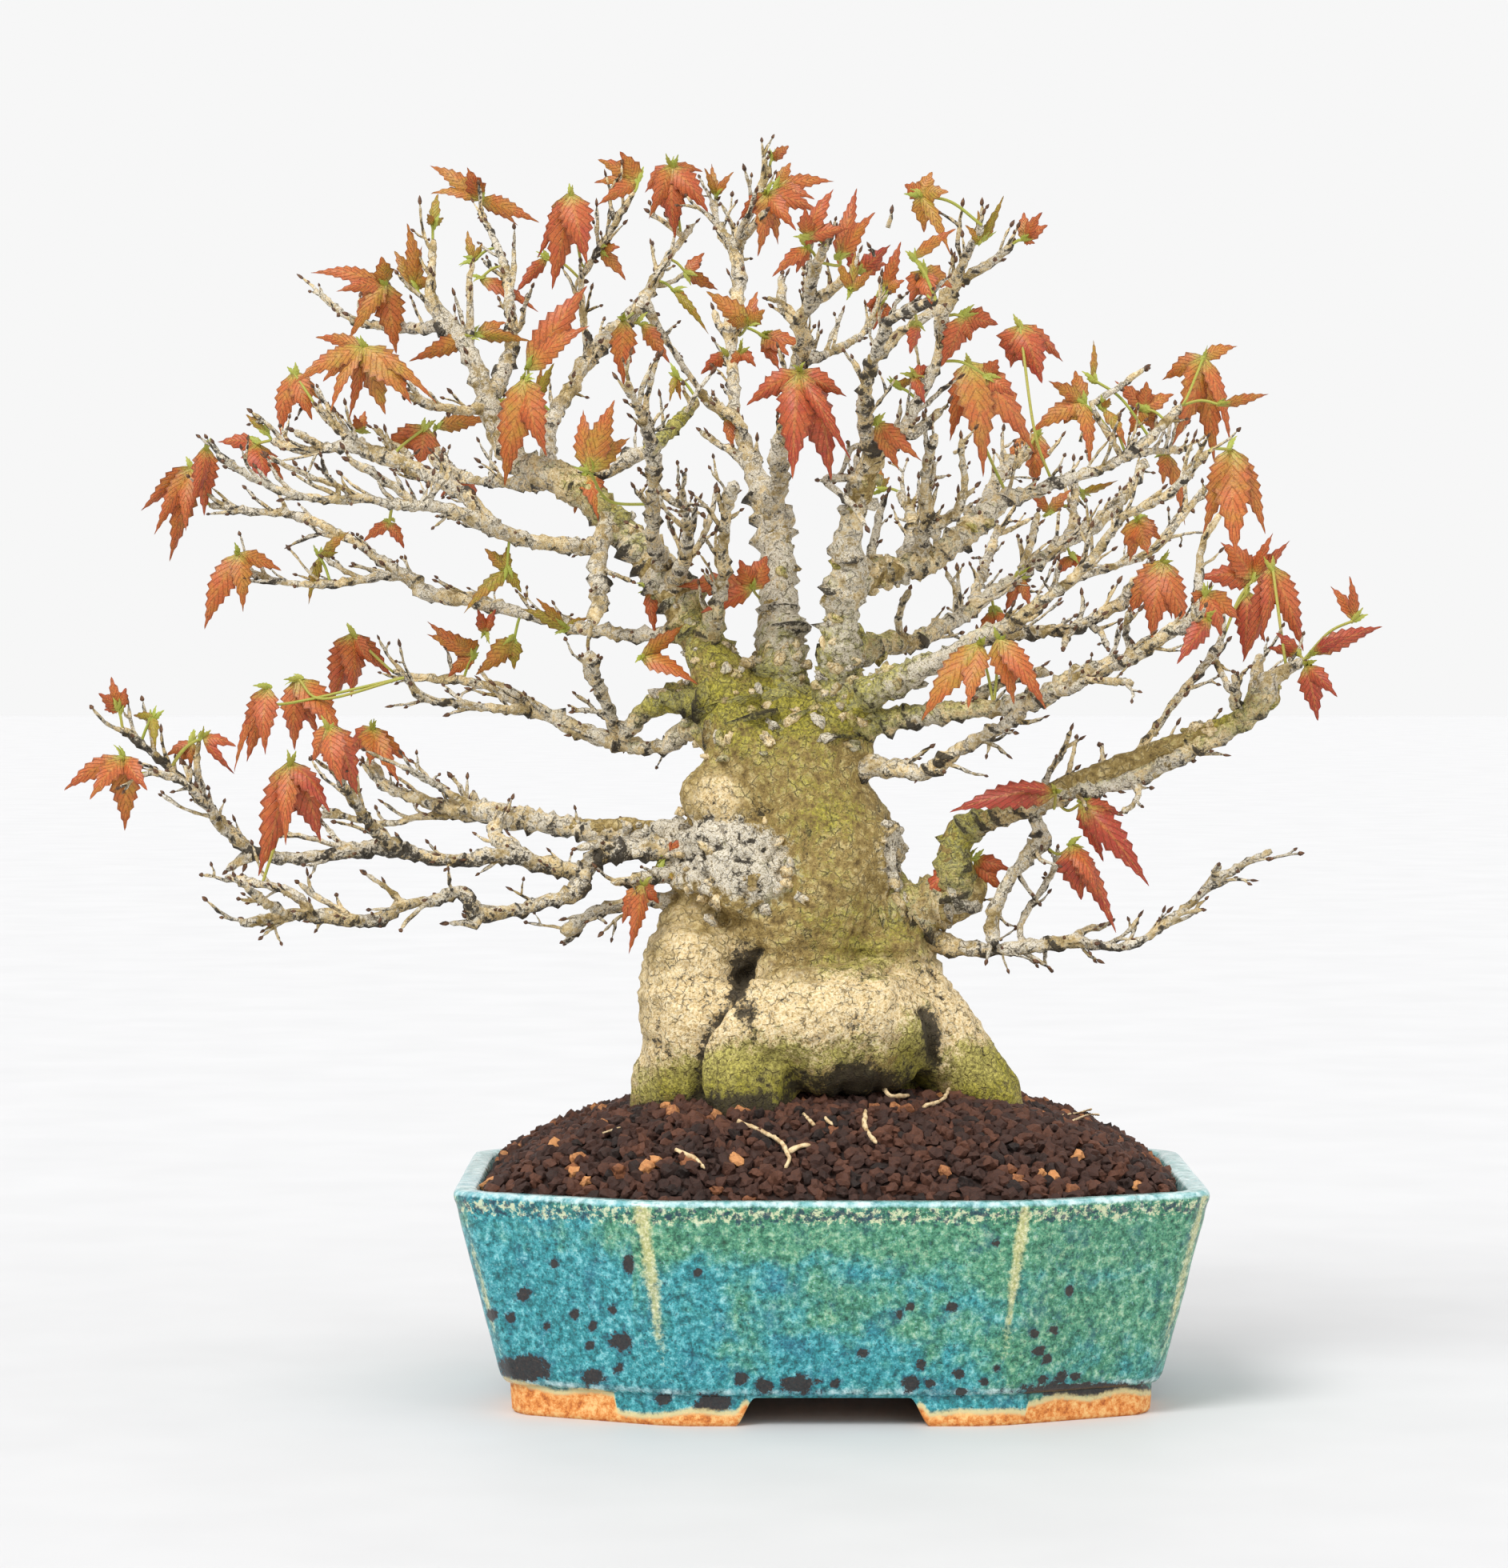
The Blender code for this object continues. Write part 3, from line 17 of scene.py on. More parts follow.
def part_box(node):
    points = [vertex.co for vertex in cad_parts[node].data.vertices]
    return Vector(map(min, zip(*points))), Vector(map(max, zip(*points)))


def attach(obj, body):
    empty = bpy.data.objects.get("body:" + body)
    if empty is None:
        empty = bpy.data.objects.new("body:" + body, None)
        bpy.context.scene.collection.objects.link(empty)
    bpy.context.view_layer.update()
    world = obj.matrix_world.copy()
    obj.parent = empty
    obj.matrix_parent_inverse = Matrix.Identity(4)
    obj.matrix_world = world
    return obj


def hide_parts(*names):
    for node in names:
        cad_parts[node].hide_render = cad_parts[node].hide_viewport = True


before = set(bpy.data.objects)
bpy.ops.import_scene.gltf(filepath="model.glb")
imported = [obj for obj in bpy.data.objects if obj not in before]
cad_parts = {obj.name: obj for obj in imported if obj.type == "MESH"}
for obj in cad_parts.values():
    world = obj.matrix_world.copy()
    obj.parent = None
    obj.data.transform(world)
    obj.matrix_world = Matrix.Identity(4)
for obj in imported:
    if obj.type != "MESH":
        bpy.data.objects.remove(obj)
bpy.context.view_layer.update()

MM = 0.001
EYE = Vector((-20.5, -1355.0, 205.0))
POT_LOW, POT_HIGH = (Vector(corner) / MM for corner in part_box("pot"))
POT_CENTRE = Vector(((POT_LOW.x + POT_HIGH.x) / 2, (POT_LOW.y + POT_HIGH.y) / 2, 0.0))
POT_WIDTH = POT_HIGH.x - POT_LOW.x
POT_DEPTH = POT_HIGH.y - POT_LOW.y
POT_HEIGHT = POT_HIGH.z
FACING = Vector((0.0, -1.0, 0.0))  # from the tree towards its viewer
SKIN_VOXEL = 1.25  # side of the cells that the trunk's skin is remeshed with
NODULE_COUNT = 520
TWIG_EVERY, TWIG_REACH = 4.6, 16.0  # spacing and longest length of the fine twigs on a limb
TIP_TWIG_EVERY, TIP_TWIG_REACH = 7.0, 7.0  # the same on the small twigs
TWIG_BEARER = 2.8  # the thickest radius of limb that carries fine twigs
FLOOR_HALF = 12  # metres
WORLD_STRENGTH = 0.93
KEY_PLACE, KEY_POWER, KEY_SPREAD = (-450, -700, 900), 2.0, 25.0
FILL_PLACE, FILL_POWER, FILL_SPREAD = (900, -700, 400), 0.5, 60.0
LENS = 113.9
SENSOR_WIDTH = 36.0
CAMERA_DIP = 1.66  # degrees below level
rng = random.Random(12)
# Rounded masses of the trunk and its root flare: (x, z, depth, radius)
TRUNK_MASSES = [
    [(-38, 127, 0, 9), (-37.5, 115, -6, 14), (-37, 102, -8, 14.5), (-37.5, 86, -6, 14), (-36, 72, -4, 13)],
    [(-48, 86, -4, 7), (-47, 76, -4, 7)],
    [(-22, 98, -18, 14), (-6, 101, -22, 15), (8, 102, -20, 15), (18, 99, -16, 12)],
    [(-24, 92, -20, 12), (-22, 80, -24, 12.5), (-20, 70, -24, 11)],
    [(14, 124, 0, 13), (18, 111, 0, 13), (26, 100, -2, 13), (35, 90, -4, 11.5), (42, 81, -4, 10.5),
     (45, 72, -4, 9)],
    [(-10, 112, 14, 20), (-8, 96, 20, 22), (8, 94, 20, 20), (-6, 80, 10, 24), (12, 78, 8, 18)],
    [(-10, 124, 0, 20), (-4, 134, 0, 20), (2, 146, 0, 19), (-4, 158, 0, 16.5), (-10, 168, 0, 14)],
    [(-31, 162, -4, 10)],
    [(-30, 146, -8, 8.5), (-22, 138, -12, 9), (-36, 142, -4, 8)],
    [(-22, 174, 0, 12), (-25, 183, 0, 10)],
    [(-6, 174, 0, 12), (-8, 182, 2, 10.5)],
    [(3, 176, -2, 9)],
]

# Main roots: (x, depth, z, radius) from the pot's centre
ROOTS = [
    [(-34, -4, 72, 9), (-48, -6, 62, 6), (-62, -10, 52, 4), (-74, -16, 44, 2.2)],
    [(-20, -24, 70, 8), (-26, -36, 58, 5.5), (-34, -46, 46, 3.5), (-44, -52, 36, 2)],
    [(10, -4, 76, 9), (22, -32, 60, 5), (30, -44, 48, 3.2), (36, -50, 36, 2)],
    [(42, -4, 74, 8), (56, -4, 62, 5.5), (68, -2, 50, 3.8), (76, 4, 40, 2)],
    [(10, 18, 74, 10), (20, 34, 60, 6), (30, 44, 46, 3.6), (44, 50, 36, 2)],
    [(-12, 16, 74, 10), (-26, 32, 60, 6), (-38, 42, 48, 3.6), (-54, 46, 38, 2)],
]

# Limbs: name -> (parent, depth at the tip, [(x, z, radius), ...]). A limb starts at its parent's
# depth; one without a parent starts on the middle plane.
LIMBS = {
    "left_trunk": (None, 38, [
        (-24, 180, 9.5), (-28, 192, 8), (-33.5, 202, 6), (-38.5, 211, 5.2), (-43.5, 220, 5.4),
        (-50, 228, 5), (-57, 236, 4.6), (-64, 243, 4.6), (-71, 248, 4.4), (-78, 250.5, 3.9),
        (-84, 253.5, 3.4), (-89, 258, 3), (-92, 264, 2.8), (-93, 270, 2.8), (-95, 276, 2.6),
        (-98, 283, 2.2), (-101, 288, 2.4), (-105, 292.5, 2.7), (-108.5, 298, 1.7),
        (-108.3, 306, 1), (-108, 314, 1.1)]),
    "middle_trunk": (None, 20, [
        (-8, 176, 10.5), (-12, 188, 8), (-13, 200, 6.8), (-14, 212, 5.6), (-14, 224, 5),
        (-15, 235, 5), (-17, 243, 4.3), (-20, 250, 3), (-22, 257, 2.2)]),
    "right_trunk": (None, -45, [
        (2, 178, 8.5), (3, 188, 6.5), (2, 198, 5), (3, 208, 4.6), (4, 217, 5.2), (6, 224, 4.8),
        (5, 233, 3.6), (7.5, 241, 2.6), (9.5, 249, 2.4), (12.5, 256, 3.2), (18, 260, 2.4),
        (21.5, 264.5, 1.7), (24, 270.5, 1.4), (27, 276, 1.6), (29.5, 281, 1.5), (31, 287, 1.6),
        (31.2, 293, 1.8), (32.5, 299, 2.2), (36, 303, 1.4), (41, 306, 1.2), (46, 309.3, 1),
        (50, 313, 0.8)]),
    # lowest left tier
    "left_pale": (None, 28, [
        (-30, 149, 4.5), (-42, 152.5, 3.4), (-53, 152, 2.6), (-62, 152.3, 2.2), (-70, 153.5, 2.6),
        (-77, 155, 3), (-85, 156.3, 3.2), (-92, 158, 3), (-100, 158.6, 2), (-107, 160, 1.7),
        (-114, 162.3, 1.6), (-120, 164.8, 1.5), (-124, 168, 1.8), (-126, 172, 1.9)]),
    "left_pale_low": ("left_pale", 40, [
        (-88, 157, 2), (-97, 156.6, 1.1), (-105, 157.2, 1), (-113, 156.8, 0.9), (-119, 155, 0.9),
        (-126, 155.4, 0.9), (-132, 156.8, 0.9), (-138, 158.6, 0.8)]),
    "left_pale_high": ("left_pale", 12, [
        (-97, 159.5, 1.6), (-102, 162, 1.1), (-107, 165.2, 0.9), (-113, 168.5, 0.9), (-117, 170.8, 0.8)]),
    "left_dark": (None, -48, [
        (-32, 146, 4.5), (-44, 148, 3.2), (-52, 148, 3), (-58, 147.3, 2.7), (-64, 145.5, 2.6),
        (-68, 142.5, 2.3), (-74, 142.6, 2.1), (-80, 144.3, 2.2), (-85, 146.3, 2.6), (-92, 146, 2.1),
        (-100, 145, 1.9), (-108, 145.5, 1.9), (-115, 147.2, 2), (-121, 148.6, 2.3), (-128, 148, 2.1),
        (-136, 146.3, 1.5), (-144, 145.6, 1.5), (-152, 145.7, 1.7), (-158, 147.5, 1.6),
        (-163, 152, 1.6), (-168, 157.5, 1.5), (-172, 163, 1.2), (-176, 166.5, 1), (-180, 170, 1),
        (-184, 173.5, 1), (-188, 177, 1.1), (-193, 181, 0.9)]),
    "left_dark_twin": ("left_dark", -60, [
        (-159, 148, 1.4), (-166, 153.5, 1.2), (-170, 159.5, 1), (-175, 165, 0.9), (-181, 168.5, 0.8),
        (-187, 168.7, 0.8)]),
    "left_dark_rise": ("left_dark", -66, [
        (-118, 148, 2), (-123, 151.5, 1.5), (-127, 157, 1.4), (-130.5, 162, 1.2), (-134, 167.5, 1.1),
        (-136, 172, 0.9)]),
    "left_dark_link": ("left_dark", 6, [(-86, 147, 1.9), (-91.5, 152, 1.9), (-90, 156.5, 2.2)]),
    "left_lowest": ("left_dark", -62, [
        (-67, 143, 2.2), (-68.5, 138, 2.4), (-71, 135, 2.2), (-76, 133.8, 1.8), (-82, 132, 1.8),
        (-88, 130.8, 1.8), (-93, 130.3, 2.3), (-96.5, 130.5, 2.4), (-98.5, 134, 2.1),
        (-101.5, 136, 1.7), (-107, 134.2, 1.4), (-113, 133, 1.5), (-117.5, 132.3, 1.7),
        (-121, 129.5, 1.8), (-126, 128.3, 1.6), (-132, 128.6, 1.8), (-139, 129.6, 1.9),
        (-145, 130.2, 1.6), (-152, 129, 1.4), (-161, 127.6, 1.3)]),
    "left_lowest_high": ("left_lowest", -44, [
        (-142, 130.5, 1.5), (-145, 134.5, 1.2), (-149, 137, 0.9), (-155, 138.3, 0.9), (-165, 140.5, 0.9)]),
    "left_lowest_mid": ("left_lowest", -78, [
        (-149, 130, 1.3), (-154, 133.3, 1.2), (-157.5, 136, 1.1), (-160, 138.5, 0.9)]),
    "left_cut_stub": (None, -6, [
        (-38, 134, 3), (-52, 134, 1.7), (-57, 132.8, 1.7), (-63, 131, 1.7), (-67.5, 128.8, 1.6),
        (-70.5, 126.3, 2.1), (-73.5, 126, 1.9)]),
    "left_dark_stub": (None, -16, [(-36, 142, 3.5), (-48, 140.5, 1.8), (-54, 139.3, 1.5),
                                   (-59.5, 138.8, 0.9)]),
    # second left tier
    "left_second": (None, 55, [
        (-28, 180, 6), (-37, 180.5, 3.2), (-41.5, 179, 2.6), (-43.5, 176, 2), (-48, 175.5, 1.8),
        (-53, 176, 2.3), (-59, 177.5, 2.7), (-65, 179.3, 2.3), (-71, 181.7, 2.1), (-77, 184.7, 2.1),
        (-82, 187, 2.6), (-87, 190, 2.1), (-93, 192.5, 1.3), (-100, 193.8, 1.1), (-108, 194.6, 1),
        (-114, 195.2, 0.9), (-119, 196.5, 0.8)]),
    "left_second_low": ("left_second", 14, [
        (-80, 186, 2), (-87, 186, 1.3), (-95, 186.8, 1.1), (-103, 187.9, 1), (-110, 188.6, 1),
        (-112.5, 190.5, 1.1), (-116, 194.8, 0.8)]),
    "left_second_rise": ("left_second", -4, [
        (-57, 177, 2), (-59.5, 184, 1.6), (-62, 190, 1.5), (-64.5, 195, 2), (-66, 201, 2.2)]),
    "left_moss_limb": (None, 14, [
        (-28, 188, 6), (-41, 189, 4), (-48, 187, 3.4), (-53, 183, 2.6), (-57, 178, 2.2)]),
    # left tiers that grow from the left trunk
    "left_hanging": ("left_trunk", -4, [
        (-59, 238, 3.6), (-62.5, 231, 2.6), (-63, 224, 2.3), (-63, 216, 2.1), (-64, 209, 1.7)]),
    "left_third": ("left_trunk", 66, [
        (-38, 208, 4), (-46, 206.6, 1.9), (-54, 206.3, 1.6), (-62, 207.5, 1.6), (-69, 208.3, 1.7),
        (-76, 210.5, 1.6), (-84, 212.5, 1.7), (-91, 214.3, 2), (-98, 216.2, 2.1), (-105, 216.6, 2),
        (-110, 218, 2.2), (-114, 221.5, 2.3), (-119, 224.3, 1.5), (-125, 228.8, 1.2),
        (-131, 232.6, 1.1), (-137, 235.6, 1.2), (-142, 238, 1.3), (-149, 239.6, 1), (-157, 240, 1),
        (-169, 242, 0.9)]),
    "left_third_low": ("left_third", 34, [
        (-113, 222, 1.8), (-120, 222.8, 1.4), (-128, 221.3, 1.1), (-136, 220.3, 1), (-144, 220.3, 0.9),
        (-151, 221.2, 0.9), (-157, 223, 0.9), (-161, 225.5, 0.8)]),
    "left_fourth": ("left_hanging", -62, [
        (-63, 230.5, 2.4), (-72, 230.8, 2.2), (-80, 231.8, 2), (-87, 234, 2.2), (-93, 236.5, 2.3),
        (-99, 239, 2), (-105, 241, 1.7), (-112, 241.6, 1.4), (-119, 242, 1.2), (-126, 243.6, 1.1),
        (-134, 243.4, 1.1), (-142, 243.8, 1), (-149, 245.5, 0.9), (-156, 248.7, 0.9), (-162, 252, 0.9),
        (-167, 255.5, 0.8)]),
    "left_fifth": ("left_fourth", 18, [
        (-92, 236, 2.2), (-98, 243, 2), (-104, 247.5, 2.2), (-110, 250.3, 2.2), (-117, 253.2, 2.3),
        (-124, 256.3, 2.1), (-130, 257.8, 1.8), (-137, 257.3, 1.3), (-143, 256.6, 1), (-148, 257.8, 1),
        (-152, 259.5, 1.3)]),
    "left_fifth_rise": ("left_fifth", 30, [
        (-126, 257.5, 1.6), (-131.5, 261, 1.2), (-136, 265, 1.1), (-140, 269, 1)]),
    "left_inner": ("left_trunk", 84, [
        (-75, 248.5, 2.6), (-82, 247.6, 1.8), (-90, 248, 1.4), (-97, 248.8, 1.4), (-103, 251, 1.7),
        (-107, 254.5, 1.9), (-109, 258, 1.4)]),
    "left_top_low": ("left_trunk", 2, [
        (-92, 268.5, 2), (-98, 267.6, 1.3), (-104, 268.2, 1.2), (-110, 269.3, 1.1), (-116, 272.5, 0.9)]),
    "left_top_side": ("left_trunk", 78, [
        (-103, 290.5, 2), (-110, 290.2, 1.5), (-117, 290, 1.3), (-124, 290.8, 1), (-131, 293, 0.9),
        (-140, 300.3, 0.8)]),
    "left_top_rise": ("left_trunk", 80, [
        (-92, 272, 2.4), (-88.5, 279, 2.1), (-86.5, 286, 1.9), (-86.8, 294, 1.5), (-87.5, 301, 1.3),
        (-88.5, 307, 1.2), (-90.5, 312, 0.9), (-95, 322, 0.8)]),
    "left_long_rise": ("left_trunk", 92, [
        (-76, 250, 2.8), (-77, 258, 2.1), (-75, 266, 1.9), (-70, 274, 1.9), (-66, 281, 2.1),
        (-61, 286.5, 2.3), (-56, 291, 2.1), (-51, 297, 1.9), (-47.5, 303, 1.4), (-44, 309, 1.1),
        (-40.5, 313.5, 1), (-37.5, 318, 0.8)]),
    "left_long_twin": ("left_long_rise", 30, [
        (-65, 282, 1.6), (-66.8, 290, 1), (-67.5, 297, 0.9), (-67.5, 303, 0.9), (-65.5, 307, 0.9),
        (-62.5, 311.5, 1), (-59, 317.5, 0.9), (-53, 327, 0.8)]),
    "inner_upright": ("left_trunk", -66, [
        (-45, 223, 3), (-48, 234, 2), (-48, 242, 1.9), (-47.7, 250, 1.9), (-48.6, 258, 1.7),
        (-50.5, 264.5, 1.1), (-53, 270, 0.9), (-55, 275.5, 1)]),
    "inner_moss": ("inner_upright", -20, [
        (-49, 257, 2.2), (-43, 262.5, 2), (-39, 266.5, 1.5), (-36, 270.5, 1.4)]),
    "inner_pale": ("left_trunk", -70, [
        (-43, 219, 3), (-39.5, 227, 1.9), (-38.7, 234, 1.3), (-39.5, 240, 1), (-40, 246, 0.8)]),
    "inner_right": ("left_trunk", -42, [
        (-34, 203, 4), (-31, 213, 2.2), (-29, 222, 1.7), (-28.8, 232, 1.5), (-28, 240, 1.5),
        (-26, 248, 1.6)]),
    # crown of the middle trunk
    "crown_left": ("middle_trunk", 70, [
        (-21, 253, 2.4), (-25, 264, 1.8), (-26, 272, 1.5), (-26, 281, 1.6), (-27, 290, 2),
        (-25, 298, 2), (-24.5, 306, 1.9), (-26, 312, 1.6), (-23.5, 317, 1.1), (-21, 322.5, 1),
        (-16.2, 334, 1)]),
    "crown_left_twin": ("crown_left", 92, [(-26, 311, 1.5), (-29, 315.5, 1.3), (-31, 320, 0.9),
                                           (-31, 325, 0.8)]),
    "crown_middle": ("middle_trunk", -38, [
        (-16, 238, 3.6), (-14, 248, 2.8), (-14, 256, 2.3), (-12, 263, 2), (-11, 271, 1.9),
        (-9, 279, 2.3), (-7, 285, 2.3), (-8, 292, 2), (-5, 296, 1.6), (0, 300, 1.5), (4.5, 303.5, 1.2)]),
    "crown_middle_low": ("crown_middle", 16, [
        (-8, 281, 1.8), (-2, 282.5, 1.1), (4, 285.3, 1), (9, 288.5, 1), (12, 293, 1.5)]),
    "crown_middle_high": ("crown_middle", -64,
                          [(-5.5, 295, 1.5), (-5, 303, 1.5), (-3, 308, 1.3), (-1, 312.5, 1.2)]),
    "crown_right": ("right_trunk", -88, [
        (12, 255.5, 2.6), (10, 262.5, 2.1), (9.5, 270, 1.8), (10.5, 276.5, 1.6), (12.5, 282.5, 1.5),
        (14.5, 288, 1.6), (17, 292.5, 1.3), (23, 295, 1.3), (29, 297.7, 1.2)]),
    "crown_right_tip": ("right_trunk", -58, [(33, 299.5, 1.8), (35.5, 306, 1.1), (38.5, 312, 1.1),
                                             (41.5, 318, 0.9)]),
    # right tiers
    "right_first": ("right_trunk", 44, [
        (4, 219, 4.8), (12, 223.5, 3.8), (20, 224.5, 3.2), (27, 226.5, 3.2), (33, 231, 3.1),
        (39.5, 236.5, 3.4), (45, 241, 3), (49, 243.5, 2.3), (55, 245, 1.6), (61, 247.6, 1.5),
        (68, 249.6, 1.3), (74, 251.5, 1.2), (81, 255.3, 1.3), (87.5, 260, 1.3), (92, 264.5, 1.2),
        (96, 269, 0.9)]),
    "right_first_a": ("right_first", 60, [(20, 224.5, 2.8), (23, 233, 2), (22, 240, 1.4), (19, 245.5, 1)]),
    "right_first_b": ("right_first", -24, [
        (24, 226.5, 2.6), (26.5, 238, 1.8), (26, 246, 1.4), (27, 254, 1.2), (29, 261, 1)]),
    "right_first_c": ("right_first", 72, [(42, 240, 2.4), (45.5, 248, 1.7), (49.5, 253, 2), (54, 256, 1.6)]),
    "right_first_d": ("right_first", 70, [(80, 254.8, 1.3), (86, 256.3, 1), (93, 256.6, 0.9),
                                          (99, 257.5, 0.8)]),
    "right_second": ("right_trunk", 104, [
        (2, 198, 5), (7, 202, 4.2), (14, 203.5, 3.2), (21, 204, 2.4), (28, 206.8, 2.2),
        (34, 210.3, 2), (39.5, 213.7, 1.8), (44, 217.5, 1.8), (50, 221, 1.7), (57, 226.3, 1.7),
        (63, 231, 1.9), (69.5, 234.2, 2), (75, 238.3, 1.8), (80, 243.5, 1.7), (83.5, 248.5, 1.4),
        (86.5, 254, 1.3)]),
    "right_second_a": ("right_second", 92, [(39.5, 213.7, 1.7), (41, 221, 1.4), (43.5, 228, 1.3),
                                            (46.5, 236, 1)]),
    "right_second_b": ("right_second", 108, [(64, 231.5, 1.7), (67, 236.5, 1.5), (66.5, 241.5, 1),
                                             (67.5, 247, 1)]),
    "right_third": ("right_trunk", -84, [
        (2.5, 184, 7), (10, 190, 4.5), (18, 194, 3.8), (25, 197, 3.3), (31, 199.5, 3), (38, 203.3, 2.7),
        (44, 207, 2.2), (50, 209.5, 2.2), (55, 213.3, 1.6), (61, 217.6, 1.4), (67, 222, 1.3),
        (72, 227.5, 1.1), (76, 233.5, 1.1), (81, 239, 1.1), (87, 242, 1), (93, 245, 1),
        (98, 250.5, 1), (103.5, 256.5, 0.9)]),
    "right_third_a": ("right_third", -24, [
        (61, 217.6, 1.3), (70, 222.6, 0.9), (78, 225.4, 0.9), (85, 227.5, 1), (90.5, 231.5, 0.9),
        (95.5, 237.5, 0.9), (103, 247, 0.8)]),
    "right_third_b": ("right_third", -6, [
        (43, 206.5, 2), (52, 206.8, 1.7), (58, 207.4, 1.7), (65, 207.6, 1.6), (71, 210, 1.5),
        (76.5, 213.3, 1.7), (81.5, 217, 1.9), (84, 222, 1.6)]),
    "right_fourth": ("right_trunk", -62, [
        (2, 181, 7), (9, 181.5, 4.2), (16, 183, 3.2), (24, 184, 2.7), (31, 185, 2.6), (38, 186, 2.2),
        (45, 186.8, 2.2), (52, 187.6, 2.3), (58, 189.5, 2.5), (63, 192.5, 2.4), (69, 195.6, 2.3),
        (77, 198.3, 2.1), (84, 201, 1.9), (89, 204.3, 1.8), (95, 208.5, 1.8), (101, 210.7, 1.7)]),
    "right_fourth_low": ("right_fourth", -74, [
        (60, 191, 1.8), (66, 191.6, 1.2), (70, 193.8, 0.9), (76, 193.9, 0.8), (83, 193.4, 0.8)]),
    "right_plain": (None, -33, [
        (0, 172, 7), (11, 170.8, 3.3), (18, 169.8, 2.3), (25, 168.7, 2.1), (29.5, 170.8, 2.1),
        (35, 174.8, 1.9), (42, 178.8, 1.8), (48, 182, 1.7), (53, 186, 1.7)]),
    # lowest right limbs
    "right_stub": (None, -6, [(8, 130, 11), (22, 131, 7.5), (30, 133, 6.8), (36, 134.5, 5.8),
                              (40, 137, 4.4)]),
    "right_low": ("right_stub", -38, [
        (36, 135, 5.4), (34, 143, 4.7), (34.5, 149, 4.3), (38, 153.5, 3.9), (43, 156, 3.2),
        (49, 157.8, 2.7), (55, 159.5, 2.6), (61, 162.3, 2.7), (67, 164.2, 2.8), (73, 165, 2.8),
        (79, 166.5, 2.6), (85, 168.6, 2.4), (91, 171.2, 2.4), (97, 174.4, 2.5), (103, 177.8, 2.7),
        (109, 181.5, 2.9), (115, 185.5, 3.1), (119, 189.5, 3.6), (121.5, 194, 3), (125, 197, 1.7),
        (129.5, 199.5, 1.2)]),
    "right_low_rise": ("right_low", 4, [
        (80, 167, 1.6), (83, 172.5, 1), (87, 178, 0.9), (91.5, 184, 0.9), (96, 190.5, 0.9),
        (100.5, 195.5, 1), (104.5, 200.5, 1.2), (107.5, 205.5, 0.9)]),
    "right_low_end": ("right_low", -28, [(117, 188, 2.4), (116.5, 196, 1.6), (118, 201, 1)]),
    "right_lowest": (None, -22, [
        (14, 127, 8), (24, 124.5, 3.4), (30, 122.3, 2.9), (36, 121, 2.6), (43, 120.6, 1.9),
        (51, 121, 1.9), (59, 121.7, 1.9), (66, 122.4, 2.1), (71, 121.8, 1.4), (78, 121.1, 1),
        (84.5, 122.4, 1.1), (90, 126, 1), (97, 131.3, 1), (102.5, 136.5, 1), (105.5, 139.3, 1.7),
        (109.5, 141.7, 1), (121, 147.5, 0.9)]),
    "right_tie": ("right_low", -8, [
        (56, 160, 2), (57, 155, 1.8), (58, 150, 2.5), (54, 145.5, 2), (50, 140.5, 1.7),
        (47, 135, 1.7), (45, 129, 1.9), (44.3, 121.5, 1.9)]),
}

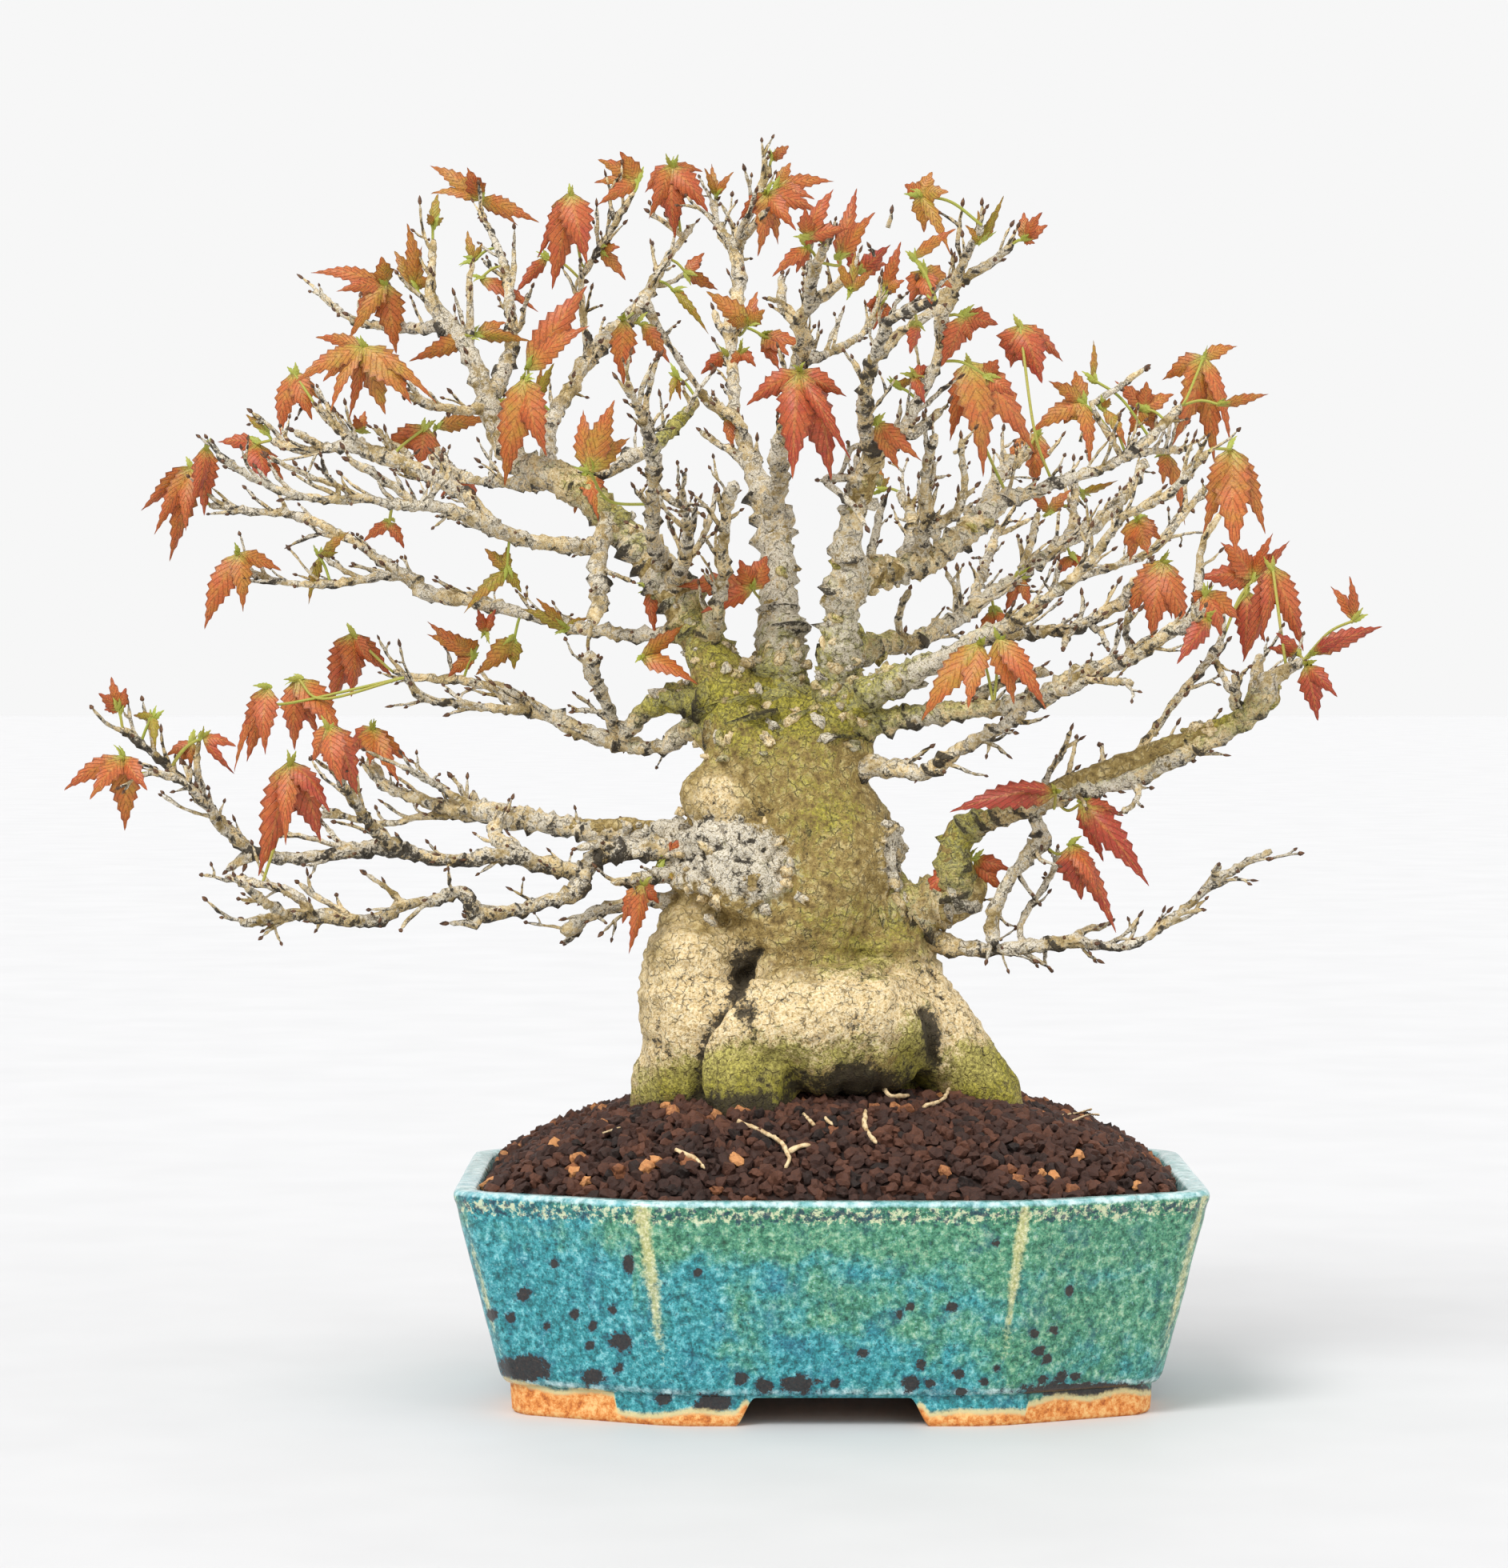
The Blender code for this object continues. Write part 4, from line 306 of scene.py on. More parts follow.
# Leaf shoots that stand for a CAD node: name -> (limb, depth beyond the limb, [(x, z) along the
# stalk], redness, [(x, z, width) of each lobe's tip])
LEAVES = {
    "leaf_low_left_tip": ("left_dark_twin", -6, [(-188, 168.7), (-193, 173)], 0.5, [
        (-209, 164, 4.5), (-202, 161.5, 5), (-192.5, 153, 6.5), (-186.3, 164, 4.5)]),
    "leaf_low_left_hanging": ("left_lowest_high", -10, [(-146, 166), (-147, 171.5)], 0.7, [
        (-156, 140.5, 8), (-148.5, 149, 5), (-139, 150, 8), (-136.5, 158, 5)]),
    "leaf_low_left_middle": ("left_dark_rise", -4, [(-136.5, 173.5), (-136.5, 181.5)], 0.7, [
        (-129, 163, 8), (-133, 165, 6), (-141, 172, 5)]),
    "leaf_low_left_dome": ("left_pale", -5, [(-125.5, 174.5), (-125, 181)], 0.5, [
        (-130.5, 174, 5), (-125.5, 171, 6), (-114, 171.5, 4), (-117.5, 166, 5)]),
    "leaf_second_left_far": ("left_second_low", -8, [(-150, 187.5), (-153.5, 192)], 0.5, [
        (-159, 172, 6.5), (-154, 174, 6), (-162.5, 169, 2.5)]),
    "leaf_second_left_mid": ("left_second_low", 4, [(-138, 189), (-145, 194.5)], 0.6, [
        (-146, 175, 7), (-133, 178, 7), (-139, 178, 4)]),
    "leaf_second_left_near": ("left_second", 5, [(-120.5, 197.5), (-130, 206.5)], 0.6, [
        (-136.5, 187.5, 8), (-130.5, 189.5, 7), (-119, 194.5, 4.5), (-124, 198, 4)]),
    "leaf_third_left_tip": ("left_third_low", -4, [(-162, 226.5), (-161, 228.5)], 0.45, [
        (-170.5, 208, 6.5), (-160, 213, 5), (-149.5, 224, 4)]),
    "leaf_third_left_far": ("left_third", 4, [(-170, 243), (-174, 252)], 0.45, [
        (-187.5, 240.5, 5), (-184, 234, 5), (-180, 226.5, 6.5), (-175.5, 235, 5)]),
    "leaf_third_left_upper": ("left_third", -4, [(-170.5, 244), (-170, 257.5)], 0.7, [
        (-170.5, 239, 6.5), (-174, 241, 4)]),
    "leaf_fourth_left": ("left_fifth", 3, [(-154.5, 259), (-156, 258.5)], 0.6, [
        (-166.5, 259, 4), (-154, 248, 8), (-148, 245.5, 2.5)]),
    "leaf_fifth_left": ("left_fifth_rise", 4, [(-141, 270.5), (-146, 278)], 0.4, [
        (-149.5, 260.5, 5.5), (-141, 265, 6), (-138.5, 270, 3)]),
    "leaf_fifth_left_low": ("left_fifth", 8, [(-118, 256.5), (-110, 263)], 0.5, [
        (-124.5, 253.5, 6), (-112, 252.5, 8)]),
    "leaf_top_left_spread": ("left_top_low", -7, [(-117.5, 273.5), (-127, 285)], 0.35, [
        (-121, 266.5, 8), (-114, 269.5, 8), (-140, 287.5, 3.5), (-146, 275, 5), (-138, 275.5, 5),
        (-136, 267, 3.5), (-131, 265, 3.5), (-107, 269.5, 3.5)]),
    "leaf_top_left_cluster": ("left_top_side", -8, [(-117, 292.5), (-121, 302)], 0.4, [
        (-141, 305, 4), (-122, 309.5, 5), (-129, 290.5, 6), (-134, 300, 4), (-118, 283, 7.5),
        (-131.5, 286, 4)]),
    "leaf_top_left_upright": ("left_trunk", 4, [(-110.5, 298.5), (-113, 301)], 0.3, [
        (-118.5, 311, 4), (-115, 318.5, 4), (-111, 312, 3), (-108.5, 304, 3)]),
    "leaf_top_left_shoot": ("left_trunk", 0, [(-108, 315.5), (-108, 318)], 0.1, [
        (-106.5, 326.5, 2.6), (-109.5, 321, 2.2), (-105, 320, 2)]),
    "leaf_top_left_crown": ("left_top_rise", 3, [(-95, 323.5), (-95, 325)], 0.35, [
        (-108.5, 334, 4.5), (-98.5, 333.5, 5), (-108.5, 326.5, 3), (-79, 318.7, 4.5), (-85, 318, 3)]),
    "leaf_crown_left_drooping": ("left_long_twin", -12, [(-67.5, 307.5), (-70.5, 326.5)], 0.65, [
        (-75.5, 300.5, 8), (-66, 307.5, 8), (-79.5, 309, 4)]),
    "leaf_crown_left_rising": ("left_trunk", -14, [(-83, 272), (-82, 279)], 0.6, [
        (-66, 301.5, 7.5), (-65.5, 290.5, 5.5)]),
    "leaf_crown_left_pair": ("left_trunk", -16, [(-82, 270), (-83, 276)], 0.45, [
        (-88.5, 247, 8.5), (-77, 255, 7)]),
    "leaf_crown_left_tip": ("left_long_twin", 2, [(-52.5, 328), (-52, 330)], 0.35, [
        (-63, 335.8, 4.5), (-57, 338, 4.5), (-64, 329.5, 3.5), (-63, 323.5, 4)]),
    "leaf_crown_umbrella": ("left_long_rise", -8, [(-40.5, 316), (-43, 334)], 0.55, [
        (-50, 327, 4.5), (-49, 320, 5.5), (-42, 314.5, 7.5), (-33, 321.5, 6.5), (-34.5, 332.5, 2.5)]),
    "leaf_crown_hanging": ("left_long_rise", -22, [(-53.5, 294), (-56, 292)], 0.45, [
        (-56, 274.5, 6.5)]),
    "leaf_inner_upright": ("inner_upright", -14, [(-60, 243), (-65.4, 251.2)], 0.3, [
        (-67, 267.5, 5.5), (-58.5, 270.5, 6), (-54.5, 260, 5)]),
    "leaf_crown_top": ("crown_left", 3, [(-16, 335.2), (-15.5, 335.8)], 0.4, [
        (-11, 339.5, 2.8), (-14, 338, 2)]),
    "leaf_crown_fan": ("crown_left", -14, [(-20, 324), (-17, 326.5)], 0.5, [
        (-24.5, 319.5, 4.5), (-19.5, 309.5, 5), (-14, 313, 4.5), (-9, 316.5, 4.5), (-3, 321.5, 5)]),
    "leaf_crown_wing": ("crown_left", 6, [(-16.5, 326.5), (-14, 328.5)], 0.35, [
        (1, 329.8, 4), (-4, 325, 3.5), (-10.5, 335, 3.5)]),
    "leaf_middle_red": ("crown_middle", -16, [(-8, 279), (-8, 278)], 0.85, [
        (-22.5, 269, 5.5), (-10, 249, 9), (0.5, 248.5, 9), (6, 254, 4), (4.5, 271.5, 5)]),
    "leaf_middle_spread": ("crown_left", -10, [(-24.5, 288), (-22, 291)], 0.35, [
        (-33.5, 300, 5), (-28, 292, 3.5), (-19.5, 300, 3), (-17.5, 295, 4)]),
    "leaf_middle_tips": ("crown_middle_high", -4, [(2.5, 307), (3, 309)], 0.5, [
        (7.5, 328, 3.8), (12.5, 321.5, 4), (3.5, 320, 3.5)]),
    "leaf_right_crown": ("crown_right", 4, [(27, 298.7), (25.5, 305.5)], 0.5, [
        (22, 297, 5.5), (28, 296.5, 5), (33.5, 301, 5)]),
    "leaf_right_orange_fan": ("right_first", -12, [(41, 262), (38, 280.5)], 0.4, [
        (33, 259.5, 6), (42, 249.5, 8.5), (56, 256, 9)]),
    "leaf_right_red_upper": ("right_first", 12, [(56, 262), (52, 290.5)], 0.75, [
        (49.5, 279.5, 9), (58, 275, 9), (63.5, 281, 5)]),
    "leaf_right_top": ("right_first", 10, [(97.5, 271), (102, 282)], 0.45, [
        (91, 276, 5.5), (93.5, 258, 7), (105, 253.5, 7.5), (109.5, 258, 4), (111, 285, 3.5)]),
    "leaf_right_mid": ("right_third", 8, [(104.5, 257.3), (109.5, 257)], 0.5, [
        (102, 234, 6), (111, 227.5, 8.5), (119, 234, 5.5)]),
    "leaf_right_mid_inner": ("right_third", 8, [(84, 240), (84, 238)], 0.35, [
        (82, 226.5, 5.5), (87, 228.5, 6), (90.5, 232.5, 4)]),
    "leaf_right_cluster": ("right_third_b", -10, [(86, 222.5), (91, 226.5)], 0.5, [
        (81.5, 211.5, 7), (88, 204.5, 8), (93.5, 211, 6), (98, 204, 6)]),
    "leaf_right_far_drooping": ("right_low", 12, [(124, 203), (121, 225)], 0.75, [
        (129.5, 202, 6.5), (120, 211, 5.5), (113, 199, 6), (118, 205, 4.5)]),
    "leaf_right_far_red": ("right_low", -3, [(131, 200.3), (132, 201.5)], 0.95, [
        (151, 208.7, 4.5), (142, 206, 3)]),
    "leaf_right_far_low": ("right_low", -7, [(130, 198), (130.5, 198)], 0.9, [
        (133.5, 183, 5.5), (138.8, 189.5, 4)]),
    "leaf_front_pair_left": ("right_fourth", -18, [(43.5, 195), (41, 204)], 0.4, [
        (25.3, 183, 7), (38, 186.5, 6)]),
    "leaf_front_pair_right": ("right_fourth", -20, [(46, 198), (46.5, 205.5)], 0.4, [
        (50.5, 187.5, 6.5), (59.3, 186, 5.5)]),
    "leaf_right_low_red": ("right_low", -9, [(61.5, 159), (62, 163.5)], 0.95, [
        (33, 158, 6.5), (46, 165, 3)]),
    "leaf_right_low_pair": ("right_low", -6, [(65, 158.5), (69, 160.5)], 0.9, [
        (75, 144.5, 5), (87.5, 137.8, 7), (80.5, 157, 4)]),
    "leaf_right_low_hanging": ("right_tie", -6, [(62.5, 146.5), (66.5, 149)], 0.75, [
        (69, 134, 8.5), (73.5, 135, 5), (78.5, 125, 5)]),
    "leaf_trunk_left": ("left_cut_stub", -16, [(-50, 138.5), (-51, 138)], 0.6, [
        (-56.5, 127.5, 4.5), (-54.7, 119.5, 4.5), (-46.5, 133, 3.5)]),
    "leaf_middle_level": ("middle_trunk", -14, [(-19, 216.5), (-21, 219)], 0.6, [
        (-41.5, 219.5, 6), (-35, 212.5, 5), (-17, 228, 6), (-24.5, 227, 5)]),
    "leaf_inner_left_pair": ("left_third", -12, [(-47, 199.5), (-51, 200.5)], 0.4, [
        (-40, 209, 4), (-36, 193, 4.5)]),
}

# Smaller shoots: (x, z) of the base, redness, [(x, z, width) of each tip]. Each grows from the
# nearest limb.
SMALL_LEAVES = [
    ((-194, 186), 0.6, [(-199.5, 190.5, 3), (-196, 195, 3), (-192, 192, 3), (-198, 186, 2)]),
    ((-184.5, 184), 0.0, [(-190, 184.5, 2), (-184, 175.5, 2.4)]),
    ((-174, 177), 0.45, [(-181, 173.5, 3), (-177.5, 171, 3), (-174.5, 170.5, 3)]),
    ((-171, 178.5), 0.7, [(-162, 176, 3), (-162.5, 168.5, 2.4)]),
    ((-45, 146), 0.5, [(-39, 151, 2.6), (-43, 150, 2.2)]),
    ((-46, 143), 0.0, [(-50, 140, 2), (-42, 139, 2)]),
    ((-8.5, 142), 0.15, [(-9, 160.5, 3.4), (-5.5, 154, 3)]),
    ((38, 144.5), 0.85, [(24, 133.5, 6), (27.5, 134.5, 5), (32, 136, 4)]),
    ((40, 145), 0.7, [(47, 136.5, 5), (49.8, 142, 4)]),
    ((104, 211), 0.85, [(95, 198.5, 5)]),
    ((116, 222), 0.6, [(100.5, 222, 6), (107, 231.5, 6), (118, 230, 5), (121, 234, 3), (125.5, 232, 3)]),
    ((103, 218), 0.5, [(107, 206, 6), (112, 210.5, 5), (99.5, 213.5, 5)]),
    ((114, 218), 0.85, [(113.3, 199.5, 5.5), (119, 204.5, 5)]),
    ((143.5, 210.5), 0.6, [(137, 219.5, 3), (142, 222.5, 2.4)]),
    ((128, 201), 0.8, [(122, 207, 3.4), (120, 203, 3)]),
    ((107, 269), 0.5, [(119.5, 272, 2.8)]),
    ((92, 256), 0.4, [(91, 247.5, 4), (97, 236.5, 3.4)]),
    ((86, 268), 0.4, [(78, 275.5, 4), (86.5, 275.5, 4), (94, 272, 4), (82, 261.5, 5), (88.5, 262, 4)]),
    ((69, 270), 0.35, [(60, 275.5, 4), (67, 278.5, 4), (55, 261.5, 5), (71, 252, 4), (64, 264, 6)]),
    ((72, 276), 0.2, [(72, 286.5, 1.8)]),
    ((75, 268), 0.3, [(81, 257.5, 3), (76.5, 271, 2.4)]),
    ((43, 277), 0.5, [(46, 281.5, 4), (47.5, 274.5, 5), (50.5, 271.5, 5)]),
    ((57, 261), 0.45, [(56, 246.5, 6), (48, 252, 6)]),
    ((37, 293), 0.6, [(46, 291, 5), (30.5, 279.5, 6), (38.5, 286.5, 5)]),
    ((24, 291), 0.8, [(22, 283, 3.4)]),
    ((25, 326), 0.3, [(20.5, 329, 4), (28, 332.5, 4), (32.5, 327, 4), (25.8, 316, 4.4), (33, 310, 3)]),
    ((41, 313), 0.2, [(40.5, 322, 2), (37, 318, 2)]),
    ((42, 314), 0.1, [(45.5, 322, 2), (47.5, 326, 1.8), (45, 318, 2)]),
    ((53, 314), 0.5, [(53, 321.5, 3), (58, 321.5, 3), (59.5, 318, 3), (56, 313, 2)]),
    ((15, 300), 0.5, [(19.5, 313.5, 3.4), (20.5, 303, 3.4)]),
    ((8, 305), 0.7, [(16.5, 312.5, 4), (15.5, 307.5, 4), (4, 312, 3)]),
    ((14, 297), 0.6, [(12, 289.5, 4.4), (16.5, 290.5, 3.4), (9.5, 296, 3)]),
    ((23, 309), 0.4, [(34.5, 317, 2.8)]),
    ((18, 274), 0.05, [(24.5, 276, 2.2)]),
    ((13, 264), 0.4, [(19, 251.5, 4.4), (25, 254, 4)]),
    ((23, 277), 0.8, [(26, 269.5, 3), (27.5, 279.5, 3)]),
    ((-31, 326), 0.2, [(-34, 333.5, 2), (-32, 334.5, 2), (-26, 332.5, 2)]),
    ((-6, 315), 0.6, [(1, 327.5, 4.4), (-3, 313.5, 4), (-6.5, 322.5, 4), (5, 317, 4)]),
    ((-6, 312), 0.6, [(-15.5, 304, 3.4), (-9, 305, 3)]),
    ((6, 300), 0.15, [(2, 309, 2.4), (7, 311, 2.4), (12, 306, 2.4)]),
    ((-18, 288), 0.5, [(-11, 282.5, 5), (-13.5, 278.5, 4), (-6.5, 285, 4)]),
    ((-28, 283), 0.6, [(-35, 277.5, 3.8)]),
    ((-24, 284), 0.6, [(-27, 278.5, 2.8), (-20, 279.5, 2.8)]),
    ((-42, 300), 0.1, [(-38, 297, 2), (-33, 288.5, 2.4)]),
    ((-39, 305), 0.5, [(-34, 310.5, 3.4), (-30.5, 300.5, 3.4)]),
    ((-51, 291), 0.4, [(-43.5, 280.5, 4.4)]),
    ((-42, 277), 0.2, [(-43.5, 270, 1.8), (-40.5, 270.5, 1.8)]),
    ((-66, 250), 0.35, [(-69.5, 239.5, 4), (-63, 237.5, 5), (-60, 240, 5)]),
    ((-28, 266), 0.6, [(-26, 256.5, 2.8)]),
    ((-77, 309), 0.6, [(-85.5, 299.5, 3.4)]),
    ((-62, 311), 0.45, [(-55.5, 303, 3.4), (-57, 312, 3)]),
    ((-97, 308), 0.1, [(-98.5, 316.5, 2.2), (-94.5, 313, 2)]),
    ((-95, 303.5), 0.5, [(-79.5, 294.5, 4)]),
    ((-99, 287), 0.5, [(-114.5, 281, 4.4)]),
    ((-96, 288), 0.3, [(-88, 291.5, 3.4), (-81.5, 286.5, 3.4)]),
    ((-128, 262), 0.4, [(-126.5, 267.5, 2.6), (-129.5, 266.5, 2.4)]),
    ((-107, 263), 0.3, [(-91.5, 265.5, 4.4)]),
    ((-80, 270), 0.0, [(-75, 280.5, 2.8), (-78.5, 279.5, 2.2)]),
    ((-154, 262), 0.05, [(-159, 266.5, 2)]),
    ((-139, 227.5), 0.0, [(-142, 215, 2.8), (-131, 234.5, 2.8), (-134, 229, 2)]),
    ((-97, 201), 0.4, [(-109.5, 210, 4), (-104, 195, 4), (-109.5, 206.5, 4), (-101, 206, 5)]),
    ((-94, 207), 0.85, [(-96, 213.5, 2.8), (-91, 213.5, 2.6)]),
    ((-86, 205), 0.1, [(-92, 200, 5), (-96.5, 195.5, 5), (-86, 197, 4)]),
    ((-88, 224), 0.1, [(-99.5, 212.5, 3.8), (-94, 230, 3.2), (-88, 230.5, 2.6), (-84, 218, 3)]),
    ((-49, 219), 0.5, [(-47.5, 206.5, 3.4)]),
    ((-72, 208), 0.0, [(-84, 213.5, 3.2), (-80, 216.5, 2.6), (-66, 211, 2.6)]),
    ((66, 228), 0.4, [(62, 222.5, 3.2), (69.5, 224, 3.2)]),
    ((69, 245), 0.2, [(78.5, 248.5, 2.2)]),
    ((52, 222), 0.5, [(48, 212.5, 3.4), (55, 213.5, 3)]),
    ((14, 246), 0.15, [(14, 252, 2.2), (16.5, 249.5, 2)]),
    ((45, 213), 0.55, [(41, 204, 3.4), (52, 205, 3)]),
    ((-120, 237), 0.5, [(-127, 232, 3), (-116, 230, 3)]),
    ((60, 240), 0.35, [(66, 246, 3), (54, 246, 3)]),
    ((-100, 250), 0.55, [(-96, 241, 3.4), (-106, 244, 3)]),
]
# Twigs that leave the limb nearest to their first point: [(x, z, radius), ...]
TWIGS = [
    [(-171, 163, 1), (-172.5, 168, 0.9), (-172.8, 173, 0.7), (-172, 178, 0.5)],
    [(-128, 148.3, 1.4), (-135, 149, 0.8), (-142, 151, 0.7), (-149, 151.8, 0.6), (-153, 152, 0.5)],
    [(-158, 146.5, 1.5), (-162, 144, 1.2), (-164.5, 142, 1)],
    [(-131, 148, 1.2), (-134.5, 150.5, 0.7), (-138, 154.5, 0.6)],
    [(-58, 147.8, 1.5), (-63, 149, 1.4), (-69, 148, 1)],
    [(-96, 129, 2), (-97, 127.4, 1.4), (-100, 127.8, 1), (-104, 127.6, 0.6)],
    [(-131, 129.5, 1), (-137, 133.2, 0.8), (-141, 135.5, 0.7), (-145, 138.6, 0.7)],
    [(-116.5, 132.5, 1), (-120, 136.5, 0.8), (-126.5, 141, 0.6)],
    [(-68, 127.5, 1.4), (-70, 124.5, 1), (-72, 122.3, 0.9)],
    [(-96, 159, 1.4), (-97, 163, 1)],
    [(-99, 159, 1.2), (-99, 161, 0.8), (-101, 165, 0.7), (-103, 167.5, 0.5)],
    [(-60.5, 185, 0.8), (-66, 186, 0.7), (-69.5, 185.5, 0.6)],
    [(-127, 243.6, 0.8), (-133, 246.5, 0.7), (-140, 249, 0.7), (-147, 252, 0.6), (-153, 255.5, 0.5)],
    [(-134, 246.5, 0.7), (-137, 250, 0.6), (-138.5, 255, 0.5)],
    [(-110, 242, 1), (-107, 247, 0.9), (-104, 250, 0.8), (-105, 256, 0.6)],
    [(-112, 241.5, 1.2), (-117, 245.5, 1), (-122, 249, 1), (-127, 252, 1), (-131, 254, 0.9)],
    [(-115, 253, 1.2), (-115, 256, 1), (-120, 259, 0.9), (-123, 262.5, 0.9)],
    [(-138, 257.5, 1), (-142, 260, 1), (-146, 262, 1)],
    [(-122, 223, 0.9), (-127, 222, 0.7), (-133, 224.5, 0.7), (-138, 227.5, 0.6)],
    [(-98, 284, 1.2), (-98, 287, 1.2), (-98, 295, 1), (-98, 303, 0.8), (-97, 308, 0.6)],
    [(-70, 249, 2), (-68, 251, 1.5), (-60, 251, 1.8), (-54, 255, 2.3), (-49, 257, 1.8)],
    [(-87, 300, 1), (-86, 305, 0.8), (-86, 312, 0.6)],
    [(-86, 289, 1), (-84, 291, 0.8), (-83, 296, 0.6), (-81, 301, 0.4)],
    [(-40, 315, 0.9), (-46, 319.5, 0.8), (-49, 321.5, 0.6)],
    [(-47.5, 302, 0.9), (-44, 302, 0.7), (-40, 304.5, 0.7), (-36, 307, 0.6)],
    [(-50, 296, 1.6), (-47.5, 291.5, 1.3), (-44, 286, 0.9), (-40, 280, 0.8), (-36.5, 275, 0.9),
     (-34, 271, 1.2), (-30, 267.5, 1.5), (-24, 264, 1.6)],
    [(-50, 264, 1.1), (-50, 268, 0.9), (-49, 274, 0.7), (-47, 282, 0.6)],
    [(-48, 246, 1.4), (-43, 243, 1), (-38, 240.5, 0.8), (-35, 239.5, 0.6)],
    [(-37, 229, 1), (-34, 234, 0.8), (-32, 240, 0.7), (-31, 246, 0.6)],
    [(-40, 230, 0.9), (-43, 235, 0.7), (-44, 238, 0.5)],
    [(-24.5, 313, 1.2), (-20.5, 318, 1.3), (-17, 322, 0.8)],
    [(-27, 288, 1.5), (-30, 291, 1), (-31.5, 295, 0.8)],
    [(-24, 312, 1), (-24.5, 316, 0.9), (-22, 321, 0.8), (-20, 327, 0.6)],
    [(-22, 258, 1.6), (-25, 265, 1.5), (-31, 269, 1.3)],
    [(-22, 252, 1.5), (-26, 256, 1.2), (-31, 259, 1), (-35, 262, 0.8)],
    [(-8, 291, 1.6), (-12.5, 295.5, 1.5), (-13, 301, 1.1), (-12.8, 304.5, 0.9)],
    [(-13, 297, 0.8), (-17, 298, 0.6)],
    [(9, 258, 0.9), (6, 257, 0.7), (4, 252, 0.6), (2, 249, 0.5)],
    [(5, 244, 1), (7, 251, 0.9), (8, 256, 0.7)],
    [(-1, 249, 1), (3, 245, 0.9), (7, 241, 0.8), (10, 236, 0.7)],
    [(14.5, 283, 1.5), (16, 285.5, 1.4), (20, 289, 1.3), (25.5, 292.8, 1.3), (31, 296, 1.5)],
    [(22, 261, 1.5), (25, 263, 1.5), (31, 268, 1)],
    [(4.5, 303.5, 1.2), (11, 308, 1), (14, 313, 0.9), (17, 319, 1), (21, 321, 0.7), (24, 324.5, 0.5)],
    [(22, 240, 1.4), (22, 243, 1.3), (27, 252, 1.2), (32, 255, 1), (36, 257, 0.8)],
    [(29, 234, 2), (29, 236, 1.8), (35, 240, 1.3), (37, 246, 1.1), (36.3, 254, 0.9), (36, 260, 0.8)],
    [(31, 238, 1.2), (37, 241, 1), (40.5, 240, 1)],
    [(15, 222, 2), (11.5, 228, 1.4), (13, 235, 1.2), (14.5, 243, 0.9)],
    [(54, 256, 1), (62, 256, 0.8), (70, 260, 0.8), (77, 265, 0.7), (82, 268, 0.6)],
    [(72, 268, 0.9), (73, 270, 0.9), (79, 274, 0.8), (86, 279, 0.8)],
    [(52, 222, 1.2), (55, 232, 1), (57, 240, 0.9)],
    [(46, 234, 0.9), (49, 235, 0.7), (55, 238, 0.6)],
    [(36, 211, 0.7), (35, 224, 0.6)],
    [(34, 210, 0.7), (34.5, 218, 0.7), (32, 224, 0.6)],
    [(20, 204, 1), (19, 211, 0.9), (22, 219, 0.8)],
    [(65, 207, 1), (64, 203, 0.8)],
    [(73, 208, 0.9), (74, 208, 0.8), (76, 203, 0.7)],
    [(81, 206, 1), (82, 213, 1)],
    [(40, 189, 1.6), (46, 193, 1.5), (54, 196, 1.5), (60, 196, 1.3)],
    [(105, 200.5, 1), (107.5, 195.5, 0.8), (110, 190.5, 1)],
    [(111, 187, 1.6), (111, 192, 1.3), (111.5, 195.5, 1.3)],
    [(57.5, 162, 1), (60.5, 169.5, 0.8), (63.5, 174, 0.8), (66, 180.5, 0.5)],
    [(65, 166, 0.8), (66.3, 172, 0.6), (67.5, 178, 0.5)],
    [(69, 167, 0.9), (73.5, 170, 0.8), (75, 173, 0.7), (74, 176, 0.5)],
    [(84, 167, 1.5), (84.5, 163, 0.8), (83, 160, 0.7), (80, 158, 0.7)],
    [(101, 213, 1.3), (101, 221, 1.1), (101, 228, 0.9), (103, 234, 0.9), (107, 240, 0.9)],
    [(52.5, 122, 1), (52.3, 127, 0.8), (55, 132, 0.8), (59, 138, 0.9), (62, 143.5, 0.7), (62.5, 148, 0.7)],
    [(67, 123.5, 1.2), (71, 126, 1), (76, 127.2, 0.8)],
    [(105, 139.5, 1.2), (106.5, 143.5, 0.8)],
    [(59, 121, 0.8), (59, 117, 0.4)],
]

# --- geometry helpers --------------------------------------------------------------------------
def on_tree(x, z, depth=0.0):
    """The point of the front elevation (x, z) at a depth, in the object's frame."""
    flat = Vector((x, 0.0, z))
    seen = EYE + (flat - EYE) * (depth - EYE.y) / -EYE.y
    return seen + POT_CENTRE


def elevation(point):
    """Where a point shows in the front elevation: (x, z)."""
    seen = Vector(point) - POT_CENTRE
    flat = EYE + (seen - EYE) * -EYE.y / (seen.y - EYE.y)
    return flat.x, flat.z


def smoothstep(low, high, value):
    """0 below low, 1 above high, and smooth between them."""
    share = min(max((value - low) / (high - low), 0.0), 1.0)
    return share * share * (3.0 - 2.0 * share)


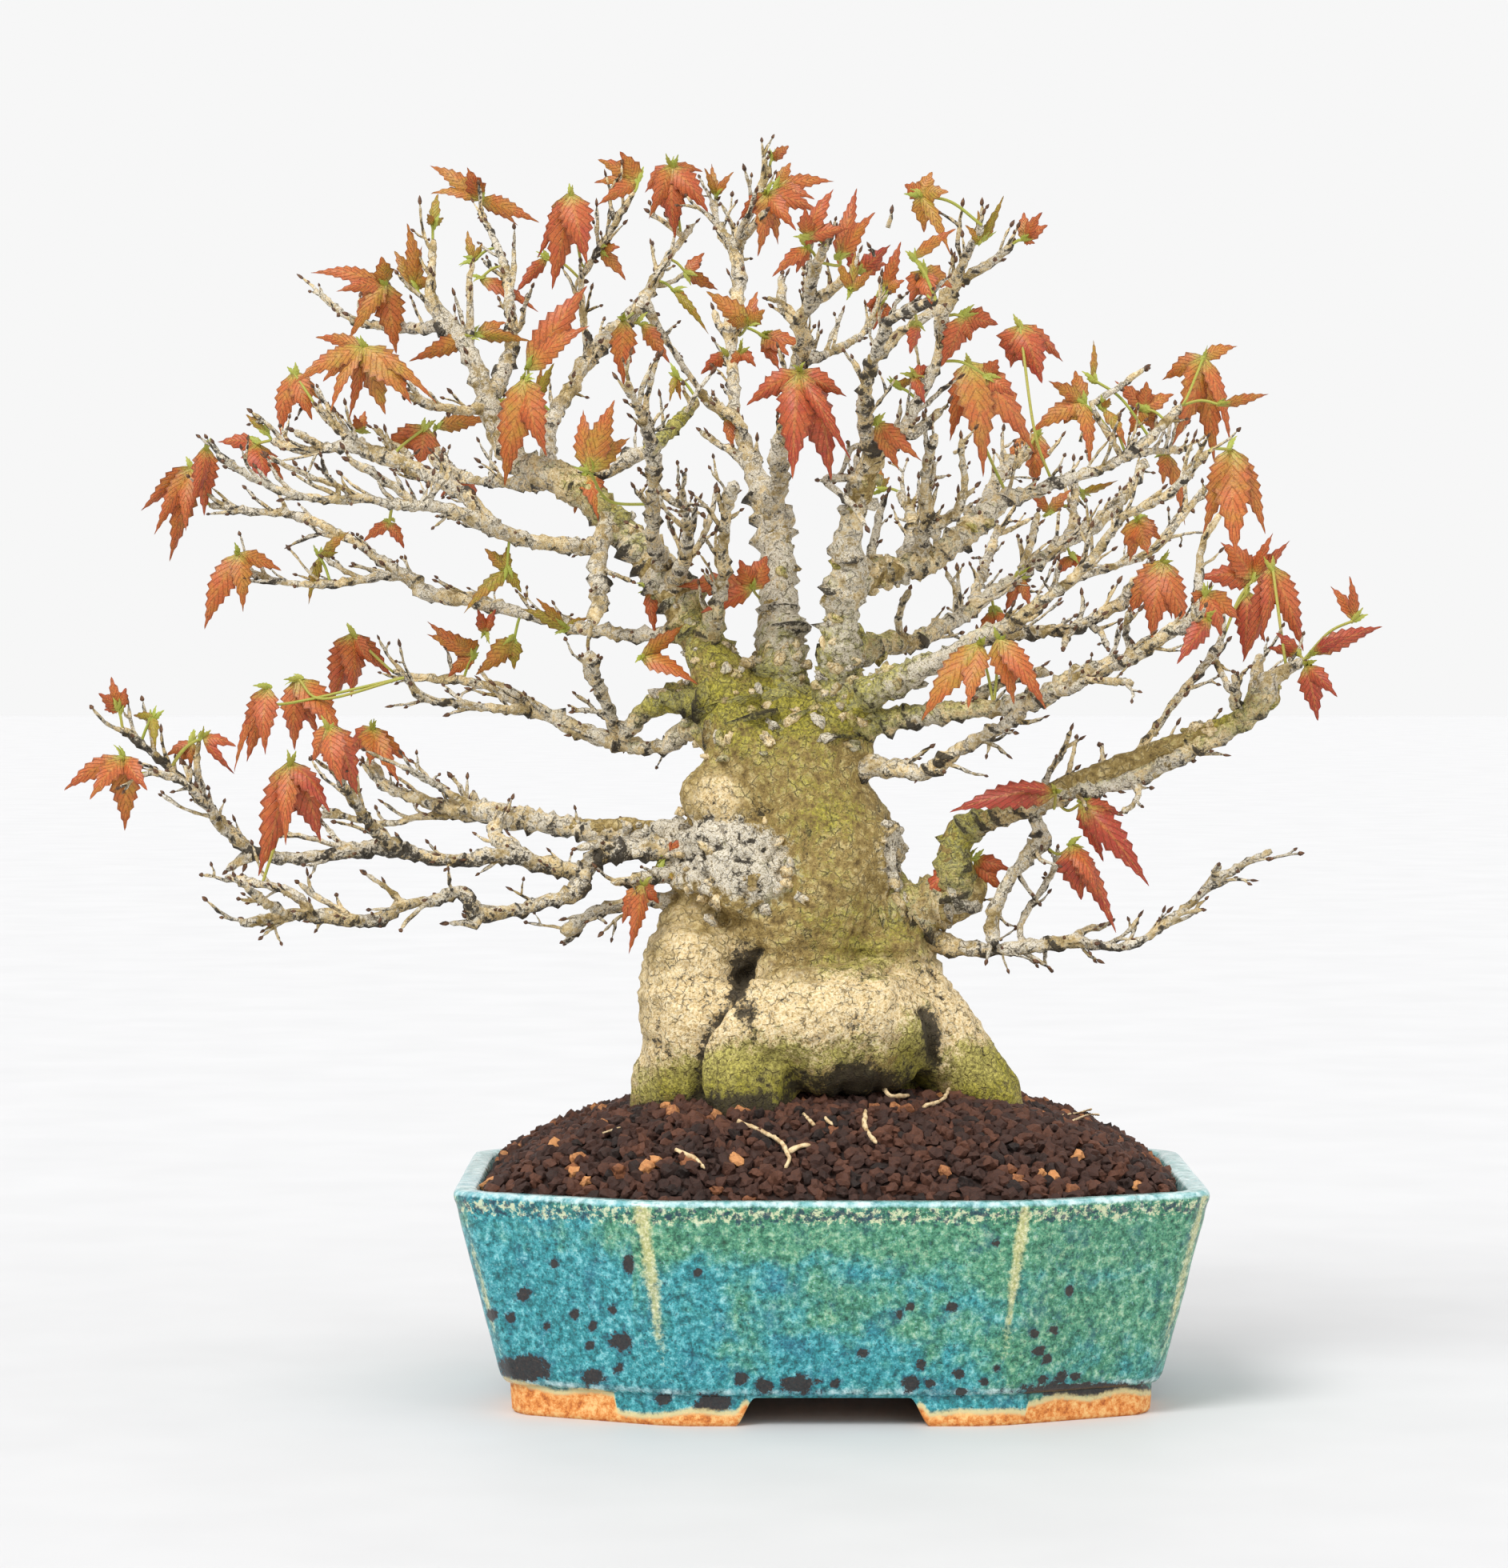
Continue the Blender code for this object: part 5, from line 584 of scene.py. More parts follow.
class Shape:
    """Vertices in millimetres, faces, and a value of each vertex for every named attribute."""

    def __init__(self):
        self.verts = []
        self.faces = []
        self.values = {}

    def add(self, verts, faces, **values):
        """Append a mesh. A value is one number for all of its vertices or a list with one for each."""
        first = len(self.verts)
        self.verts.extend(verts)
        self.faces.extend(tuple(first + i for i in face) for face in faces)
        for key, value in values.items():
            column = self.values.setdefault(key, [0.0] * first)
            column.extend(value if isinstance(value, list) else [value] * len(verts))

    def piece(self, name, material, nodes=(), slot=None):
        """Make the object, let it ride on the root, and let it stand for CAD nodes."""
        mesh = bpy.data.meshes.new(name)
        mesh.from_pydata([tuple(Vector(vert) * MM) for vert in self.verts], [], self.faces)
        for key, column in self.values.items():
            layer = mesh.attributes.new(key, "FLOAT", "POINT")
            layer.data.foreach_set("value", column)
        mesh.materials.append(material)
        mesh.shade_smooth()
        obj = bpy.data.objects.new(name, mesh)
        bpy.context.scene.collection.objects.link(obj)
        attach(obj, "root")
        if nodes:
            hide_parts(*nodes)
        return obj


def grid_faces(rows, columns, closed=False):
    """Quads between rows of equal length; closed joins each row's ends."""
    faces = []
    last = columns if closed else columns - 1
    for row in range(rows - 1):
        for i in range(last):
            j = (i + 1) % columns
            faces.append((row * columns + i, row * columns + j, (row + 1) * columns + j,
                          (row + 1) * columns + i))
    return faces


def frames(points):
    """Directions along a path with a side vector that turns as little as possible."""
    steps = [(b - a).normalized() for a, b in zip(points, points[1:])]
    along = [steps[0]] + [(a + b).normalized() for a, b in zip(steps, steps[1:])] + [steps[-1]]
    side = along[0].orthogonal().normalized()
    result = []
    for direction in along:
        side = (side - direction * side.dot(direction)).normalized()
        result.append((direction, side, direction.cross(side)))
    return result


def smooth_path(stops, spacing):
    """Points and radii on a smooth curve through (point, radius) stops."""
    points = [point for point, _ in stops]
    radii = [radius for _, radius in stops]
    result = []
    for i in range(len(points) - 1):
        before = points[i - 1] if i else points[0] * 2 - points[1]
        after = points[i + 2] if i + 2 < len(points) else points[-1] * 2 - points[-2]
        a, b = points[i], points[i + 1]
        count = max(1, round((b - a).length / spacing))
        for k in range(count):
            t = k / count
            place = 0.5 * (2 * a + (b - before) * t + (2 * before - 5 * a + 4 * b - after) * t * t
                           + (3 * a - before - 3 * b + after) * t ** 3)
            result.append((place, radii[i] + (radii[i + 1] - radii[i]) * t))
    result.append((points[-1], radii[-1]))
    return result


def limb_mesh(shape, stops, spacing, sides, rough, colour_of):
    """A limb along smooth stops, with knots and a rough skin. colour_of gives its attributes."""
    path = smooth_path(stops, spacing)
    seed = Vector((rng.uniform(0, 90), rng.uniform(0, 90), 0.0))
    verts = []
    columns = {}
    lines = frames([point for point, _ in path])
    count = len(path)
    for i, ((point, radius), (_, side, other)) in enumerate(zip(path, lines)):
        swell = 1.0 + 0.22 * noise.noise(seed + Vector((0, 0, i * spacing / 5.0)))
        end = 1.0 if i < count - 1 else 0.45
        drift = side * noise.noise(point / 3.5 + seed) + other * noise.noise(point / 3.5)
        point = point + drift * radius * 0.3
        for k in range(sides):
            turn = 2 * math.pi * k / sides
            out = side * math.cos(turn) + other * math.sin(turn)
            knot = max(0.0, noise.noise(seed + out * 0.7 + Vector((9, 0, i * spacing / 2.1))) - 0.12)
            here = radius * (swell + 1.1 * knot) * end
            skin = noise.noise(point / 1.9 + out * 0.9) * rough * (0.42 + 0.14 * radius)
            verts.append(point + out * (here + skin))
            for key, value in colour_of(point, out, i / (count - 1), knot).items():
                columns.setdefault(key, []).append(value)
    faces = grid_faces(count, sides, closed=True)
    faces.append(tuple(range(sides))[::-1])
    faces.append(tuple(range((count - 1) * sides, count * sides)))
    shape.add(verts, faces, **columns)


# --- where the bark changes --------------------------------------------------------------------
# Soft spots of the front elevation: (x, z, half width, half height, strength)
ZONES = {
    "moss": [(-2, 158, 17, 16, 0.55), (-2, 130, 20, 12, 0.42), (-20, 84, 12, 12, 0.95), (44, 86, 9, 9, 1.3),
             (-38, 84, 14, 7, 0.8), (8, 92, 24, 7, 0.5), (24, 92, 5, 12, 0.9), (-12, 186, 16, 12, 0.75),
             (-40, 188, 14, 5, 1.1), (12, 118, 18, 6, 0.5), (-30, 206, 9, 12, 0.8), (-58, 240, 10, 8, 0.55),
             (-40, 262, 6, 7, 1.1), (38, 148, 7, 10, 0.9), (24, 128, 12, 5, 0.4), (30, 190, 18, 5, 0.6),
             (-28, 176, 12, 9, 0.35), (10, 184, 12, 8, 0.5), (0, 200, 22, 12, 0.35), (110, 184, 30, 8, 0.6)],
    "pale": [(-38, 106, 15, 22, 0.9), (-4, 100, 28, 12, 1.15), (36, 100, 12, 20, 0.9), (-31, 162, 7, 8, 0.8),
             (14, 112, 14, 8, 0.5), (-2, 218, 14, 16, 0.5), (34, 143, 6, 6, 0.4), (-52, 88, 6, 8, 0.5)],
    "lichen": [(-30, 146, 16, 9, 1.2), (-18, 140, 9, 8, 0.7), (20, 146, 5, 14, 1.0), (-8, 198, 10, 7, 0.9),
               (16, 194, 12, 8, 0.9), (-4, 208, 12, 10, 0.7), (-36, 152, 14, 3, 0.8), (-2, 240, 14, 14, 0.5)],
    # dark: painted shade in the creases and narrow crevices, along the soil line and under the low right
    # limbs
    "dark": [(-24, 112, 2.5, 12, 0.8), (8, 84, 20, 5, 0.9), (28, 98, 3, 6, 1.0), (-20, 76, 40, 4, 0.8),
             (-36, 76, 14, 4, 0.7), (24, 130, 5, 4, 0.8), (-6, 150, 2.5, 8, 0.5), (38, 120, 10, 3, 0.4)],
}


def zone(name, x, z):
    """Strength of a kind of bark at (x, z) of the front elevation."""
    total = 0.0
    for cx, cz, sx, sz, strength in ZONES[name]:
        total += strength * math.exp(-((x - cx) / sx) ** 2 - ((z - cz) / sz) ** 2)
    return min(total, 1.3)


# --- materials ---------------------------------------------------------------------------------
class Paint:
    """A node material, built from short calls. Textures are laid in millimetres of the object."""

    def __init__(self, name, **fixed):
        self.material = bpy.data.materials.new(name)
        self.material.use_nodes = True
        self.tree = self.material.node_tree
        self.shader = self.tree.nodes["Principled BSDF"]
        for key, value in fixed.items():
            self.shader.inputs[key.replace("_", " ")].default_value = value
        place = self.node("ShaderNodeTexCoord").outputs["Object"]
        self.place = self.vector("SCALE", place, scale=1 / MM)

    def node(self, kind, **settings):
        made = self.tree.nodes.new(kind)
        for key, value in settings.items():
            setattr(made, key, value)
        return made

    def feed(self, socket, value):
        if isinstance(value, bpy.types.NodeSocket):
            self.tree.links.new(value, socket)
        else:
            socket.default_value = value

    def vector(self, operation, a, b=None, scale=None):
        made = self.node("ShaderNodeVectorMath", operation=operation)
        self.feed(made.inputs[0], a)
        if b is not None:
            self.feed(made.inputs[1], b)
        if scale is not None:
            self.feed(made.inputs["Scale"], scale)
        return made.outputs["Value" if operation == "LENGTH" else "Vector"]

    def math(self, operation, a, b=0.0, c=0.0, clamp=False):
        made = self.node("ShaderNodeMath", operation=operation, use_clamp=clamp)
        for socket, value in zip(made.inputs, (a, b, c)):
            self.feed(socket, value)
        return made.outputs[0]

    def attribute(self, name):
        return self.node("ShaderNodeAttribute", attribute_name=name).outputs["Fac"]

    def noise(self, size, detail=3.0, rough=0.55, place=None, distortion=0.0):
        """Noise with features of about size millimetres."""
        made = self.node("ShaderNodeTexNoise")
        self.feed(made.inputs["Vector"], place or self.place)
        for key, value in (("Scale", 1.0 / size), ("Detail", detail), ("Roughness", rough),
                           ("Distortion", distortion)):
            made.inputs[key].default_value = value
        return made.outputs["Fac"]

    def noise_colour(self, size):
        """A vector of noise about zero."""
        made = self.node("ShaderNodeTexNoise")
        self.feed(made.inputs["Vector"], self.place)
        made.inputs["Scale"].default_value = 1.0 / size
        return self.vector("SUBTRACT", made.outputs["Color"], (0.5, 0.5, 0.5))

    def cells(self, size, feature="F1", place=None, randomness=1.0):
        made = self.node("ShaderNodeTexVoronoi", feature=feature)
        self.feed(made.inputs["Vector"], place or self.place)
        made.inputs["Scale"].default_value = 1.0 / size
        made.inputs["Randomness"].default_value = randomness
        return made

    def step(self, value, low, high):
        """0 below low, 1 above high."""
        made = self.node("ShaderNodeMapRange", interpolation_type="SMOOTHSTEP")
        self.feed(made.inputs["Value"], value)
        made.inputs["From Min"].default_value = low
        made.inputs["From Max"].default_value = high
        return made.outputs["Result"]

    def ramp(self, value, *stops):
        """A colour for a value from (position, (red, green, blue)) stops."""
        made = self.node("ShaderNodeValToRGB")
        self.feed(made.inputs["Fac"], value)
        elements = made.color_ramp.elements
        while len(elements) < len(stops):
            elements.new(0.5)
        for element, (position, colour) in zip(elements, stops):
            element.position = position
            element.color = (*colour, 1.0)
        return made.outputs["Color"]

    def mix(self, share, a, b, blend="MIX"):
        made = self.node("ShaderNodeMix", data_type="RGBA", blend_type=blend)
        self.feed(made.inputs[0], share)
        for socket, value in ((made.inputs[6], a), (made.inputs[7], b)):
            self.feed(socket, value if isinstance(value, bpy.types.NodeSocket) else (*value, 1.0))
        return made.outputs[2]

    def bump(self, height, distance, strength=1.0):
        made = self.node("ShaderNodeBump")
        made.inputs["Distance"].default_value = distance * MM
        made.inputs["Strength"].default_value = strength
        self.feed(made.inputs["Height"], height)
        self.feed(self.shader.inputs["Normal"], made.outputs["Normal"])

    def finish(self, colour, roughness=None):
        self.feed(self.shader.inputs["Base Color"], colour)
        if roughness is not None:
            self.feed(self.shader.inputs["Roughness"], roughness)
        return self.material


def bark_material():
    """Cream to tan bark with grey lichen, moss, speckle and dark patches, and painted shade in its cracks,
    creases and recesses and under its limbs.
    """
    paint = Paint("bark")
    fine = paint.noise(0.9, 4.0, 0.7)
    broad = paint.noise(7.0, 4.0, 0.6)
    mottle = paint.noise(2.6, 4.0, 0.65)
    speck = paint.noise(0.5, 2.0, 0.6)
    bent = paint.vector("ADD", paint.place, paint.vector("SCALE", paint.noise_colour(2.2), scale=2.4))
    network = paint.cells(3.1, "DISTANCE_TO_EDGE", place=bent).outputs["Distance"]
    tan = paint.ramp(mottle, (0.30, (0.11, 0.066, 0.014)), (0.48, (0.36, 0.25, 0.075)),
                     (0.66, (0.72, 0.57, 0.28)))
    cream = paint.ramp(fine, (0.30, (0.34, 0.21, 0.07)), (0.44, (0.76, 0.56, 0.27)),
                       (0.62, (0.97, 0.83, 0.55)))
    pale = paint.math("ADD", paint.attribute("pale"), paint.math("MULTIPLY_ADD", broad, 1.4, -0.7))
    colour = paint.mix(paint.step(pale, 0.15, 0.75), tan, cream)
    grey = paint.ramp(speck, (0.3, (0.22, 0.17, 0.09)), (0.46, (0.66, 0.58, 0.43)),
                      (0.64, (0.96, 0.90, 0.77)))
    lichen = paint.math("ADD", paint.attribute("lichen"), paint.math("MULTIPLY_ADD", mottle, 1.8, -0.9))
    colour = paint.mix(paint.step(lichen, 0.30, 0.62), colour, grey)
    green = paint.ramp(fine, (0.30, (0.040, 0.050, 0.003)), (0.46, (0.21, 0.20, 0.010)),
                       (0.62, (0.56, 0.50, 0.05)))
    moss = paint.math("ADD", paint.attribute("moss"), paint.math("MULTIPLY_ADD", mottle, 1.5, -0.75))
    moss = paint.math("ADD", moss, paint.math("MULTIPLY_ADD", speck, 0.9, -0.45))
    moss = paint.math("ADD", moss, paint.math("MULTIPLY_ADD", broad, 1.0, -0.5))
    colour = paint.mix(paint.math("MULTIPLY", paint.step(moss, 0.25, 0.80), 0.80), colour, green)
    # Painted shade: the crack network is darkened where the bump below sinks it.
    crack = paint.math("SUBTRACT", 1.0, paint.step(network, 0.01, 0.075))
    crack = paint.math("MULTIPLY", crack, paint.step(mottle, 0.44, 0.60))
    colour = paint.mix(paint.math("MULTIPLY", crack, 0.55), colour, (0.090, 0.050, 0.014))
    pit = paint.math("MULTIPLY", paint.step(speck, 0.56, 0.66), paint.step(broad, 0.66, 0.40))
    colour = paint.mix(paint.math("MULTIPLY", pit, 0.7), colour, (0.075, 0.042, 0.012))
    # dark: the bark's own dark patches and knots, plus painted shade from the trunk's recesses, cracks,
    # creases and dark zones and from the limbs' undersides.
    dark = paint.math("ADD", paint.attribute("dark"), paint.math("MULTIPLY_ADD", fine, 1.7, -0.85))
    dark = paint.math("ADD", dark, paint.math("MULTIPLY_ADD", mottle, 0.9, -0.45))
    colour = paint.mix(paint.math("MULTIPLY", paint.step(dark, 0.38, 0.72), 0.93), colour,
                       (0.020, 0.012, 0.004))
    height = paint.math("ADD", paint.math("MULTIPLY", fine, 0.6), paint.math("MULTIPLY", mottle, 0.5))
    height = paint.math("ADD", height, paint.math("MULTIPLY", speck, 0.3))
    height = paint.math("SUBTRACT", height, paint.math("MULTIPLY", crack, 0.5))
    paint.bump(height, 1.0)
    return paint.finish(colour, paint.math("MULTIPLY_ADD", fine, 0.25, 0.62))


def leaf_material():
    """Young maple leaf: yellow-green at its base, orange-red blade, darker edge and fine veins."""
    paint = Paint("young_leaf")
    along = paint.attribute("along")
    across = paint.attribute("across")
    red = paint.attribute("red")
    fine = paint.noise(0.7, 3.0, 0.65)
    soft = paint.noise(4.0, 3.0, 0.6)
    heat = paint.math("ADD", red, paint.math("MULTIPLY_ADD", soft, 0.9, -0.45))
    heat = paint.math("ADD", heat, paint.math("MULTIPLY_ADD", along, 0.25, -0.12))
    blade = paint.ramp(heat, (0.0, (0.34, 0.27, 0.020)), (0.25, (0.48, 0.20, 0.022)),
                       (0.5, (0.52, 0.125, 0.022)),
                       (0.8, (0.47, 0.080, 0.022)), (1.0, (0.38, 0.042, 0.020)))
    base = paint.step(paint.math("ADD", along, paint.math("MULTIPLY_ADD", fine, 0.3, -0.15)), 0.0, 0.26)
    colour = paint.mix(base, (0.42, 0.36, 0.06), blade)
    wide = paint.math("ABSOLUTE", across)
    ribs = paint.math("MULTIPLY_ADD", along, 9.0, paint.math("MULTIPLY", wide, -2.2))
    ribs = paint.math("ABSOLUTE", paint.math("SUBTRACT", paint.math("FRACT", ribs), 0.5))
    vein = paint.math("SUBTRACT", 1.0, paint.step(ribs, 0.02, 0.12))
    colour = paint.mix(paint.math("MULTIPLY", vein, 0.30), colour, (0.22, 0.05, 0.015))
    edge = paint.step(paint.math("ADD", wide, paint.math("MULTIPLY_ADD", fine, 0.5, -0.25)), 0.72, 1.0)
    colour = paint.mix(paint.math("MULTIPLY", edge, 0.6), colour, (0.17, 0.026, 0.008))
    midrib = paint.math("SUBTRACT", 1.0, paint.step(wide, 0.03, 0.16))
    colour = paint.mix(paint.math("MULTIPLY", midrib, 0.30), colour, (0.62, 0.32, 0.06))
    speck = paint.step(paint.noise(0.6, 3.0, 0.6), 0.50, 0.62)
    colour = paint.mix(paint.math("MULTIPLY", speck, 0.50), colour, (0.17, 0.055, 0.010))
    shine = paint.step(paint.noise(0.9, 3.0, 0.6), 0.58, 0.70)
    colour = paint.mix(paint.math("MULTIPLY", shine, 0.35), colour, (0.78, 0.36, 0.13))
    height = paint.math("SUBTRACT", paint.math("MULTIPLY", fine, 0.5), paint.math("MULTIPLY", vein, 0.6))
    paint.bump(height, 0.25)
    return paint.finish(colour, paint.math("MULTIPLY_ADD", fine, 0.25, 0.34))


def stalk_material():
    """Green to reddish stalks and bud scales."""
    paint = Paint("green_stalk", Roughness=0.5)
    tone = paint.math("ADD", paint.attribute("red"), paint.math("MULTIPLY_ADD", paint.noise(3.0), 0.8, -0.4))
    colour = paint.ramp(tone, (0.0, (0.34, 0.38, 0.05)), (0.45, (0.44, 0.36, 0.07)),
                        (0.9, (0.36, 0.11, 0.03)))
    speck = paint.step(paint.noise(0.5, 2.0), 0.60, 0.72)
    colour = paint.mix(paint.math("MULTIPLY", speck, 0.5), colour, (0.12, 0.07, 0.02))
    paint.bump(paint.noise(0.6), 0.15)
    return paint.finish(colour)


def bud_material():
    """Dark brown scaly buds."""
    paint = Paint("winter_bud", Roughness=0.6)
    tone = paint.noise(0.8, 3.0)
    colour = paint.ramp(tone, (0.3, (0.035, 0.018, 0.010)), (0.55, (0.13, 0.055, 0.022)),
                        (0.75, (0.30, 0.15, 0.06)))
    paint.bump(tone, 0.3)
    return paint.finish(colour)


def soil_material():
    """Dark red-brown baked clay, a few granules lighter."""
    paint = Paint("baked_clay")
    tone = paint.attribute("tone")
    fine = paint.noise(0.8, 4.0, 0.7)
    value = paint.math("ADD", tone, paint.math("MULTIPLY_ADD", fine, 0.5, -0.25))
    colour = paint.ramp(value, (0.0, (0.012, 0.005, 0.003)), (0.35, (0.050, 0.017, 0.009)),
                        (0.65, (0.12, 0.042, 0.020)), (0.85, (0.30, 0.11, 0.04)), (1.0, (0.62, 0.28, 0.10)))
    paint.bump(fine, 0.35)
    return paint.finish(colour, paint.math("MULTIPLY_ADD", fine, 0.3, 0.6))


def rootlet_material():
    """Pale fine roots."""
    paint = Paint("rootlet", Roughness=0.75)
    colour = paint.ramp(paint.noise(1.6, 3.0), (0.3, (0.40, 0.24, 0.10)), (0.6, (0.80, 0.62, 0.36)))
    paint.bump(paint.noise(0.6), 0.2)
    return paint.finish(colour)


def pot_material():
    """Glossy mottled glaze, teal to green, over orange clay that shows at the foot."""
    paint = Paint("pot_glaze")
    broad = paint.noise(17.0, 3.0, 0.6, distortion=0.4)
    cloud = paint.noise(5.0, 5.0, 0.68)
    fine = paint.noise(0.8, 3.0, 0.7)
    grain = paint.noise(2.0, 5.0, 0.75)
    green = paint.math("ADD", paint.attribute("green"), paint.math("MULTIPLY_ADD", broad, 2.2, -1.1))
    green = paint.math("ADD", green, paint.math("MULTIPLY_ADD", cloud, 1.2, -0.6))
    blue = paint.ramp(grain, (0.30, (0.004, 0.050, 0.055)), (0.42, (0.010, 0.160, 0.180)),
                      (0.52, (0.035, 0.31, 0.35)), (0.66, (0.20, 0.60, 0.64)))
    leafy = paint.ramp(grain, (0.30, (0.008, 0.050, 0.025)), (0.42, (0.030, 0.165, 0.090)),
                       (0.52, (0.090, 0.32, 0.185)), (0.66, (0.36, 0.56, 0.34)))
    colour = paint.mix(paint.step(green, 0.0, 0.75), blue, leafy)
    shade = paint.math("SUBTRACT", 1.0, paint.step(fine, 0.36, 0.50))
    shade = paint.math("MULTIPLY", shade, paint.step(cloud, 0.66, 0.40))
    colour = paint.mix(paint.math("MULTIPLY", shade, 0.72), colour, (0.004, 0.030, 0.028))
    drift = paint.noise(8.0, 4.0, 0.7, place=paint.vector("ADD", paint.place, (15.0, 3.0, 31.0)))
    colour = paint.mix(paint.math("MULTIPLY", paint.step(drift, 0.50, 0.72), 0.35), colour,
                       (0.012, 0.075, 0.19))
    glint = paint.math("MULTIPLY", paint.step(fine, 0.57, 0.68), paint.step(cloud, 0.42, 0.60))
    colour = paint.mix(paint.math("MULTIPLY", glint, 0.55), colour, (0.34, 0.66, 0.66))
    under = paint.math("ADD", paint.attribute("fleck"), paint.math("MULTIPLY_ADD", grain, 2.6, -1.3))
    colour = paint.mix(paint.math("MULTIPLY", paint.step(under, 0.58, 0.78), 0.85), colour,
                       (0.66, 0.68, 0.42))
    night = paint.noise(1.8, 4.0, 0.7, place=paint.vector("ADD", paint.place, (40.0, 11.0, 5.0)))
    night = paint.math("ADD", paint.attribute("fleck"), paint.math("MULTIPLY_ADD", night, 2.6, -1.3))
    colour = paint.mix(paint.math("MULTIPLY", paint.step(night, 0.62, 0.80), 0.85), colour,
                       (0.008, 0.035, 0.065))
    seam = paint.math("ADD", paint.attribute("seam"), paint.math("MULTIPLY_ADD", grain, 1.7, -0.85))
    cream = paint.mix(paint.step(fine, 0.4, 0.65), (0.46, 0.45, 0.17), (0.80, 0.74, 0.43))
    colour = paint.mix(paint.math("MULTIPLY", paint.step(seam, 0.30, 0.85), 0.85), colour, cream)
    pale = paint.math("ADD", paint.attribute("lip"), paint.math("MULTIPLY_ADD", grain, 1.6, -0.8))
    pale = paint.math("ADD", pale, paint.math("MULTIPLY_ADD", cloud, 0.8, -0.4))
    icy = paint.mix(paint.step(cloud, 0.35, 0.65), (0.16, 0.44, 0.48), (0.70, 0.86, 0.87))
    colour = paint.mix(paint.math("MULTIPLY", paint.step(pale, 0.1, 0.8), 0.85), colour, icy)
    place = paint.vector("ADD", paint.place, paint.vector("SCALE", paint.noise_colour(1.6), scale=2.2))
    wobble = paint.noise(2.6, 4.0, 0.7, place=place)
    spot = paint.math("ADD", paint.attribute("spot"), paint.math("MULTIPLY_ADD", wobble, 1.5, -0.75))
    spot = paint.math("ADD", spot, paint.math("MULTIPLY_ADD", fine, 0.5, -0.25))
    halo = paint.step(spot, 0.14, 0.34)
    colour = paint.mix(paint.math("MULTIPLY", halo, 0.45), colour, (0.012, 0.060, 0.13))
    spot = paint.step(spot, 0.34, 0.44)
    brown = paint.ramp(fine, (0.3, (0.006, 0.005, 0.006)), (0.6, (0.030, 0.016, 0.012)),
                       (0.8, (0.10, 0.05, 0.03)))
    colour = paint.mix(paint.math("MULTIPLY", spot, 0.95), colour, brown)
    bare = paint.math("ADD", paint.attribute("clay"), paint.math("MULTIPLY_ADD", grain, 0.8, -0.4))
    clay = paint.ramp(grain, (0.34, (0.36, 0.085, 0.012)), (0.47, (0.70, 0.24, 0.045)),
                      (0.62, (0.84, 0.52, 0.20)))
    edge = paint.step(bare, 0.10, 0.45)
    colour = paint.mix(paint.math("MULTIPLY", edge, 0.9), colour, (0.70, 0.58, 0.28))
    bare = paint.step(bare, 0.50, 0.80)
    colour = paint.mix(bare, colour, clay)
    rough = paint.math("MULTIPLY_ADD", grain, 0.14, 0.07)
    rough = paint.math("ADD", rough, paint.math("MULTIPLY", bare, 0.6))
    relief = paint.math("SUBTRACT", paint.math("MULTIPLY", cloud, 0.6), paint.math("MULTIPLY", spot, 0.25))
    relief = paint.math("ADD", relief, paint.math("MULTIPLY", fine, 0.15))
    paint.bump(relief, 0.45)
    return paint.finish(colour, rough)


def plain_material(name, dark, light, size, roughness, metallic=0.0):
    """A finish with fine grain between two colours."""
    paint = Paint(name, Roughness=roughness, Metallic=metallic)
    grain = paint.noise(size, 3.0)
    paint.bump(grain, 0.1)
    return paint.finish(paint.ramp(grain, (0.3, dark), (0.7, light)))


BARK = bark_material()
LEAF = leaf_material()
STALK = stalk_material()
BUD = bud_material()
CLAY = soil_material()
ROOTLET = rootlet_material()
GLAZE = pot_material()


# --- tree --------------------------------------------------------------------------------------
# Masses that only the fine skin has: (x, z, depth, radius)
FILLING_MASSES = [
    [(-24, 160, -6, 8), (-22, 152, -8, 9), (-22, 145, -8, 9)],
    [(-28, 152, -8, 7), (-33, 149, -8, 7)],
    [(-2, 92, -22, 12), (8, 93, -20, 12), (16, 92, -16, 10)],
    [(24, 96, -14, 8), (29, 90, -12, 6)],
    [(-14, 170, 0, 13), (-2, 176, 0, 12)],
]
# Lines worked into the trunk: ([(x, z), ...], depth of the groove, half width). Negative is a ridge.
CREASES = [
    ([(-20, 120), (-23, 113), (-28, 106), (-32, 101)], 2.6, 1.4),
    ([(-31, 102), (-35, 96), (-36.5, 88), (-36, 80)], 2.2, 1.2),
    ([(-40, 151), (-30, 151), (-22, 147), (-15, 138)], -2.2, 1.7),
    ([(-46, 144), (-36, 146), (-28, 143), (-22, 139)], 1.2, 1.1),
    ([(-44, 139), (-34, 137), (-26, 132), (-18, 128)], -1.4, 1.5),
    ([(-24, 119), (-8, 121), (10, 118), (24, 120)], 0.8, 0.7),
    ([(-21, 115.5), (-4, 117), (12, 114), (22, 116)], 0.7, 0.7),
    ([(-22, 112.5), (-8, 113.5), (6, 111.5), (18, 112.5)], 0.6, 0.6),
    ([(-20, 123.5), (-6, 125.5), (8, 123)], 0.6, 0.7),
    ([(26, 104), (28, 97), (30, 89)], 1.8, 1.3),
    ([(26, 122), (29, 114), (31, 106)], 0.7, 1.0),
    ([(-26, 127), (-22, 132), (-12, 128)], 0.9, 1.0),
    ([(17, 160), (18, 150), (20, 140), (25, 132)], 1.1, 0.9),
    ([(-24, 172), (-20, 162), (-16, 156)], 0.8, 1.4),
    ([(-12, 160), (-22, 157), (-34, 156), (-42, 152)], 0.9, 1.0),
    ([(-50, 96), (-44, 92), (-40, 84)], 1.0, 1.2),
    ([(-42, 118), (-36, 112), (-33, 104)], 0.5, 0.8),
    ([(38, 108), (41, 98), (44, 88)], 0.6, 1.0),
    ([(-16, 92), (-18, 84), (-20, 76)], 0.7, 1.2),
    ([(2, 88), (4, 84), (3, 80)], 0.9, 0.9),
    ([(12, 90), (14, 86), (13, 82)], 0.9, 0.9),
]


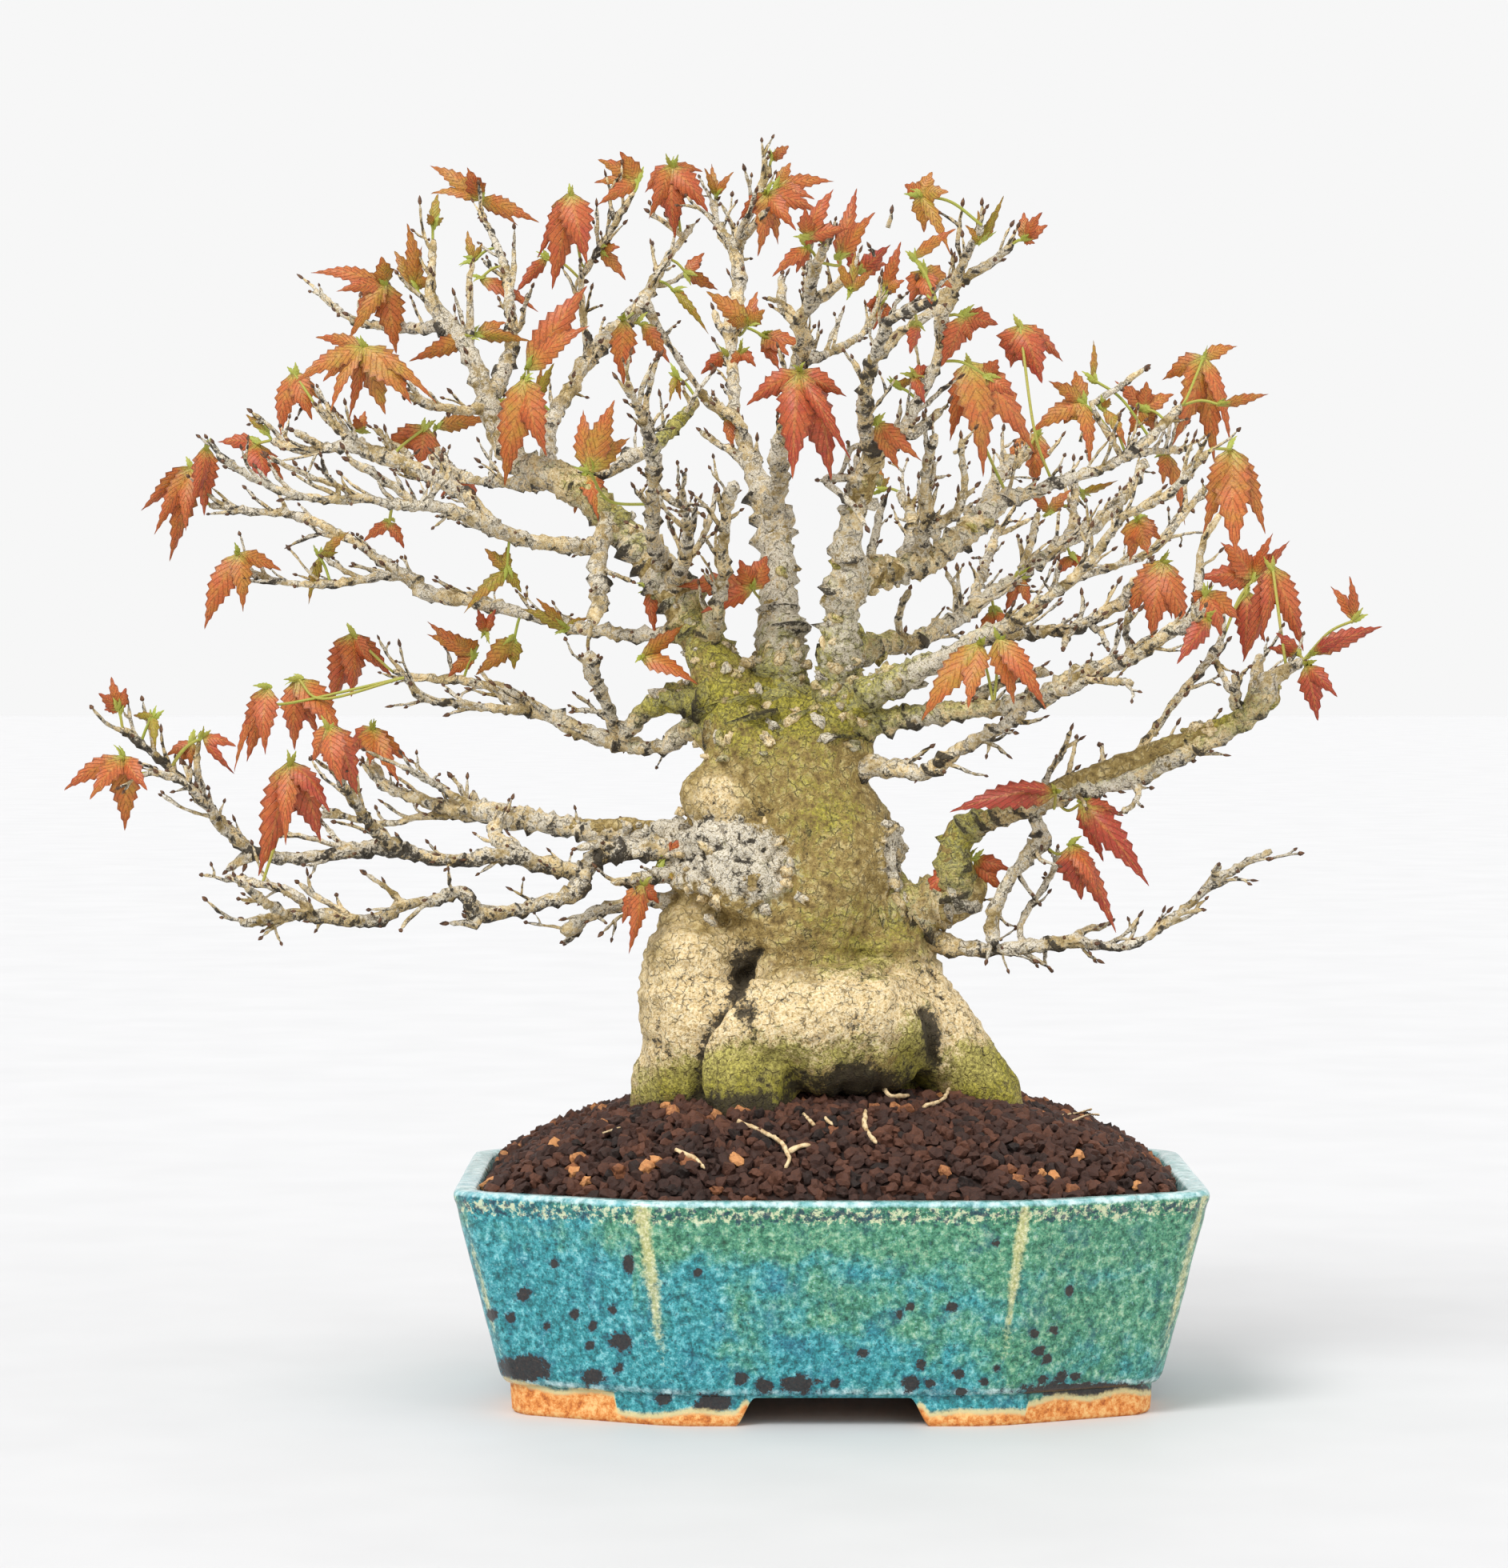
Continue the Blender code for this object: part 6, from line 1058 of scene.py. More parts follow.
def groove(x, z):
    """Depth of the worked lines at (x, z), and the painted shade that darkens their grooves."""
    total = 0.0
    dark = 0.0
    for line, depth, half in CREASES:
        near = 1e9
        for (ax, az), (bx, bz) in zip(line, line[1:]):
            run_x, run_z = bx - ax, bz - az
            share = ((x - ax) * run_x + (z - az) * run_z) / (run_x ** 2 + run_z ** 2)
            share = min(max(share, 0.0), 1.0)
            near = min(near, (x - ax - run_x * share) ** 2 + (z - az - run_z * share) ** 2)
        if near < 16 * half * half:
            strength = math.exp(-near / half ** 2)
            total += depth * strength
            dark += max(depth, 0.0) * strength
    return total, dark


def limb_depths(start, end, points):
    """Depth at each point of a limb, in step with the length along it."""
    lengths = [0.0]
    for (ax, az, _), (bx, bz, _) in zip(points, points[1:]):
        lengths.append(lengths[-1] + math.hypot(bx - ax, bz - az))
    return [start + (end - start) * length / lengths[-1] for length in lengths]


def nearest_stop(limbs, x, z):
    """The limb stop (x, z, depth, radius) that shows nearest to (x, z)."""
    return min((stop for stops in limbs for stop in stops), key=lambda s: (s[0] - x) ** 2 + (s[1] - z) ** 2)


def place_limbs():
    """Every limb as (x, z, depth, radius) stops, each starting at its parent's depth."""
    placed = {}
    for name, (parent, end, points) in LIMBS.items():
        start = nearest_stop([placed[parent]], *points[0][:2])[2] if parent else 0.0
        depths = limb_depths(start, end, points)
        placed[name] = [(x, z, depth, radius) for (x, z, radius), depth in zip(points, depths)]
    return placed


def trunk_skin(limbs):
    """One smooth skin round the trunk's masses and the thick starts of its limbs, in millimetres."""
    bm = bmesh.new()
    balls = []
    for chain in TRUNK_MASSES + FILLING_MASSES:
        stops = [(on_tree(x, z, depth), radius) for x, z, depth, radius in chain]
        if len(stops) == 1:
            balls.append(stops[0])
        for (start, start_radius), (end, end_radius) in zip(stops, stops[1:]):
            count = 1 + int((end - start).length / 2.5)
            for i in range(count + 1):
                share = i / count
                balls.append((start.lerp(end, share), start_radius + (end_radius - start_radius) * share))
    for name, (parent, _, points) in LIMBS.items():
        if points[0][2] < 4.0 or parent and points[0][2] < 4.4:
            continue
        stops = [(on_tree(x, z, depth), radius) for x, z, depth, radius in limbs[name] if radius > 2.9]
        if len(stops) < 2:
            continue
        path = smooth_path(stops, 1.2)
        for i, (point, radius) in enumerate(path):
            balls.append((point, radius * (1.14 - 0.34 * i / len(path))))
    for centre, radius in balls:
        detail = 3 if radius > 7 else 2
        bmesh.ops.create_icosphere(bm, subdivisions=detail, radius=radius, matrix=Matrix.Translation(centre))
    mesh = bpy.data.meshes.new("skin")
    bm.to_mesh(mesh)
    bm.free()
    obj = bpy.data.objects.new("skin", mesh)
    bpy.context.scene.collection.objects.link(obj)
    remesh = obj.modifiers.new("skin", "REMESH")
    remesh.mode = "VOXEL"
    remesh.voxel_size = SKIN_VOXEL
    skin = bpy.data.meshes.new_from_object(obj.evaluated_get(bpy.context.evaluated_depsgraph_get()))
    bpy.data.objects.remove(obj)
    return skin


def smooth_mesh(mesh, rounds):
    """Even a mesh out by moving each vertex to the middle of its neighbours."""
    count = len(mesh.vertices)
    place = np.empty(count * 3)
    mesh.vertices.foreach_get("co", place)
    place = place.reshape(-1, 3)
    edges = np.empty(len(mesh.edges) * 2, dtype=int)
    mesh.edges.foreach_get("vertices", edges)
    a, b = edges[::2], edges[1::2]
    degree = np.bincount(edges, minlength=count)[:, None]
    for _ in range(rounds):
        total = np.zeros_like(place)
        np.add.at(total, a, place[b])
        np.add.at(total, b, place[a])
        place = place * 0.4 + total / degree * 0.6
    mesh.vertices.foreach_set("co", place.ravel())
    mesh.update()


def trunk(limbs):
    """The trunk's skin with lumps, wrinkles, cracks and creases."""
    mesh = trunk_skin(limbs)
    smooth_mesh(mesh, 5)
    shape = Shape()
    verts = []
    columns = {"moss": [], "pale": [], "lichen": [], "dark": []}
    for vertex, normal in zip(mesh.vertices, mesh.vertex_normals):
        p = vertex.co
        n = normal.vector
        x, z = elevation(p)
        lichen = zone("lichen", x, z)
        pale = zone("pale", x, z)
        line, crease_shade = groove(x, z) if n.dot(FACING) > -0.1 else (0.0, 0.0)
        lump = 1.1 * noise.fractal(p / 15, 1.0, 2.0, 3)
        ridge = 0.75 * noise.noise(Vector((p.x / 2.6, p.y / 2.6, p.z / 11)))
        wrinkle = smoothstep(94, 112, z) * smoothstep(132, 120, z) * 1.2
        wrinkle *= noise.noise(Vector((p.x / 13, p.y / 13, p.z / 1.7 + 0.04 * p.x)))
        flank = math.exp(-((x - 20) / 7) ** 2 - ((z - 146) / 15) ** 2)
        flank *= 0.9 * math.sin(2.1 * x + 3.0 * noise.noise(p / 12))
        near = noise.voronoi(p / 5.5)[0]
        crack = 1.0 - smoothstep(0.0, 0.16, near[1] - near[0])
        crack *= 0.25 + 0.75 * min(pale, 1.0) * smoothstep(80, 95, z)
        crust = noise.voronoi(p / 2.7 + noise.noise_vector(p / 4) * 0.4)[0][0]
        rough = (0.32 + 0.3 * lichen) * noise.fractal(p / 2.4, 0.8, 2.1, 3) + lichen * 2.4 * (0.42 - crust)
        grain = 0.16 * noise.noise(p / 0.9)
        push = lump + ridge + wrinkle + flank + rough + grain - 0.45 * crack - line
        verts.append(p + n * push)
        # Painted shade: the skin is darkened where it is pushed in.
        hollow_shade = smoothstep(0.1, -1.3, push)
        columns["moss"].append(zone("moss", x, z) + 0.35 * smoothstep(100, 78, z) + 0.12 * max(n.z, 0.0))
        columns["pale"].append(pale)
        columns["lichen"].append(lichen)
        # Painted shade in the spaces between the lumps of lichen crust, where the skin sinks.
        gap = lichen * smoothstep(0.50, 0.72, crust)
        # dark: the dark zones, plus painted shade in the pushed-in recesses, the sunk cracks, the crease
        # grooves and the spaces in the lichen crust.
        columns["dark"].append(zone("dark", x,
                                    z) + 0.35 * hollow_shade + 0.28 * crack + 0.13 * crease_shade + 0.45 * gap)
    shape.add(verts, [tuple(face.vertices) for face in mesh.polygons], **columns)
    return shape


MOSSY = {
    "right_low": 0.85, "right_fourth": 0.75, "left_trunk": 0.8, "left_moss_limb": 1.2, "inner_moss": 1.2,
    "right_third": 0.65, "right_trunk": 0.6, "right_first": 0.6, "middle_trunk": 0.55, "right_second": 0.5,
    "right_stub": 0.9, "left_second": 0.35, "right_tie": 0.4, "left_second_rise": 0.5}
DARK_BARK = {
    "left_dark": 0.34, "left_lowest": 0.22, "right_lowest": 0.20, "left_dark_rise": 0.25,
    "right_third_b": 0.2,
    "crown_right": 0.15, "left_top_rise": 0.25, "right_low_rise": 0.1, "left_dark_twin": 0.1}


def limb_colours(moss, dark):
    """How a limb's bark varies: moss on its upper side near the trunk, pale skin with dark knots, and painted
    shade on its underside.
    """
    def colours(point, out, share, knot):
        x, z = elevation(point)
        patch = noise.noise(point / 6.0)
        return {
            "moss": zone("moss", x, z) * 0.8 + moss * (0.62 + 0.38 * out.z) * (1 - 0.75 * share) - 0.06,
            "pale": 0.50 + 0.40 * patch,
            "lichen": 0.48 + 0.40 * noise.noise(point / 9.0) + 0.6 * zone("lichen", x, z),
            # dark: the limb's own dark bark and knots, plus painted shade that darkens its underside.
            "dark": dark + 1.5 * knot + 0.25 * patch + 0.12 - 0.26 * out.z}
    return colours


def bud(shape, place, direction, length, radius):
    """A small pointed bud."""
    sides = 5
    verts = []
    profile = ((0.0, 0.6), (0.3, 1.0), (0.65, 0.75), (1.0, 0.1))
    _, side, other = frames([place, place + direction])[0]
    for share, width in profile:
        for k in range(sides):
            turn = 2 * math.pi * k / sides
            out = side * math.cos(turn) + other * math.sin(turn)
            verts.append(place + direction * length * share + out * radius * width)
    shape.add(verts, grid_faces(len(profile), sides, closed=True) + [tuple(range(sides))[::-1]])


def ball():
    """Vertices and faces of a small round lump."""
    bm = bmesh.new()
    bmesh.ops.create_icosphere(bm, subdivisions=2, radius=1.0)
    verts = [vertex.co.copy() for vertex in bm.verts]
    faces = [tuple(vertex.index for vertex in face.verts) for face in bm.faces]
    bm.free()
    return verts, faces


BALL_VERTS, BALL_FACES = ball()


def nodules(shape, skin):
    """Knobs of old bark and lichen on the trunk's hub and where its limbs part."""
    made = 0
    while made < NODULE_COUNT:
        p = skin.verts[rng.randrange(len(skin.verts))]
        x, z = elevation(p)
        if rng.random() > 0.75 * zone("lichen", x, z) + 0.5 * smoothstep(166, 180, z):
            continue
        made += 1
        size = rng.uniform(0.6, 1.9)
        seed = any_direction() * 9
        turn = Matrix.Rotation(rng.uniform(0, 6.28), 3, any_direction())
        verts = []
        for place in BALL_VERTS:
            lump = 1.0 + 0.9 * noise.noise(place * 1.1 + seed)
            verts.append(p + turn @ Vector((place.x * 1.5, place.y, place.z * 0.8)) * size * lump)
        shape.add(verts, BALL_FACES, moss=rng.uniform(-0.2, 0.75) * smoothstep(150, 170, z),
                  pale=rng.uniform(0.3, 1.0),
                  lichen=rng.uniform(0.0, 0.8), dark=rng.uniform(-0.2, 0.5))


def any_direction():
    """A random direction."""
    return Vector((rng.gauss(0, 1), rng.gauss(0, 1), rng.gauss(0, 1))).normalized()


def fine_twigs(twigs, buds, path, every, reach):
    """Short twigs with buds along a limb's path."""
    centre = on_tree(-5, 205)
    travelled = rng.uniform(0, every)
    for (a, radius), (b, _) in zip(path, path[1:]):
        step = (b - a).length
        travelled += step
        if travelled < every or radius > TWIG_BEARER:
            continue
        travelled = rng.uniform(-0.5, 0.4) * every
        along = (b - a).normalized()
        outward = (a - centre).normalized()
        heading = (along * 0.9 + outward * 0.5 + any_direction() * 0.75 + Vector((0, 0, 0.25))).normalized()
        length = rng.uniform(0.35, 1.0) * reach
        start = min(radius * 0.75, rng.uniform(0.42, 0.80))
        stops = [(a, start)]
        place = a
        for _ in range(3):
            heading = (heading + any_direction() * 0.28 + Vector((0, 0, 0.08))).normalized()
            place = place + heading * length / 3
            stops.append((place, stops[-1][1] * 0.86))
        limb_mesh(twigs, stops, 1.6, 5, 0.7, limb_colours(0.0, 0.12))
        bud(buds, place, heading, rng.uniform(1.2, 2.6), rng.uniform(0.4, 0.7))
        if length > 7.0 and rng.random() < 0.7:
            fork = stops[rng.choice((1, 2))]
            aside = (heading + any_direction() * 0.9).normalized()
            tip = fork[0] + aside * rng.uniform(2.5, 6.0)
            limb_mesh(twigs, [fork, ((fork[0] + tip) / 2 + any_direction() * 0.4, fork[1] * 0.85),
                              (tip, 0.3)],
                      1.6, 5, 0.7, limb_colours(0.0, 0.15))
            bud(buds, tip, aside, 1.5, 0.5)
        elif rng.random() < 0.6:
            bud(buds, stops[2][0], (heading + any_direction()).normalized(), 1.4, 0.5)


def branches(limbs):
    """The limbs, their twigs and their buds as three shapes."""
    wood, twigs, buds = Shape(), Shape(), Shape()
    for name, stops in limbs.items():
        placed = [(on_tree(x, z, depth), radius) for x, z, depth, radius in stops]
        thick = max(radius for _, radius in placed) > 3.0
        colours = limb_colours(MOSSY.get(name, 0.12), DARK_BARK.get(name, 0.0))
        limb_mesh(wood, placed, 1.25, 12 if thick else 9, 1.0, colours)
        path = smooth_path(placed, 2.0)
        fine_twigs(twigs, buds, path[len(path) // 6:], TWIG_EVERY, TWIG_REACH)
        for place, radius in path[2::3]:
            if radius < 2.6 and rng.random() < 0.55:
                out = any_direction()
                bud(buds, place + out * radius * 0.7, out, rng.uniform(0.9, 1.9), rng.uniform(0.4, 0.8))
    for points in TWIGS:
        x, z, radius = points[0]
        stop = nearest_stop(limbs.values(), x, z)
        depths = limb_depths(stop[2], stop[2] + rng.uniform(-14, 14), points)
        placed = [(on_tree(x, z, depth), radius) for (x, z, radius), depth in zip(points, depths)]
        placed.insert(0, (on_tree(*stop[:3]), placed[0][1]))
        limb_mesh(twigs, placed, 1.3, 7, 0.8, limb_colours(0.1, 0.05))
        path = smooth_path(placed, 2.0)
        fine_twigs(twigs, buds, path, TIP_TWIG_EVERY, TIP_TWIG_REACH)
        ahead = (placed[-1][0] - placed[-2][0]).normalized()
        bud(buds, placed[-1][0], ahead, rng.uniform(1.4, 2.6), rng.uniform(0.5, 0.8))
    return wood, twigs, buds


# --- leaves ------------------------------------------------------------------------------------
def lobe(shape, base, tip, width, red, roll, bow):
    """A pointed lobe with toothed edges, folded along its midrib and bowed."""
    reach = tip - base
    length = reach.length
    direction = reach / length
    across = direction.cross(FACING).normalized()
    across = Matrix.Rotation(roll, 3, direction) @ across
    normal = across.cross(direction)
    if normal.dot(FACING) < 0:
        normal = -normal
    rows = max(8, min(18, round(length * 0.8)))
    verts, along, sides = [], [], []
    for i in range(rows + 1):
        t = i / rows
        profile = 0.20 * (1 - t) ** 2 + 1.12 * math.sin(math.pi * t ** 0.72) ** 1.15 * (1 - 0.40 * t)
        tooth = (1.13 if i % 2 else 0.84) if 0.12 < t < 0.93 else 1.0
        centre = base + reach * t + normal * bow * length * math.sin(math.pi * t)
        centre = centre + Vector((0, 0, 0.04 * length * math.sin(math.pi * t)))
        half = width / 2 * profile + 0.05
        for u in (-1.0, -0.55, 0.0, 0.55, 1.0):
            wide = half * u * (tooth if abs(u) == 1.0 else 1.0)
            forward = 0.35 * length / rows if abs(u) == 1.0 and i % 2 else 0.0
            fold = -0.38 * abs(u) ** 1.3 * half + 0.16 * half * math.sin(4.2 * t + 2.0 * u + red * 7.0)
            verts.append(centre + across * wide + normal * fold + direction * forward)
            along.append(t)
            sides.append(u)
    shape.add(verts, grid_faces(rows + 1, 5), along=along, across=sides, red=red)


def shoot(blades, stalks, points, tips, red):
    """A leaf shoot: its stalk, bud scales and lobes. tips are (point, width)."""
    base = points[-1]
    path = smooth_path([(point, 0.42) for point in points], 1.2)
    lines = frames([point for point, _ in path])
    verts = []
    for (point, radius), (_, side, other) in zip(path, lines):
        for k in range(6):
            turn = math.pi * k / 3
            verts.append(point + (side * math.cos(turn) + other * math.sin(turn)) * radius)
    stalks.add(verts, grid_faces(len(path), 6, closed=True), along=0.0, across=0.0, red=0.35 * red)
    rise = (base - points[0]).normalized()
    for _ in range(3):
        heading = (rise + any_direction() * 0.55 + Vector((0, 0, 0.2))).normalized()
        start = base - rise * rng.uniform(0.5, 2.0)
        lobe(stalks, start, start + heading * rng.uniform(3.0, 5.5), 1.5, 0.2 * red, rng.uniform(-1, 1), 0.1)
    for tip, width in tips:
        roll = rng.uniform(-0.55, 0.55)
        bow = rng.uniform(0.06, 0.14)
        lobe(blades, base, tip, width / math.cos(roll) * 1.08, red + rng.uniform(-0.14, 0.14), roll, bow)


def leaves(limbs):
    """Every leaf shoot. The large ones stand for their CAD nodes, the small ones are one piece."""
    stalks = Shape()
    for name, (limb, beyond, stalk, red, lobes) in LEAVES.items():
        start = nearest_stop([limbs[limb]], *stalk[0])
        count = len(stalk) - 1
        points = [on_tree(x, z, start[2] + beyond * i / count) for i, (x, z) in enumerate(stalk)]
        points.insert(0, on_tree(*start[:3]))
        depth = start[2] + beyond
        blades = Shape()
        tips = [(on_tree(x, z, depth + (-4.0 if i % 2 else 3.0) + rng.uniform(-2, 2)), width)
                for i, (x, z, width) in enumerate(lobes)]
        shoot(blades, stalks, points, tips, red)
        blades.piece(name + "_blades", LEAF, [name], "young_leaf")
    blades = Shape()
    for (x, z), red, lobes in SMALL_LEAVES:
        stop = nearest_stop(limbs.values(), x, z)
        depth = stop[2] + rng.uniform(-4, 4)
        base = on_tree(x, z, depth)
        start = on_tree(*stop[:3])
        middle = start.lerp(base, 0.5) + Vector((0, 0, 0.12 * (base - start).length))
        tips = [(on_tree(x, z, depth + rng.uniform(-5, 5)), width) for x, z, width in lobes]
        shoot(blades, stalks, [start, middle, base], tips, red)
    blades.piece("small_leaf_blades", LEAF, slot="young_leaf")
    stalks.piece("leaf_stalks_and_bud_scales", STALK, slot="young_leaf")


# --- pot ---------------------------------------------------------------------------------------
FRONT_HALF = 50.0  # half the width of the front face
SIDE_HALF = 54.0


def octagon():
    """The pot's plan: an elongated octagon with its corners cut back, from its middle."""
    half_x, half_y = POT_WIDTH / 2, POT_DEPTH / 2
    quarter = [(half_x, SIDE_HALF), (FRONT_HALF, half_y)]
    corners = quarter + [(-x, y) for x, y in reversed(quarter)]
    corners += [(-x, -y) for x, y in corners]
    ring = []
    for i, (x, y) in enumerate(corners):
        here = Vector((x, y))
        for near in (corners[i - 1], corners[(i + 1) % 8]):
            ring.append(here + 4.5 * (Vector(near) - here).normalized())
    return ring


def fine_outline(spacing):
    """The octagon as evenly spaced points with its corners rounded."""
    ring = octagon()
    for _ in range(3):
        cut = []
        for a, b in zip(ring, ring[1:] + ring[:1]):
            near = min(0.25, 1.2 / (b - a).length)
            cut += [a.lerp(b, near), b.lerp(a, near)]
        ring = cut
    points = []
    for a, b in zip(ring, ring[1:] + ring[:1]):
        count = max(1, round((b - a).length / spacing))
        points += [a.lerp(b, i / count) for i in range(count)]
    return points


# Wall profile: (share of the outline, height), up the outside, over the rim and down the inside
WALL = [
    (0.780, 8.0), (0.856, 8.0), (0.864, 8.3), (0.872, 9.1), (0.880, 10.6), (0.886, 12.4), (0.8915, 14.6),
    (0.9005, 18.0), (0.985, 52.4), (0.9885, 54.6), (0.993, 56.2), (0.9975, 57.2), (0.9995, 58.3),
    (0.999, 59.2), (0.993, 59.9), (0.983, 60.1), (0.955, 60.1), (0.945, 59.8), (0.938, 58.8), (0.934, 57.0),
    (0.930, 54.5)]
FOOT = [
    (0.775, 9.0), (0.768, 5.5), (0.763, 1.0), (0.768, 0.0), (0.842, 0.0), (0.849, 0.9), (0.852, 4.5),
    (0.854, 9.0)]
# Dark iron spots of the glaze as seen from the front: (x, z, half width, half height)
SPOTS = [
    (-80, 17, 5.5, 3), (-55, 24, 2.6, 2.1), (-53, 44, 1.1, 2.1), (-80, 36, 1.6, 1.5), (-88, 31, 1.3, 1.2),
    (-83, 30, 1.1, 1.1), (-67, 31, 1.3, 1.0), (-62, 28, 1.1, 1.1), (-57, 32, 1.0, 1.0), (-63, 23, 1.0, 1.0),
    (-62, 15, 2.5, 1.6), (-55.5, 17, 1.3, 1.0), (-74, 28, 1.0, 0.9), (-72, 44, 1.0, 1.0), (-35, 42, 0.9, 0.9),
    (-24, 14.5, 1.4, 1.3), (-18, 12.5, 1.8, 1.6), (-9, 13, 3.6, 2.1), (0.5, 13, 1.1, 1.0), (-31, 8, 4.0, 1.8),
    (-44, 9, 1.8, 1.3), (42, 49.5, 1.0, 1.0), (30.5, 33, 1.2, 1.2), (20, 33, 0.9, 0.9), (17, 31, 0.9, 0.9),
    (7.5, 21, 1.0, 1.0), (52, 26, 1.2, 1.0), (57, 27, 1.0, 1.0), (53, 21.5, 1.2, 1.2), (55, 19.5, 1.2, 1.0),
    (61, 37, 1.0, 1.0), (22.5, 18, 1.0, 1.0), (32.5, 15.5, 1.2, 1.1), (20, 13, 2.0, 1.8), (25, 13, 1.1, 1.0),
    (39, 13.5, 1.2, 1.0), (33, 11, 1.2, 1.0), (42, 17, 0.9, 0.9), (59, 15, 1.2, 1.1), (62.5, 15, 1.1, 1.0),
    (54, 14, 1.0, 1.0), (66, 11.5, 15, 1.5)]


def front_elevation(point):
    """Where a point of the pot shows on an upright plane at the pot's front, and if it faces it."""
    seen = point - POT_CENTRE
    scale = (-POT_DEPTH / 2 - EYE.y) / (seen.y - EYE.y)
    is_front = seen.y < 0.15 * abs(seen.x) - 20
    return EYE.x + (seen.x - EYE.x) * scale, EYE.z + (seen.z - EYE.z) * scale, is_front


def glaze_values(point, outside, others):
    """Soft fields that steer the glaze at a point: green, fleck, seam, lip, spot and clay."""
    x, z, front = front_elevation(point)
    spot = 0.0
    if front and outside:
        for sx, sz, wide, high in SPOTS:
            near = ((x - sx) / wide) ** 2 + ((z - sz) / high) ** 2
            if near < 9:
                spot = max(spot, math.exp(-near * 0.7))
    elif outside:
        for sx, sz, size in others:
            near = ((point.x - sx) ** 2 + (point.z - sz) ** 2) / size ** 2
            if near < 9:
                spot = max(spot, math.exp(-near * 0.7))
    flat = Vector((point.x - POT_CENTRE.x, point.y - POT_CENTRE.y))
    flat = flat / (0.83 + 0.17 * min(max(point.z, 0.0) / POT_HEIGHT, 1.0))
    seam = 0.0
    for i, (cx, cy) in enumerate(CORNERS):
        near = (flat - Vector((cx, cy))).length
        wide = 2.0 + 0.5 * (i % 3) + 1.1 * noise.noise(Vector((i * 7.0, 0.0, point.z / 9)))
        seam = max(seam, math.exp(-(near / wide) ** 2))
    seam *= 0.25 + 0.55 * smoothstep(10, 34, point.z) + 0.2 * smoothstep(40, 55, point.z) if outside else 0.3
    right = x / 100 if front else 0.3 * math.sin(x / 30)
    green = 0.35 + 0.45 * right + 0.75 * smoothstep(40, 52, point.z) - 0.25 * smoothstep(30, 12, point.z)
    if front and x < -52:
        green -= 0.45
    fleck = smoothstep(51.5, 55.5, point.z) * smoothstep(59.4, 58.0, point.z) * 0.62
    lip = 0.75 * smoothstep(58.0, 59.3, point.z) + 0.55 * math.exp(-((point.z - 9.4) / 0.8) ** 2)
    edge = 3.4 + 1.9 * noise.noise(Vector((point.x / 13, point.y / 13, 0.0)))
    if front and x < -56:
        edge += 4.2
    if front and x > 50:
        edge += 2.4
    clay = 0.5 + (edge - point.z) / 3.5
    if not outside:
        clay = 0.9 if point.z < 12 else -0.5
    return {"green": green, "fleck": fleck if outside else 0.2, "seam": seam, "lip": lip if outside else 0.6,
            "spot": spot, "clay": clay}


CORNERS = [(sx * x, sy * y) for x, y in ((POT_WIDTH / 2, SIDE_HALF), (FRONT_HALF, POT_DEPTH / 2))
           for sx in (-1, 1) for sy in (-1, 1)]


def dense(profile, spacing):
    """The profile with extra points so that no step is longer than the spacing."""
    result = []
    half = POT_WIDTH / 2
    for (a, low), (b, high) in zip(profile, profile[1:]):
        count = max(1, round(math.hypot((b - a) * half, high - low) / spacing))
        result += [(a + (b - a) * i / count, low + (high - low) * i / count) for i in range(count)]
    return result + [profile[-1]]


def foot_lift(x, y):
    """0 where the foot stands, towards 1 inside one of its four gaps, from where a point lies."""
    front = abs(y) / (POT_DEPTH / 2) > abs(x) / (POT_WIDTH / 2)
    place, low, high = (abs(x), 20.0, 25.5) if front else (abs(y), 17.0, 22.5)
    return smoothstep(high, low, place)


